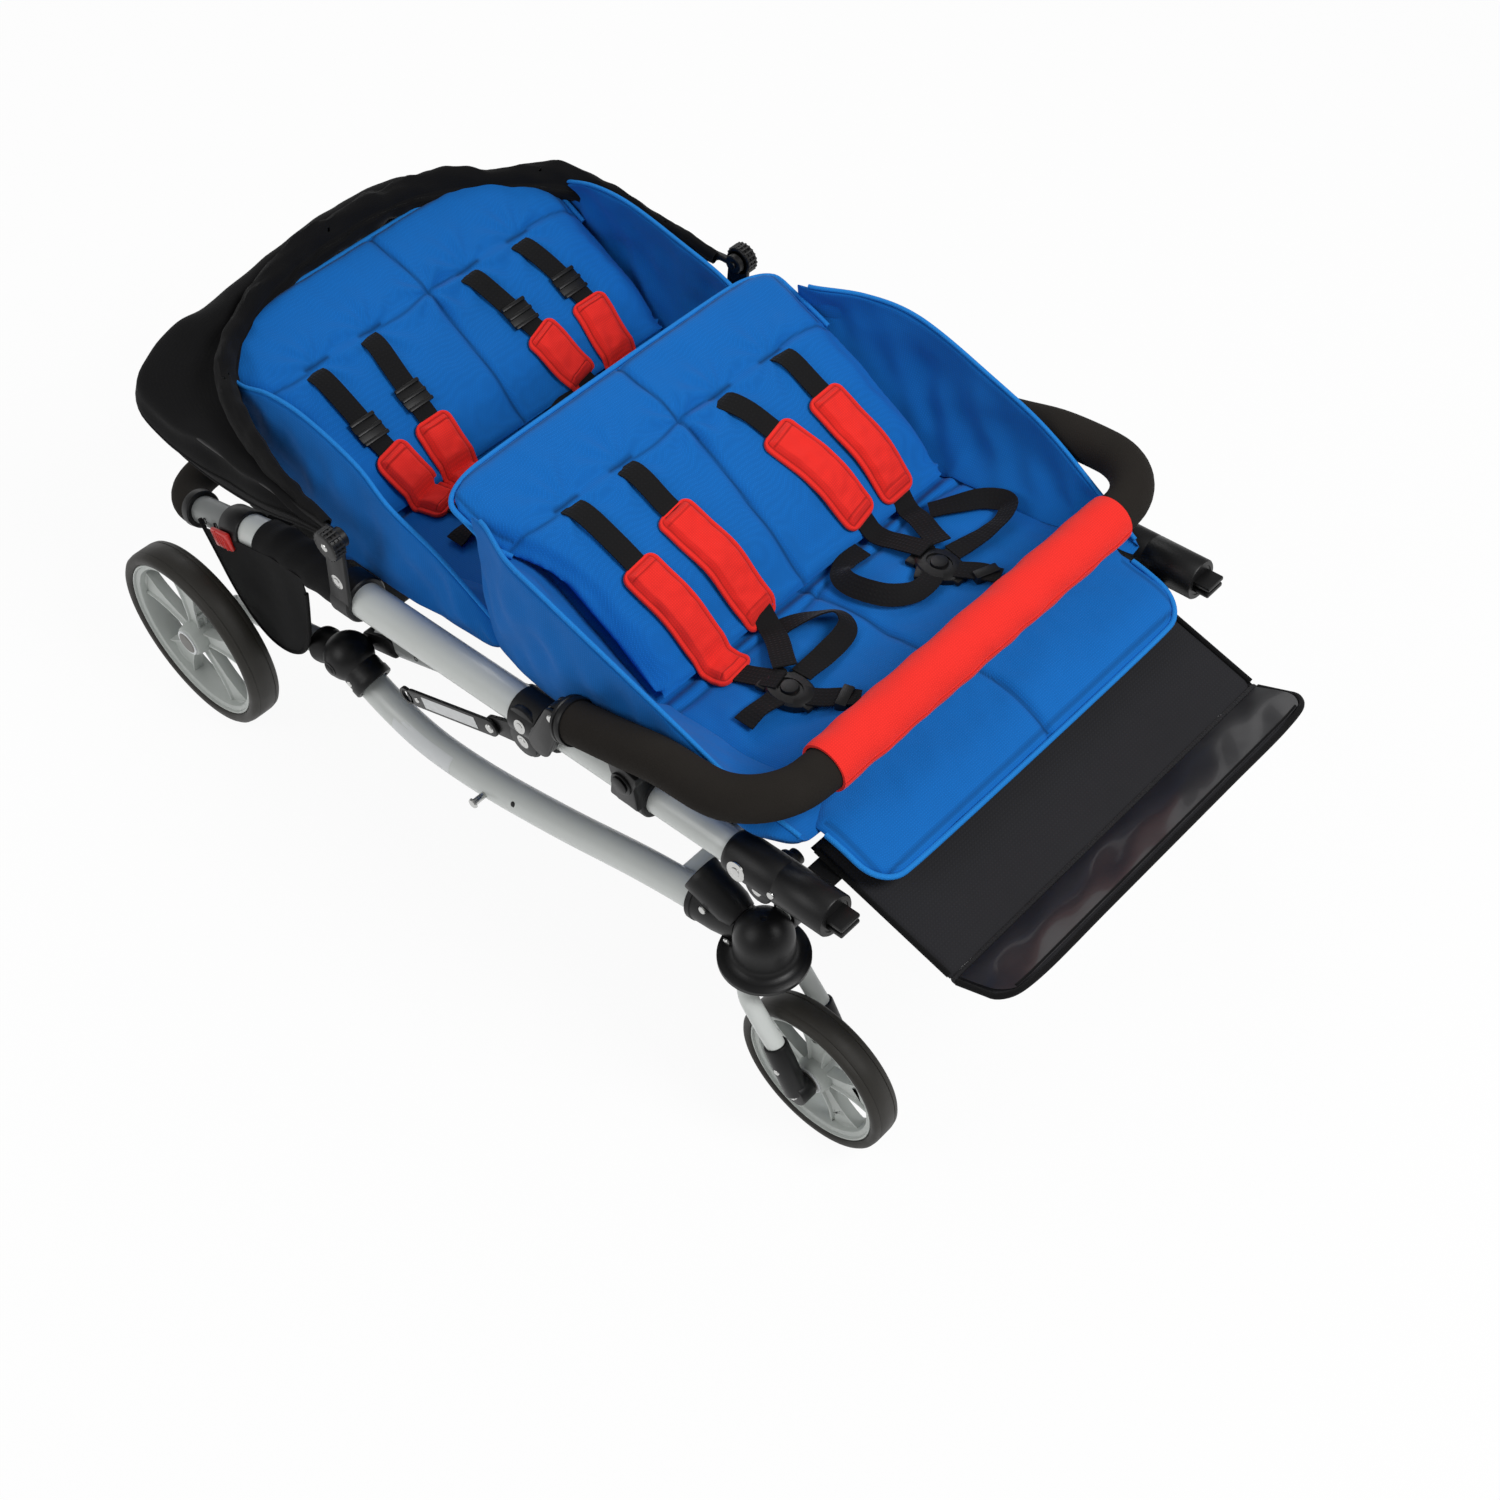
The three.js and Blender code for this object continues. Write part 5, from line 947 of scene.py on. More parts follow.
def canopy_bracket(side, sign):
    """A clamp on the thick tube, an upright and its ribbed hub"""
    y, z = CANOPY_HUB
    fit_way = (tube_spot(sign, 91) - tube_spot(sign, 61)).normalized()
    clamp_ring = [(-15, 20.7), (-15, 25), (-13.5, 26.5), (13.5, 26.5), (15, 25), (15, 20.7)]
    hub = [(0, 0), (0, 16), (1, 17), (4, 17), (4.6, 15.8), (5.4, 15.8), (6, 17), (9, 17), (9.6, 15.8),
           (10.4, 15.8), (11, 17), (14, 17), (15, 16), (15.6, 12), (15.6, 0)]
    shell = [turned(clamp_ring, tube_spot(sign, 76), fit_way, 40),
             side_plate(capsule(76, frame_z(76) + 4, y, z, 15, 15), sign * 302, sign * 308, 1.8),
             turned(hub, spot(sign * 302, y, z), (sign, 0, 0), 40),
             cross_bar(y, z, sign * 291, sign * 304, 4.4, 0.5)]
    for i in range(20):
        a = 2 * math.pi * i / 20
        rib_y, rib_z = y + 16.6 * math.cos(a), z + 16.6 * math.sin(a)
        shell.append(block(sign * 303, sign * 316.5, rib_y - 1.1, rib_y + 1.1, rib_z - 1.1, rib_z + 1.1, 0))
    ready(f"canopy_bracket_shell_{side}", shell, BLACK_PLASTIC, "upper_frame", f"canopy_bracket_{side}",
          angle=38)
    rivets = [rivet(spot(sign * 308, 71, 352), (sign, 0, 0), 6, 2.4, 9),
              rivet(spot(sign * 317.4, y, z), (sign, 0, 0), 5, 1.4)]
    ready(f"canopy_bracket_rivet_{side}", rivets, STEEL, "upper_frame")


def bumper_catch(side, sign):
    """The catch that holds the bumper bar down, with its button"""
    y, button_z = -358, 383
    low = frame_z(y)
    saddle = [(y - 19, low + 4), (y + 19, low + 4), (y + 15, low + 34), (y + 19, 398), (y + 19, 411),
              (y - 19, 401), (y - 19, 392), (y - 15, low + 34)]
    clasp = [(-19, 17.3), (-19, 21.5), (-17.5, 23), (17.5, 23), (19, 21.5), (19, 17.3)]
    shell = [turned(clasp, on_tube(sign, y), TUBE_WAY, 40), side_plate(saddle, sign * 287, sign * 313, 2.2),
             cross_bar(y, button_z - 1, sign * 311, sign * 315.6, 13, 1.2)]
    ready(f"bumper_catch_shell_{side}", shell, BLACK_PLASTIC, "upper_frame", f"bumper_catch_{side}")
    cap = [(0, 0), (0, 9.4), (1, 10), (2.2, 10), (3, 8.8), (3.2, 0)]
    button = [cross_bar(y, button_z, sign * 312, sign * 317.5, 7, 0),
              turned(cap, spot(sign * 315.8, y, button_z), (sign, 0, 0), 32)]
    body = f"bumper_button_{side}"
    ready(f"bumper_button_cap_{side}", button, BLACK_PLASTIC, body, body, angle=42)
    rivets = [rivet(on_tube(sign, -367, 22.6, 2), (sign, 0, 0.1), 4.4, 1.6),
              rivet(on_tube(sign, -430, 0, -17), (0, 0, -1), 5, 3)]
    ready(f"catch_rivet_{side}", rivets, STEEL, "upper_frame")


for side, sign in SIDES:
    main_tube(side, sign)
    handle_latch(side, sign)
    front_sleeve(side, sign)
    hinge_block(side, sign)
    canopy_bracket(side, sign)
    bumper_catch(side, sign)


# Handle: bare tube, then foam round the back, with end collars
def handle_line(start, count=120):
    half = []
    for sign in (-1, 1):
        line = [spot(sign * TUBE_X, y, handle_z(y)) for y in
                [lerp(start, HANDLE_END - HANDLE_BEND, i / 6) for i in range(7)]]
        for i in range(1, 9):
            a = i / 8 * math.pi / 2
            x = TUBE_X - HANDLE_BEND + HANDLE_BEND * math.cos(a)
            y = HANDLE_END - HANDLE_BEND + HANDLE_BEND * math.sin(a)
            line.append(spot(sign * x, y, handle_z(y)))
        half.append(line)
    middle = [spot(x, HANDLE_END, handle_z(HANDLE_END)) for x in (-150, -75, 0, 75, 150)]
    return smooth_line([*half[0], *middle, *reversed(half[1])], count)


ready("handle_tube_paint", swept(handle_line(216), 16.6, 20), GREY_PAINT, "handle", "handle_bar")
ready("handle_grip_foam", soften(swept(handle_line(366), 21.6, 24), 3, 3, 60), FOAM, "handle")
for side, sign in SIDES:
    way = (spot(0, 368, handle_z(368)) - spot(0, 330, handle_z(330))).normalized()
    cap = [(-7, 16.8), (-7, 20.4), (-5.4, 22), (4, 22.6), (5, 22.2), (5, 16.8)]
    ready(f"grip_collar_{side}", turned(cap, spot(sign * TUBE_X, 366, handle_z(366)), way, 40),
          BLACK_PLASTIC, "handle")
    dot = [(-0.6, 0), (-0.6, 4), (0.2, 4), (0.2, 2.8), (-0.3, 2.6), (-0.3, 0)]
    dots = [turned(dot, spot(sign * (TUBE_X + 16.5), y, handle_z(y) + 3), (sign, 0, 0.15), 20)
            for y in (312, 334)]
    ready(f"handle_holes_{side}", dots, BLACK_PLASTIC, "handle")


# Seats. A row is 0 for the front and 1 for the rear; run and lift are shares along and up it.
FLOOR = ((0, 0.1), (0.08, 0.22), (0.15, 0.26), (0.24, 0.18), (0.34, 0.05), (0.46, 0), (0.55, -0.02),
         (0.7, 0.29), (0.85, 0.62), (1, 0.84), (1.06, 0.91))
ROWS = ("front", "rear")


def row_y(row, run):
    return SEAT_FRONT + SEAT_RUN * run + ROW_PITCH * row


def run_of(row, y):
    return (y - SEAT_FRONT - ROW_PITCH * row) / SEAT_RUN


def floor_table(row):
    line = smooth_line([Vector((0, row_y(row, run), 364 + 141 * lift - 36.44 * row)) for run, lift in FLOOR],
                       120)
    return [(p.y, p.z) for p in line]


FLOOR_TABLES = (floor_table(0), floor_table(1))
FLOOR_END = (1.0, 0.96)
PAD_START, PAD_END = 0.548, (1.018, 0.98)
PAD_CORNER = ((62, 0.09), (112, 0.28))
PIPED_FROM = (0.66, 0.56)


def seat_z(row, y):
    return read_off(FLOOR_TABLES[row], y)


def seat_slope(row, y):
    return (seat_z(row, y + 8) - seat_z(row, y - 8)) / 16


def seat_normal(row, y):
    return Vector((0, -seat_slope(row, y), 1)).normalized()


def pad_rise(v):
    """How far the back pad's upper and lower faces stand off the seat's line"""
    swell = ease(v, 0, 0.26)
    return lerp(4.5, 24, swell), lerp(-5.5, 5, swell)


def pad_half(row, v, sign):
    """The pad's half width: it keeps inside the wing, and its top corners are cut round"""
    cut, reach = PAD_CORNER[row]
    top = clamp((v - 1 + reach) / reach)
    y = row_y(row, lerp(PAD_START, PAD_END[row], v))
    tie = WING_TOPS[row][-1][1]
    broad = lerp(min(ROOTS[row, sign] + 8, 238), 238, ease(y, tie - 90, tie - 10))
    return broad - cut * (1 - math.sqrt(max(0.0, 1 - top * top)))


def pad_spot(row, way, v, lift):
    """A place on the back pad, way from -1 to 1 across it"""
    y = row_y(row, lerp(PAD_START, PAD_END[row], v))
    at = spot(way * pad_half(row, v, 1 if way > 0 else -1), y, seat_z(row, y))
    return at + seat_normal(row, y) * lift * MM


def top_z(row, x, y):
    """The height of the made seat at a place, in millimetres"""
    hit = SEAT_TOPS[row].ray_cast(spot(x, y, 700), Vector((0, 0, -1)))[0]
    return hit.z / MM if hit else seat_z(row, y)


def on_seat(row, x, y, lift=0.0, half=0.0):
    """A place on the highest of the cloth within a half width"""
    return spot(x, y, max(top_z(row, x + side * half, y) for side in (-1, -0.5, 0, 0.5, 1)) + lift)


def rumple(place, size, depth):
    """A soft unevenness of cloth at a place, in metres"""
    return depth * MM * noise.noise(place * (1 / (size * MM)))


SLOTS, SLOT_MIDDLE = (-150, -73, 73, 150), 114


def seam_places(row, x, y):
    """How far a place is from the middle seam, from the slots' line and from the crease, which waves"""
    wave = 3.5 * math.sin(x * 0.045)
    middle = 12 + 2.5 * math.sin(y * 0.03)
    slot_y, crease_y = -127 + 397 * row, -318 + ROW_PITCH * row
    return x - middle, y - slot_y, y - crease_y - wave, wave


def back_seams(row, x, y):
    """How deep the stitching pulls the cloth in at a place of the seat"""
    aside, past_slots, past_crease, wave = seam_places(row, x, y)
    depth = 3.4 * bell(aside, 4.5) + 3.0 * bell(past_crease, 5)
    depth += 2.6 * bell(past_slots - wave, 4.5) * ease(abs(abs(x) - SLOT_MIDDLE), 30, 44)
    for slot_x in SLOTS:
        depth += 3.2 * bell(math.hypot((x - slot_x) / 22, past_slots / 12), 1.0)
        swirl = math.sin(math.atan2(past_slots, x - slot_x) * 9)
        depth += 1.1 * swirl * bell(math.hypot(x - slot_x, past_slots) - 30, 22)
    reach = math.hypot(aside, past_slots)
    for turn in (-1, 1):
        depth += 1.6 * math.sin(math.atan2(past_slots, aside) * 7 + turn) * bell(reach - 26, 18)
    return depth * 1.25


def seam_shade_line(row, x, y):
    """Where painted shade darkens the cloth in thin lines along the stitched channels"""
    aside, past_slots, past_crease, wave = seam_places(row, x, y)
    amount = max(bell(aside, 1.9), 0.8 * bell(past_crease, 1.9))
    amount = max(amount, 0.7 * bell(past_slots - wave, 1.7) * ease(abs(abs(x) - SLOT_MIDDLE), 38, 60))
    for slot_x in SLOTS:
        amount = max(amount, bell(max(abs(x - slot_x) - 15, 0), 2.5) * bell(past_slots - 1, 2.5))
    return amount


def press_seams(piece, row, scale=1.0, edge_inset=None):
    """Sewn channels, puckers and rumples put into the upper face of a seat piece, with painted shade in them
    """
    seam_shade_amounts = []

    def pressed(at, normal):
        x, y = at.x / MM, at.y / MM - MODEL_SHIFT
        up = seat_normal(row, y)
        face = clamp(normal.dot(up) * 1.6)
        if face <= 0:
            seam_shade_amounts.append(0.0)
            return at
        inset = edge_inset(x, y) if edge_inset else 99
        # Painted shade: the stitched lines and the strip beside the piped edge are darkened
        seam_shade_amounts.append(face * max(seam_shade_line(row, x, y), 0.75 * bell(inset - 9, 1.7)))
        move = -(back_seams(row, x, y) * scale + 1.2 * bell(inset - 9, 3)) * MM
        move += rumple(Vector((at.x * 0.6, at.y, 0)), 46, 3.2)
        move += rumple(Vector((at.x, at.y * 0.6, 3)), 19, 1.5)
        return at + up * (move * face)
    move_points(piece, pressed)
    mark_seam_shade(piece, seam_shade_amounts)


def puff(piece, voxel, pressure, cap, upward):
    """The cloth is blown up a little off its filling, upward and never further than the cap"""
    shape(piece, "REMESH", mode="VOXEL", voxel_size=voxel * MM)
    start = [v.co.copy() for v in piece.data.vertices]
    only(piece)
    cloth = piece.modifiers.new("cloth", "CLOTH")
    cloth.settings.use_pressure = True
    cloth.settings.uniform_pressure_force = pressure
    cloth.settings.effector_weights.gravity = 0
    cloth.settings.quality = 4
    scene = bpy.context.scene
    for step in range(1, 21):
        scene.frame_set(step)
    bpy.ops.object.modifier_apply(modifier="cloth")
    scene.frame_set(1)
    places = []
    for vertex, old in zip(piece.data.vertices, start):
        places.append(old + upward * clamp((vertex.co - old).dot(upward), 0, cap * MM))
    put_points(piece, places)
    return shape(piece, "SUBSURF", levels=1, render_levels=1)


def both_faces(across, length, faces, size=(1.0, 1.0)):
    """A closed form between a front face and a back face, each point given by its shares"""
    piece, shares = grid(across, length, size)
    shape(piece, "SOLIDIFY", thickness=MM, offset=0)
    pairs = [faces(u, v) for u, v in shares]
    put_points(piece, [pair[0] for pair in pairs] + [pair[1] for pair in pairs])
    return mend(piece)


SEAM_MERGE = 0.02 * MM


def edge_round(share, power=10):
    return math.sqrt(max(0.0, 1 - abs(2 * share - 1) ** power))


WING_TOPS = (((256, -540, 398), (267, -475, 424), (273, -400, 459), (274, -330, 482), (272, -220, 510),
              (262, -160, 509), (240, -103, 503), (238, -84, 500)),
             ((246, -130, 358), (246, -30, 410), (248, 40, 437), (242, 90, 456), (240, 180, 473),
              (240, 235, 468), (240, 287, 450), (232, 322, 446)))
ROOTS = {(0, -1): 197, (0, 1): 236, (1, -1): 205, (1, 1): 237}


def floor_half(row, y, sign):
    """The half width of the seat's floor; the calf flap in front of the wings is wider"""
    tie = WING_TOPS[row][0][1]
    return lerp(236, ROOTS[row, sign] + 12, ease(y, tie - 6, tie + 26))


def under_pad(run):
    """How far the floor is sunk where the back pad lies on it"""
    return 13 * ease(run, PAD_START - 0.014, PAD_START + 0.012)


def seat_floor(row):
    table = FLOOR_TABLES[row]

    def faces(u, v):
        share = FLOOR_END[row] * v
        y = row_y(row, share)
        near, far = floor_half(row, y, -1), floor_half(row, y, 1)
        outward = max(abs(u - 0.5) - 0.42, 0.0) / 0.08
        corner = 36 * (1 - math.sqrt(max(0.0, 1 - outward ** 2)))
        y += corner * (1 - v) ** 9
        x = lerp(-near, far, u)
        crown = 3.5 * math.sin(math.pi * clamp(share * 2.1)) * (1 - (2 * u - 1) ** 4)
        z = read_off(table, y) + crown - under_pad(share)
        edge = edge_round(u, 24) * edge_round(v, 30)
        normal = seat_normal(row, y)
        centre = spot(x, y, z) - normal * 6 * MM
        return centre + normal * 5.6 * edge * MM, centre - normal * 4.8 * edge * MM

    piece = both_faces(90, 118, faces, (0.47, 0.58))
    shape(piece, "SUBSURF", levels=1, render_levels=1)

    def flap_inset(x, y):
        if row or y > -540:
            return 99
        return min(236 - abs(x), y - SEAT_FRONT)
    press_seams(piece, row, edge_inset=flap_inset)
    ready(f"{ROWS[row]}_seat_floor", piece, BLUE_CANVAS, "upper_frame", f"{ROWS[row]}_seat_liner", angle=60)
    return piece


def back_pad(row):
    def faces(u, v):
        way = 2 * u - 1
        high, low = pad_rise(v)
        middle = (high + low) / 2
        edge = edge_round(u, 26) * edge_round(v, 26)
        grow = -3
        return (pad_spot(row, way, v, middle + (high - middle + grow) * edge),
                pad_spot(row, way, v, middle + (low - middle) * edge))

    piece = both_faces(72, 52, faces, (0.47, 0.27))
    up = seat_normal(row, -180 + ROW_PITCH * row)
    puff(piece, 5.0, 3.0, 7.0, up)

    def pad_inset(x, y):
        v = clamp((run_of(row, y) - PAD_START) / (PAD_END[row] - PAD_START))
        if v < PIPED_FROM[row]:
            return 99
        return min(pad_half(row, v, 1 if x > 0 else -1) - abs(x), (1 - v) * 272 - 4)
    press_seams(piece, row, edge_inset=pad_inset)
    ready(f"{ROWS[row]}_back_cushion", piece, BLUE_CANVAS_PLAIN, "upper_frame", f"{ROWS[row]}_backrest_pad",
          angle=60)
    return piece


def wing_line(row, sign, lift=0.0, count=60):
    return smooth_line([spot(sign * x, y, z + lift) for x, y, z in WING_TOPS[row]], count)


def wing(row, side, sign):
    """The seat's side: an inner face up from the seat, an outer face down to the frame tube"""
    tops = wing_line(row, sign)
    root = ROOTS[row, sign]

    def faces(u, v):
        top = along(tops, v)
        y = top.y / MM - MODEL_SHIFT
        floor = seat_z(row, y) - 2 - under_pad(run_of(row, y))
        rise = max(top.z / MM - floor, 10)
        hollow = math.sin(math.pi * u)
        end = edge_round(v, 14)
        inner = spot(sign * lerp(root, abs(top.x) / MM - 3.0, u), y, lerp(floor, top.z / MM, u))
        inner += Vector((sign * hollow * 9 * MM, 0, -0.06 * hollow * rise * MM))
        foot = min(floor - 8, frame_z(y) + 16)
        outer_x = lerp(lerp(262, abs(top.x) / MM + 4, 0.2 if row else 0.5), abs(top.x) / MM + 3.0, u ** 0.8)
        outer = spot(sign * outer_x, y, lerp(foot, top.z / MM, u))
        outer += Vector((sign * hollow * (5 + 4 * math.sin(v * 11 + row)) * MM, 0, 0))
        for k, point in enumerate((inner, outer)):
            folds = (math.sin(v * 26 + 5 * u + k * 2) * 2.8 + math.sin(v * 49 - 9 * u) * 1.3) * hollow
            point += Vector((sign * (folds * MM + rumple(point, 34, 6.0) * hollow), 0,
                             rumple(point, 27, 1.6)))
        middle = (inner + outer) / 2
        return middle.lerp(inner, end), middle.lerp(outer, end)

    piece = both_faces(22, 72, faces, (0.13, 0.46))
    shape(piece, "SUBSURF", levels=1, render_levels=1)
    ready(f"{ROWS[row]}_wing_{side}", piece, BLUE_CANVAS, "upper_frame", f"{ROWS[row]}_seat_liner", angle=60)
    cord_line = wing_line(row, sign, 2.0, 90)[1:-3]
    ready(f"{ROWS[row]}_wing_piping_{side}", swept(cord_line, 2.4, 8), BLUE_PIPING, "upper_frame", angle=60)


SEAT_TOPS = []
for row in (0, 1):
    layers = [seat_floor(row), back_pad(row)]
    points, faces = [], []
    for layer in layers:
        first = len(points)
        points += [vertex.co.copy() for vertex in layer.data.vertices]
        faces += [[first + i for i in face.vertices] for face in layer.data.polygons]
    SEAT_TOPS.append(BVHTree.FromPolygons(points, faces))
    for side, sign in SIDES:
        wing(row, side, sign)


# Piping round the backs and the calf flap
def pad_edge_line(row, inset=0.0, lift=0.0, count=150):
    start = PIPED_FROM[row]
    points = []
    for sign in (-1, 1):
        half = []
        for i in range(12):
            v = 1 - (1 - start) * (1 - i / 11) ** 1.6
            high, low = pad_rise(v)
            stand = (high + low) / 2 + lift
            v -= inset * 0.0036 * i / 11
            half.append(pad_spot(row, sign * (1 - inset / 238 * (1 - i / 22)) * 1.003, v, stand))
        points += half if sign < 0 else list(reversed(half))
    return smooth_line(points, count)


for row in (0, 1):
    ready(f"{ROWS[row]}_back_piping", swept(pad_edge_line(row), 3.0, 8), BLUE_PIPING, "upper_frame", angle=60)


flap_edge = [spot(-236, -548, 0), spot(-236, -580, 0)]
for i in range(7):
    turn = i / 6 * math.pi / 2
    flap_edge.append(spot(-(204 + 32 * math.cos(turn)), -585 - 35 * math.sin(turn), 0))
flap_edge += [Vector((-at.x, at.y, 0)) for at in reversed(flap_edge)]
flap_edge = [Vector((at.x, at.y, (seat_z(0, at.y / MM - MODEL_SHIFT) - 5) * MM))
             for at in smooth_line(flap_edge, 120)]
ready("flap_piping", swept(flap_edge, 3.0, 8), BLUE_PIPING, "upper_frame", angle=60)


# Harness. Each strap runs from its slot down the pad; the red pads lie over the front ones.
def strap_line(row, places, count=40, lift=1.2, half=9):
    """A line over the made seat; each place is (x, y, lift)"""
    plan = smooth_line([Vector(place) for place in places], count)
    line = [on_seat(row, p.x, p.y, p.z + lift, half) for p in plan]
    for turn in range(2):
        line = [line[0], *[(a + b * 2 + c) / 4 for a, b, c in zip(line, line[1:], line[2:])], line[-1]]
    return line


def midway(first, second):
    return tuple((a + b) / 2 for a, b in zip(first, second))


def seat_up(line, row):
    return lambda v: seat_normal(row, along(line, v).y / MM - MODEL_SHIFT)


def strap(name, row, places, width=25):
    line = strap_line(row, places)
    ready(name, ribbon(line, width, seat_up(line, row)), WEBBING, "upper_frame")


def shoulder_pad(name, row, places, width=50, thick=11):
    line = strap_line(row, places, 40, 3.0, 20)
    length = sum((b - a).length for a, b in zip(line, line[1:]))
    up = seat_up(line, row)

    def faces(u, v):
        at = along(line, v)
        way = (along(line, v + 0.02) - along(line, v - 0.02)).normalized()
        normal = up(v)
        side = way.cross(normal).normalized()
        ends = min(v, 1 - v) * length / MM
        round_in = 13 * (1 - math.sqrt(max(0.0, 1 - (1 - min(ends, 13) / 13) ** 2)))
        half = width / 2 - round_in
        across = (2 * u - 1) * half
        rim = min(half - abs(across), ends)
        # The stitched border is a dip in the pad and also painted shade that darkens its colour
        seam_dip_and_shade = max(bell(rim - 5.5, 0.9), bell(ends - 14, 0.9) * (rim > 5))
        seam_shade_amounts.append(seam_dip_and_shade)
        crown = thick * (0.3 + 0.52 * ease(rim, 5.5, 12) - 0.12 * seam_dip_and_shade) * ease(rim, -1.5, 1.4)
        bumps = rumple(at + side * across * MM, 13, 2.2) * ease(rim, 4, 9)
        at = at + side * across * MM
        return at + normal * (crown * MM + bumps), at - normal * 1.2 * MM

    seam_shade_amounts = []
    piece = both_faces(34, 96, faces, (width * MM, length))
    mark_seam_shade(piece, seam_shade_amounts + [0.0] * len(seam_shade_amounts))
    shape(piece, "SUBSURF", levels=1, render_levels=1)
    ready(name, piece, RED_CANVAS, "upper_frame", angle=60)


def slider(name, row, x, y):
    """A three-bar adjuster on a strap"""
    slope = seat_slope(row, y)
    z = top_z(row, x, y) + 6
    turn = Matrix.Rotation(math.atan(slope), 4, "X")
    pieces = [block(x - 17, x + 17, y - 13, y + 13, z - 1.6, z + 1.6, 1.4, turn)]
    for shift in (-11, 0, 11):
        bar_y, bar_z = y + shift, z + shift * slope
        pieces.append(block(x - 17, x + 17, bar_y - 2.4, bar_y + 2.4, bar_z + 0.5, bar_z + 4.5, 1.4, turn))
    ready(name, pieces, BLACK_PLASTIC, "upper_frame")


FRONT_STRAPS = {
    "right_outer": ((-148, -127), (-140, -208), (-125, -336), (-114, -381)),
    "right_inner": ((-72, -127), (-69, -188), (-55, -306), (-98, -372)),
    "left_inner": ((67, -130), (86, -187), (112, -296), (120, -372)),
    "left_outer": ((159, -127), (162, -186), (168, -299), (138, -376)),
}
REAR_STRAPS = {
    "right_outer": ((-160, 268), (-155, 163), (-135, 84), (-118, 44)),
    "right_inner": ((-82, 268), (-91, 166), (-92, 95), (-104, 48)),
    "left_inner": ((66, 268), (84, 176), (104, 120), (110, 50)),
    "left_outer": ((145, 268), (161, 176), (160, 110), (128, 46)),
}
for row, table in ((0, FRONT_STRAPS), (1, REAR_STRAPS)):
    for label, (slot_at, pad_at, pad_end, low) in table.items():
        name = f"{ROWS[row]}_{label}"
        strap(f"{name}_strap", row, [(*slot_at, -5), (slot_at[0], slot_at[1] - 8, 1.5),
                                     (*midway(slot_at, pad_at), 3), (*pad_at, 4), (*pad_end, 3), (*low, 11)])
        shoulder_pad(f"{name}_pad", row, [(*pad_at, 0), (*midway(pad_at, pad_end), 1.5), (*pad_end, 0)])
        if row:
            slider(f"{name}_slider", row, *(lerp(a, b, 0.78) for a, b in zip(slot_at, pad_at)))

# Waist and crotch straps, looped loosely beside each buckle, each place (x, y, lift)
LOOPS = {"right": {"waist_inner": ((-62, -316, 2), (-42, -328, 6), (-22, -342, 9), (-7, -364, 12),
                                   (-14, -382, 11), (-38, -388, 9), (-64, -389, 8), (-94, -390, 8)),
                   "waist_outer": ((-126, -393, 8), (-144, -390, 9), (-160, -388, 8), (-176, -388, 4)),
                   "crotch": ((-112, -414, 8), (-104, -430, 9), (-94, -446, 8), (-85, -460, 3))},
         "left": {"waist_inner": ((88, -312, 3), (58, -314, 8), (38, -326, 12), (31, -352, 13),
                                  (38, -380, 13), (58, -400, 11), (82, -404, 9), (104, -398, 8)),
                  "waist_outer": ((176, -330, 4), (200, -350, 7), (226, -368, 9), (232, -390, 11),
                                  (212, -402, 11), (180, -402, 9), (136, -394, 8)),
                  "crotch": ((118, -414, 8), (124, -428, 9), (130, -442, 8), (136, -457, 3))}}
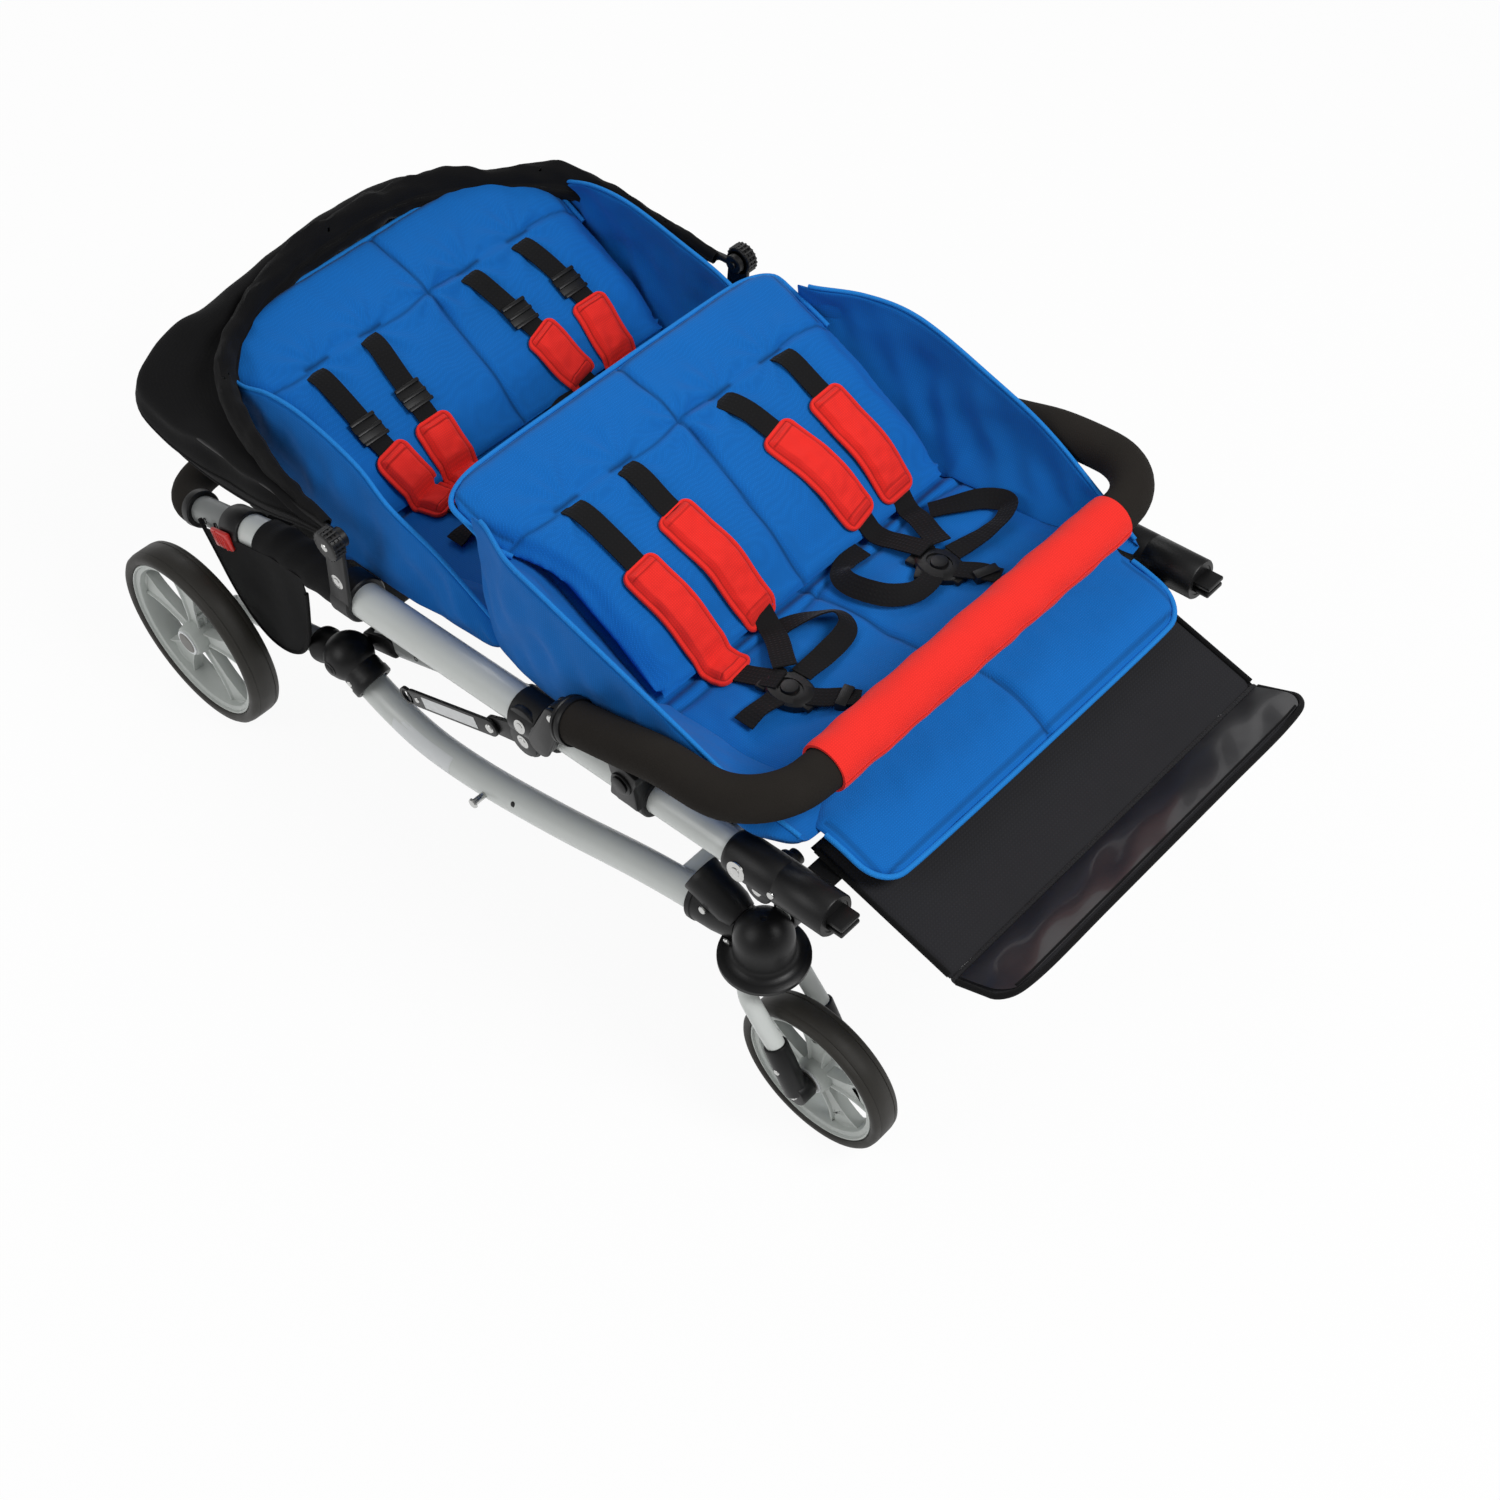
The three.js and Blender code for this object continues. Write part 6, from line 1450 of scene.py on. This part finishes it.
for row in (0, 1):
    shift = ROW_PITCH * row
    for side, sign in SIDES:
        bx, by = sign * 115, -395 + shift
        name = f"{ROWS[row]}_{side}"
        for label, places in LOOPS[side].items():
            line = strap_line(row, [(x, y + shift, lift) for x, y, lift in places], 56, half=2)
            stand = {"waist_inner": 0.9 * sign, "waist_outer": 0.6 if sign > 0 else 0.2, "crotch": 0.1}[label]

            def leaning(v, line=line, row=row, stand=stand):
                up = seat_normal(row, along(line, v).y / MM - MODEL_SHIFT)
                way = (along(line, v + 0.02) - along(line, v - 0.02)).normalized()
                return (up + way.cross(up).normalized() * stand * math.sin(math.pi * v) ** 2).normalized()
            ready(f"{name}_{label}_strap", ribbon(line, 24, leaning, 1.8), WEBBING, "upper_frame")
        x, y = LOOPS[side]["crotch"][2][0], LOOPS[side]["crotch"][2][1] + shift
        top = top_z(row, x, y)
        tip = block(x - 14, x + 14, y - 7, y + 5, top + 2, top + 13, 1.6,
                    Matrix.Rotation(-sign * 0.35, 4, "Z"))
        ready(f"{name}_crotch_clip", tip, BLACK_PLASTIC, "upper_frame")

        # Buckle: an oval shell, its tongues and the round release
        tilt = Matrix.Rotation(math.atan(seat_slope(row, by)), 4, "X")
        seat = Matrix.Translation(spot(bx, by, seat_z(row, by) + 0.6)) @ tilt
        shell = turned([(0, 0), (0, 20), (2, 21), (9, 21), (11.5, 19), (12.6, 13), (12.8, 11), (11.2, 10.6),
                        (11.2, 0)], Vector((0, 0, 0)), (0, 0, 1), 48)
        place_mesh(shell, seat @ Matrix.Diagonal((1, 30 / 21, 1, 1)))
        tongues = []
        for px, py, turn in ((-sign * 19, 9, 0.5 * sign), (sign * 18, 6, -0.4 * sign), (-7, 27, 0.1),
                             (8, 27, -0.1), (0, -28, 0)):
            bpy.ops.mesh.primitive_cube_add(size=1)
            tongue = bpy.context.object
            aside = Matrix.Translation((px * MM, py * MM, 7 * MM)) @ Matrix.Rotation(turn, 4, "Z")
            place_mesh(tongue, seat @ aside @ Matrix.Diagonal((22 * MM, 12 * MM, 6 * MM, 1)))
            tongues.append(soften(tongue, 1.6))
        ready(f"{name}_buckle_shell", [shell, *tongues], BLACK_PLASTIC, "upper_frame",
              f"{ROWS[row]}_buckle_{side}", angle=38)
        button = turned([(9.6, 0), (9.6, 9.6), (12.6, 9.8), (14.4, 9), (15.0, 6), (14.8, 0)],
                        Vector((0, 0, 0)), (0, 0, 1), 40)
        place_mesh(button, seat)
        ready(f"{name}_buckle_release", button, BLACK_PLASTIC, f"{ROWS[row]}_buckle_button_{side}",
              f"{ROWS[row]}_buckle_button_{side}", angle=38)


# Bumper bar: foam on a bowed tube, ringed caps, arms to the pivots and the cloth sleeve over its front
BUMPER_X, BUMPER_BEND = 300, 72
BUMPER_ROOT, BUMPER_FRONT = (-284, 402), (-527, 457)


def bumper_line(count=140):
    points = []
    for sign in (-1, 1):
        half = [spot(sign * BUMPER_X, y, z) for y, z in (BUMPER_ROOT, (-345, 421), (-400, 439))]
        for i in range(7):
            a = i / 6 * math.pi / 2
            x = BUMPER_X - BUMPER_BEND + BUMPER_BEND * math.cos(a)
            y = BUMPER_FRONT[0] + BUMPER_BEND - BUMPER_BEND * math.sin(a)
            half.append(spot(sign * x, y, lerp(447, BUMPER_FRONT[1], math.sin(a))))
        half.append(spot(sign * 110, *BUMPER_FRONT))
        points += half if sign < 0 else list(reversed(half))
    return smooth_line(points, count)


bumper = bumper_line()
ready("bumper_foam", soften(swept(bumper, 22.6, 28), 3, 3, 60), FOAM, "bumper", "bumper_bar", angle=60)
for side, sign in SIDES:
    way = (spot(0, *BUMPER_ROOT) - spot(0, -345, 421)).normalized()
    cap = [(-3, 0), (-3, 24.6), (-1, 25.4), (3, 25.4), (4, 23.8), (5, 23.8), (6, 25.4), (9, 25.4), (11, 23),
           (14, 15), (20, 11.6), (24, 11), (24, 0)]
    arm = side_plate(capsule(*BUMPER_PIVOT, *BUMPER_ROOT, 12, 10), sign * 294, sign * 306, 1.6)
    ready(f"bumper_cap_{side}", [turned(cap, spot(sign * BUMPER_X, *BUMPER_ROOT), way, 40), arm],
          BLACK_PLASTIC, "bumper", angle=38)


COVER_HALF = 216


def cover_faces(u, v):
    x = lerp(-COVER_HALF, COVER_HALF, v)
    angle = 2 * math.pi * u
    ends = ease(min(v, 1 - v) * 2 * COVER_HALF, 0, 7)
    puffed = 26.2 + 0.5 * ends + 0.5 * math.sin(x * 0.11 + 3 * angle) * ends
    out = Vector((0, -math.cos(angle), math.sin(angle)))
    base = spot(x, *BUMPER_FRONT)
    skin = base + out * (puffed * MM) + out * rumple(base + out * 0.02, 24, 1.3) * ends
    return skin, base + out * 23.4 * MM


cover = mend(both_faces(40, 96, cover_faces, (0.165, 0.432)), SEAM_MERGE)
ready("bumper_cover_cloth", cover, RED_CANVAS, "bumper", "bumper_cover", angle=60)
ready("cover_tab", block(-213, -199, -533, -505, 431.5, 434, 0.8,
                         Matrix.Rotation(math.radians(-40), 4, "X")), RED_CANVAS, "bumper")


# Canopy, folded down round the rear seat: a wire bow, cloth between it and the rolled band
BOW = ((-296, *CANOPY_HUB), (-296, 200, 411), (-295, 330, 407), (-287, 396, 405), (-258, 424, 404),
       (-200, 434, 404), (0, 437, 404), (130, 434, 404), (205, 420, 404), (254, 388, 405), (284, 338, 407),
       (295, 270, 409), (296, *CANOPY_HUB))
bow = smooth_line([spot(*place) for place in BOW], 90)
eye = [(-4, 0), (-4, 10.4), (-3, 11.4), (3, 11.4), (4, 10.4), (4, 0)]
hubs = [turned(eye, spot(sign * 297, *CANOPY_HUB), (1, 0, 0), 32) for side, sign in SIDES]
ready("canopy_bow_wire", [swept(bow, 4, 12), *hubs], BLACK_PLASTIC, "canopy", "canopy_bow")

# Lines from the near hub round the back, each place (x, y, z): the band's middle, the cloth's rim and crest
BAND = ((-292, 92, 410), (-288, 150, 421), (-277, 225, 434), (-254, 290, 446), (-214, 334, 456),
        (-154, 364, 465), (-90, 376, 475), (0, 379, 480), (70, 377, 475), (118, 369, 466), (168, 348, 456),
        (212, 318, 450), (244, 286, 446), (268, 225, 434), (286, 150, 421), (292, 92, 410))
RIM = ((-297, 74, 409), (-299, 128, 395), (-299, 201, 371), (-298, 290, 358), (-297, 350, 362),
       (-294, 392, 376), (-282, 415, 390), (-250, 431, 399), (-190, 437, 402), (130, 435, 402),
       (205, 421, 402), (254, 389, 400), (285, 338, 396), (297, 262, 388), (299, 190, 390), (299, 128, 398),
       (297, 74, 409))
CREST = ((-296, 82, 412), (-297, 140, 413), (-297, 225, 410), (-297, 300, 404), (-299, 360, 408),
         (-292, 394, 428), (-262, 400, 448), (-232, 399, 461), (-190, 396, 466), (-141, 397, 471),
         (-90, 396, 483), (-30, 396, 490), (40, 396, 490), (110, 394, 474), (170, 388, 448),
         (222, 376, 428), (262, 350, 412), (286, 300, 410), (295, 225, 412), (297, 140, 412),
         (296, 82, 412))
band, rim, crest = (smooth_line([spot(*place) for place in table], 200) for table in (BAND, RIM, CREST))


def band_round(v):
    """The band's half height and half thickness"""
    back = ease(math.sin(math.pi * v), 0.1, 0.62)
    return lerp(9, 25, back), lerp(6, 11, back)


def canopy_spot(u, v):
    outer, inner = along(rim, u), along(band, u)
    tall, thick = band_round(u)
    inner = inner + Vector((0, 0, -0.5 * tall * MM))
    top = along(crest, u)
    pull = top * 2 - (inner + outer) / 2
    at = inner * (1 - v) ** 2 + pull * 2 * v * (1 - v) + outer * v * v
    way = (along(rim, u + 0.01) - along(rim, u - 0.01)).normalized()
    out = way.cross(Vector((0, 0, 1))).normalized()
    hollow = math.sin(math.pi * v)
    folds = 4.0 * math.sin(3.4 * math.pi * v + 1.1 * math.sin(u * 11)) * hollow
    folds += 2.2 * math.sin(u * 70 + 5 * v) * hollow * ease(abs(u - 0.5), 0.2, 0.4)
    at += out * ((folds - 3) * MM)
    return at + Vector((0, 0, rumple(at, 36, 4.0) * hollow))


cloth = sheet(170, 30, canopy_spot, (1.18, 0.09))
shape(cloth, "SOLIDIFY", thickness=1.2 * MM, offset=0)
canopy_sheet = ready("canopy_cloth_folded", cloth, BLACK_CANVAS, "canopy", "canopy_cloth", angle=60)


# Ties pinch the rolled band, each (share along it, depth, width)
PINCHES = ((0.31, 0.3, 1.8), (0.56, 0.26, 1.6), (0.7, 0.26, 1.8))


def band_faces(u, v):
    centre = along(band, v)
    way = (along(band, v + 0.01) - along(band, v - 0.01)).normalized()
    side_way = way.cross(Vector((0, 0, 1))).normalized()
    up = side_way.cross(way).normalized()
    angle = 2 * math.pi * u
    pinch = 1 - sum(depth * bell((v - at) * 100, width) for at, depth, width in PINCHES)
    tall, thick = band_round(v)
    tall *= pinch * (1 + 0.06 * math.sin(v * 60))
    out = side_way * math.cos(angle) * thick + up * math.sin(angle) * tall
    ridge = 1 + 0.07 * math.sin(3 * angle + v * 34) + 0.04 * math.sin(7 * angle + v * 90)
    skin = centre + out * ridge * MM
    skin += out.normalized() * rumple(skin, 20, 3.4)
    return skin, centre + out * 0.86 * MM


roll = mend(both_faces(24, 240, band_faces, (0.1, 1.15)), SEAM_MERGE)
ready("canopy_band", roll, BLACK_CANVAS, "canopy", angle=60)
rims = []
for rise, inset in ((0, 0.0), (1.4, 0.12)):
    line = [canopy_spot(i / 150, 1 - inset) + Vector((0, 0, rise * MM)) for i in range(151)]
    rims.append(swept(line, 2.3, 8))
piping = ready("canopy_piping", rims, BLACK_CANVAS, "canopy", angle=60)


# A black cloth strip laps over each main tube below the canopy
def lap_spot(sign):
    def place(u, v):
        y = lerp(92, 232, v)
        angle = lerp(-0.5, 2.3, u)
        size = 23.2 + 1.0 * math.sin(v * 23 + u * 4) * math.sin(math.pi * v)
        return spot(sign * (TUBE_X + size * math.cos(angle)), y, tube_z(y) + size * math.sin(angle))
    return place


for side, sign in SIDES:
    lap = shape(sheet(16, 40, lap_spot(sign), (0.06, 0.14)), "SOLIDIFY", thickness=1.2 * MM, offset=0)
    ready(f"tube_lap_{side}", lap, BLACK_CANVAS, "upper_frame", angle=60)


# Footrest with its binding, and the tray with its film
BOARD_HALF, BOARD_TILT, TRAY_TILT = 241, math.radians(14.8), math.radians(23)
BOARD_FRONT, BOARD_BACK = (-706, 322), (-534, 367.5)


def board_faces(u, v):
    x = lerp(-BOARD_HALF, BOARD_HALF, u)
    y, z = (lerp(a, b, v) for a, b in zip(BOARD_FRONT, BOARD_BACK))
    normal = Vector((0, -math.sin(BOARD_TILT), math.cos(BOARD_TILT)))
    edge = edge_round(u, 40) * edge_round(v, 30)
    sag = 1.2 * math.sin(math.pi * v) * math.sin(math.pi * u)
    base = spot(x, y, z) - normal * sag * MM + Vector((0, 0, rumple(spot(x, y, 0), 50, 1.2)))
    return base + normal * 3.4 * edge * MM, base - normal * 3.2 * edge * MM


ready("footrest_board", both_faces(60, 24, board_faces, (0.482, 0.18)), BOARD_CANVAS, "upper_frame",
      "footrest_panel", angle=60)
for side, sign in SIDES:
    edge_line = [spot(sign * 240, y, read_off((BOARD_FRONT, BOARD_BACK), y) + 2.4)
                 for y in (-540, -620, -704)]
    edge_line = smooth_line(edge_line, 30)
    ready(f"footrest_binding_{side}", swept(edge_line, 3.0, 10), BLACK_CANVAS, "upper_frame", angle=60)
    ready(f"footrest_strap_{side}", block(sign * 207, sign * 262, -574, -542, 355, 357, 0.6), WEBBING,
          "upper_frame")


TRAY_HINGE = (-710, 321)
TRAY_OUT = Vector((0, -math.cos(TRAY_TILT), math.sin(TRAY_TILT)))
TRAY_UP = Vector((0, math.sin(TRAY_TILT), math.cos(TRAY_TILT)))


def tray_spot(x, reach, lift):
    return spot(x, *TRAY_HINGE) + TRAY_OUT * reach * MM + TRAY_UP * lift * MM


def tray_half(reach):
    into = clamp((reach - 42) / 26)
    return BOARD_HALF - 26 * (1 - math.sqrt(max(0.0, 1 - into * into)))


def corner_lift(x):
    """The tray's outer corners curl up a little"""
    return 3.0 * ease(abs(x), 200, BOARD_HALF)


def tray_faces(u, v):
    reach = lerp(1, 68, v)
    x = (2 * u - 1) * tray_half(reach)
    edge = edge_round(u, 40) * edge_round(v, 24)
    turn_up = corner_lift(x) * v
    return tray_spot(x, reach, turn_up + 3.0 * edge), tray_spot(x, reach, turn_up - 3.0 * edge)


board = [both_faces(64, 20, tray_faces, (0.482, 0.07)), cross_bar(*TRAY_HINGE, -240, 240, 4.2, 0.6, 16)]
ready("tray_board", board, BOARD_CANVAS, "foot_tray", "foot_tray", angle=50)


def film_faces(u, v):
    reach = lerp(5, 64, v)
    x = (2 * u - 1) * (tray_half(reach) - 5)
    wave = 0.9 * math.sin(x * 0.035) * math.sin(math.pi * v) + 0.5 * math.sin(x * 0.09 + v * 5)
    lift = 3.9 + corner_lift(x) * v + (1.2 + wave) * math.sin(math.pi * v)
    return tray_spot(x, reach, lift + 0.5), tray_spot(x, reach, lift)


film = ready("tray_film", both_faces(90, 20, film_faces, (0.47, 0.06)), SMOOTH_FILM, "foot_tray", angle=60)
hem = smooth_line([tray_spot(x, 62, 4.6 + corner_lift(x)) for x in range(-222, 223, 12)], 90)
ready("tray_hem", swept(hem, 1.3, 8), BLACK_CANVAS, "foot_tray", angle=60)
near_edge = [(240, reach) for reach in (4, 20, 40)]
near_edge += [(tray_half(reach), reach) for reach in (50, 58, 64, 67.6)]
edge_points = [tray_spot(-x, reach, 0.5 + 3.0 * reach / 68) for x, reach in near_edge]
edge_points += [tray_spot(x, 68.2, 0.5) for x in (-190, -100, 0, 100, 190)]
edge_points += [tray_spot(x, reach, 0.5 + 3.0 * reach / 68) for x, reach in reversed(near_edge)]
ready("tray_binding", swept(smooth_line(edge_points, 150), 3.2, 10), BLACK_CANVAS, "foot_tray", angle=60)


# Basket under the rear seat: one lofted shell that sags, with a bound rim
def rim_of(place, across=20, length=16):
    """The line round the edge of a sheet"""
    line = [place(i / across, 0) for i in range(across)] + [place(1, i / length) for i in range(length)]
    line += [place(1 - i / across, 1) for i in range(across)]
    return line + [place(0, 1 - i / length) for i in range(length + 1)]


def basket_spot(u, v):
    s, t = 2 * u - 1, 2 * v - 1
    reach = max(abs(s), abs(t), 1e-6)
    wall = ease(reach, 0.6, 1.0)
    width = lerp(0.93, 1.0, clamp((reach - 0.62) / 0.38)) if reach > 0.62 else 0.93 * reach / 0.62
    scale = width / reach
    belly = 7 * math.sin(math.pi * clamp((reach - 0.6) / 0.4))
    rim_sag = 16 * (1 - min(abs(s), 1) ** 2) * wall if abs(t) >= abs(s) else 10 * (1 - t * t) * wall
    x = s * scale * (226 + belly * 0.5)
    y = 258 + t * scale * (112 + belly * 0.5)
    z = lerp(154, 270, clamp((reach - 0.6) / 0.4)) - rim_sag - 3 * (1 - wall)
    at = spot(x, y, z)
    return at + Vector((0, 0, rumple(at, 60, 3.0) * (1 - wall * 0.6)))


basket = shape(sheet(56, 44, basket_spot, (0.62, 0.4)), "SOLIDIFY", thickness=1.4 * MM, offset=0)
basket = ready("rear_basket_cloth", basket, BLACK_CANVAS, "upper_frame", "rear_basket", angle=60)
binding = ready("rear_basket_binding", swept(rim_of(basket_spot), 3, 8), BLACK_CANVAS, "upper_frame",
                angle=60)


# The basket's side cloth hangs outside the leg, rounded below and bound
SIDE_EDGE = ((330, 272), (312, 232), (290, 184), (262, 150), (236, 138), (206, 142), (178, 162), (158, 200),
             (146, 250), (140, 284))


def side_spot(sign):
    edge = smooth_line([Vector((0, y, z)) for y, z in SIDE_EDGE], 60)

    def place(u, v):
        low = along(edge, u)
        high = Vector((0, lerp(326, 142, u), 0))
        high.z = tube_z(high.y) + 2
        at = high.lerp(low, v)
        swell = math.sin(math.pi * v) * math.sin(math.pi * u)
        x = 307.5 + 3.5 * swell + 1.6 * math.sin(u * 17 + 3 * v) * swell
        return spot(sign * x, at.y, at.z)
    return place


for side, sign in SIDES:
    place = side_spot(sign)
    panel = shape(sheet(44, 26, place, (0.2, 0.14)), "SOLIDIFY", thickness=1.4 * MM, offset=0)
    panel = ready(f"rear_basket_side_{side}", panel, BLACK_CANVAS, "upper_frame", angle=60)
    binding = ready(f"rear_basket_side_binding_{side}",
                    swept([place(i / 60, 1.0) for i in range(61)], 2.6, 8), BLACK_CANVAS, "upper_frame",
                    angle=60)


# A shallow pouch under the front seat
def pouch_spot(u, v):
    s, t = 2 * u - 1, 2 * v - 1
    reach = max(abs(s), abs(t), 1e-6)
    scale = (lerp(0.9, 1.0, clamp((reach - 0.66) / 0.34)) if reach > 0.66 else 0.9 * reach / 0.66) / reach
    up = clamp((reach - 0.62) / 0.38)
    at = spot(s * scale * 234, -298 + t * scale * 94, lerp(203, 250, up) - 8 * (1 - s * s) * up)
    return at + Vector((0, 0, rumple(at, 60, 3.0)))


pouch = shape(sheet(52, 30, pouch_spot, (0.6, 0.3)), "SOLIDIFY", thickness=1.4 * MM, offset=0)
pouch = ready("front_pouch", pouch, BLACK_CANVAS, "upper_frame", angle=60)
binding = ready("front_pouch_binding", swept(rim_of(pouch_spot), 3, 8), BLACK_CANVAS, "upper_frame", angle=60)
for side, sign in SIDES:
    stays = [block(sign * 231, sign * 235, y - 12, y + 12, 246, frame_z(y) - 16, 0.8) for y in (-360, -240)]
    ready(f"pouch_stays_{side}", stays, WEBBING, "upper_frame")
for side, sign in SIDES:
    hangers = []
    for y in (157, 250):
        hangers.append(block(sign * 229, sign * 233, y - 15, y + 15, 262, frame_z(y) - 12, 0.8))
        hangers.append(block(sign * 230, sign * 264, y - 15, y + 15, frame_z(y) - 14, frame_z(y) - 11, 0.8))
    ready(f"basket_hangers_{side}", hangers, WEBBING, "upper_frame")


# Floor, light and background
bpy.ops.mesh.primitive_plane_add(size=30)
floor = bpy.context.object
floor.name = "floor"
paper = bpy.data.materials.new("paper_floor")
paper.use_nodes = True
tree = paper.node_tree
surface = tree.nodes["Principled BSDF"]
surface.inputs["Base Color"].default_value = (0.9, 0.9, 0.9, 1)
surface.inputs["Roughness"].default_value = 0.9
surface.inputs["Specular IOR Level"].default_value = 0.1
glow = wire(tree, "ShaderNodeEmission", {"Color": (1, 1, 1, 1), "Strength": 1.0})
rays = tree.nodes.new("ShaderNodeLightPath").outputs
seen = math_node(tree, "MAXIMUM", rays["Is Camera Ray"], rays["Is Transmission Ray"])
seen = math_node(tree, "MAXIMUM", seen, rays["Is Glossy Ray"])
mixed = wire(tree, "ShaderNodeMixShader", {0: math_node(tree, "MULTIPLY", seen, 0.94), 1: surface.outputs[0],
                                           2: glow.outputs[0]})
tree.links.new(mixed.outputs[0], tree.nodes["Material Output"].inputs["Surface"])
floor.data.materials.append(paper)

world = bpy.data.worlds.new("studio")
bpy.context.scene.world = world
world.use_nodes = True
tree = world.node_tree
rays = tree.nodes.new("ShaderNodeLightPath").outputs
seen = math_node(tree, "MAXIMUM", rays["Is Camera Ray"], rays["Is Transmission Ray"])
lit = wire(tree, "ShaderNodeBackground", {"Color": (1, 1, 1, 1), "Strength": 0.3})
shown = wire(tree, "ShaderNodeBackground", {"Color": (1, 1, 1, 1), "Strength": 1.0})
mixed = wire(tree, "ShaderNodeMixShader", {0: seen, 1: lit.outputs[0], 2: shown.outputs[0]})
tree.links.new(mixed.outputs[0], tree.nodes["World Output"].inputs["Surface"])


def lamp(name, place, target, size, power):
    bpy.ops.object.light_add(type="AREA", location=place)
    light = bpy.context.object
    light.name = name
    light.data.size = size
    light.data.energy = power
    light.rotation_euler = (Vector(place) - Vector(target)).to_track_quat("Z", "Y").to_euler()


lamp("key_softbox", (0.4, -2.2, 2.9), (0, 0, 0.3), 1.2, 72)
lamp("side_softbox", (-2.6, 0.8, 2.2), (0, 0, 0.3), 1.8, 26)
lamp("back_softbox", (1.6, 2.4, 2.4), (0, 0, 0.3), 1.8, 22)
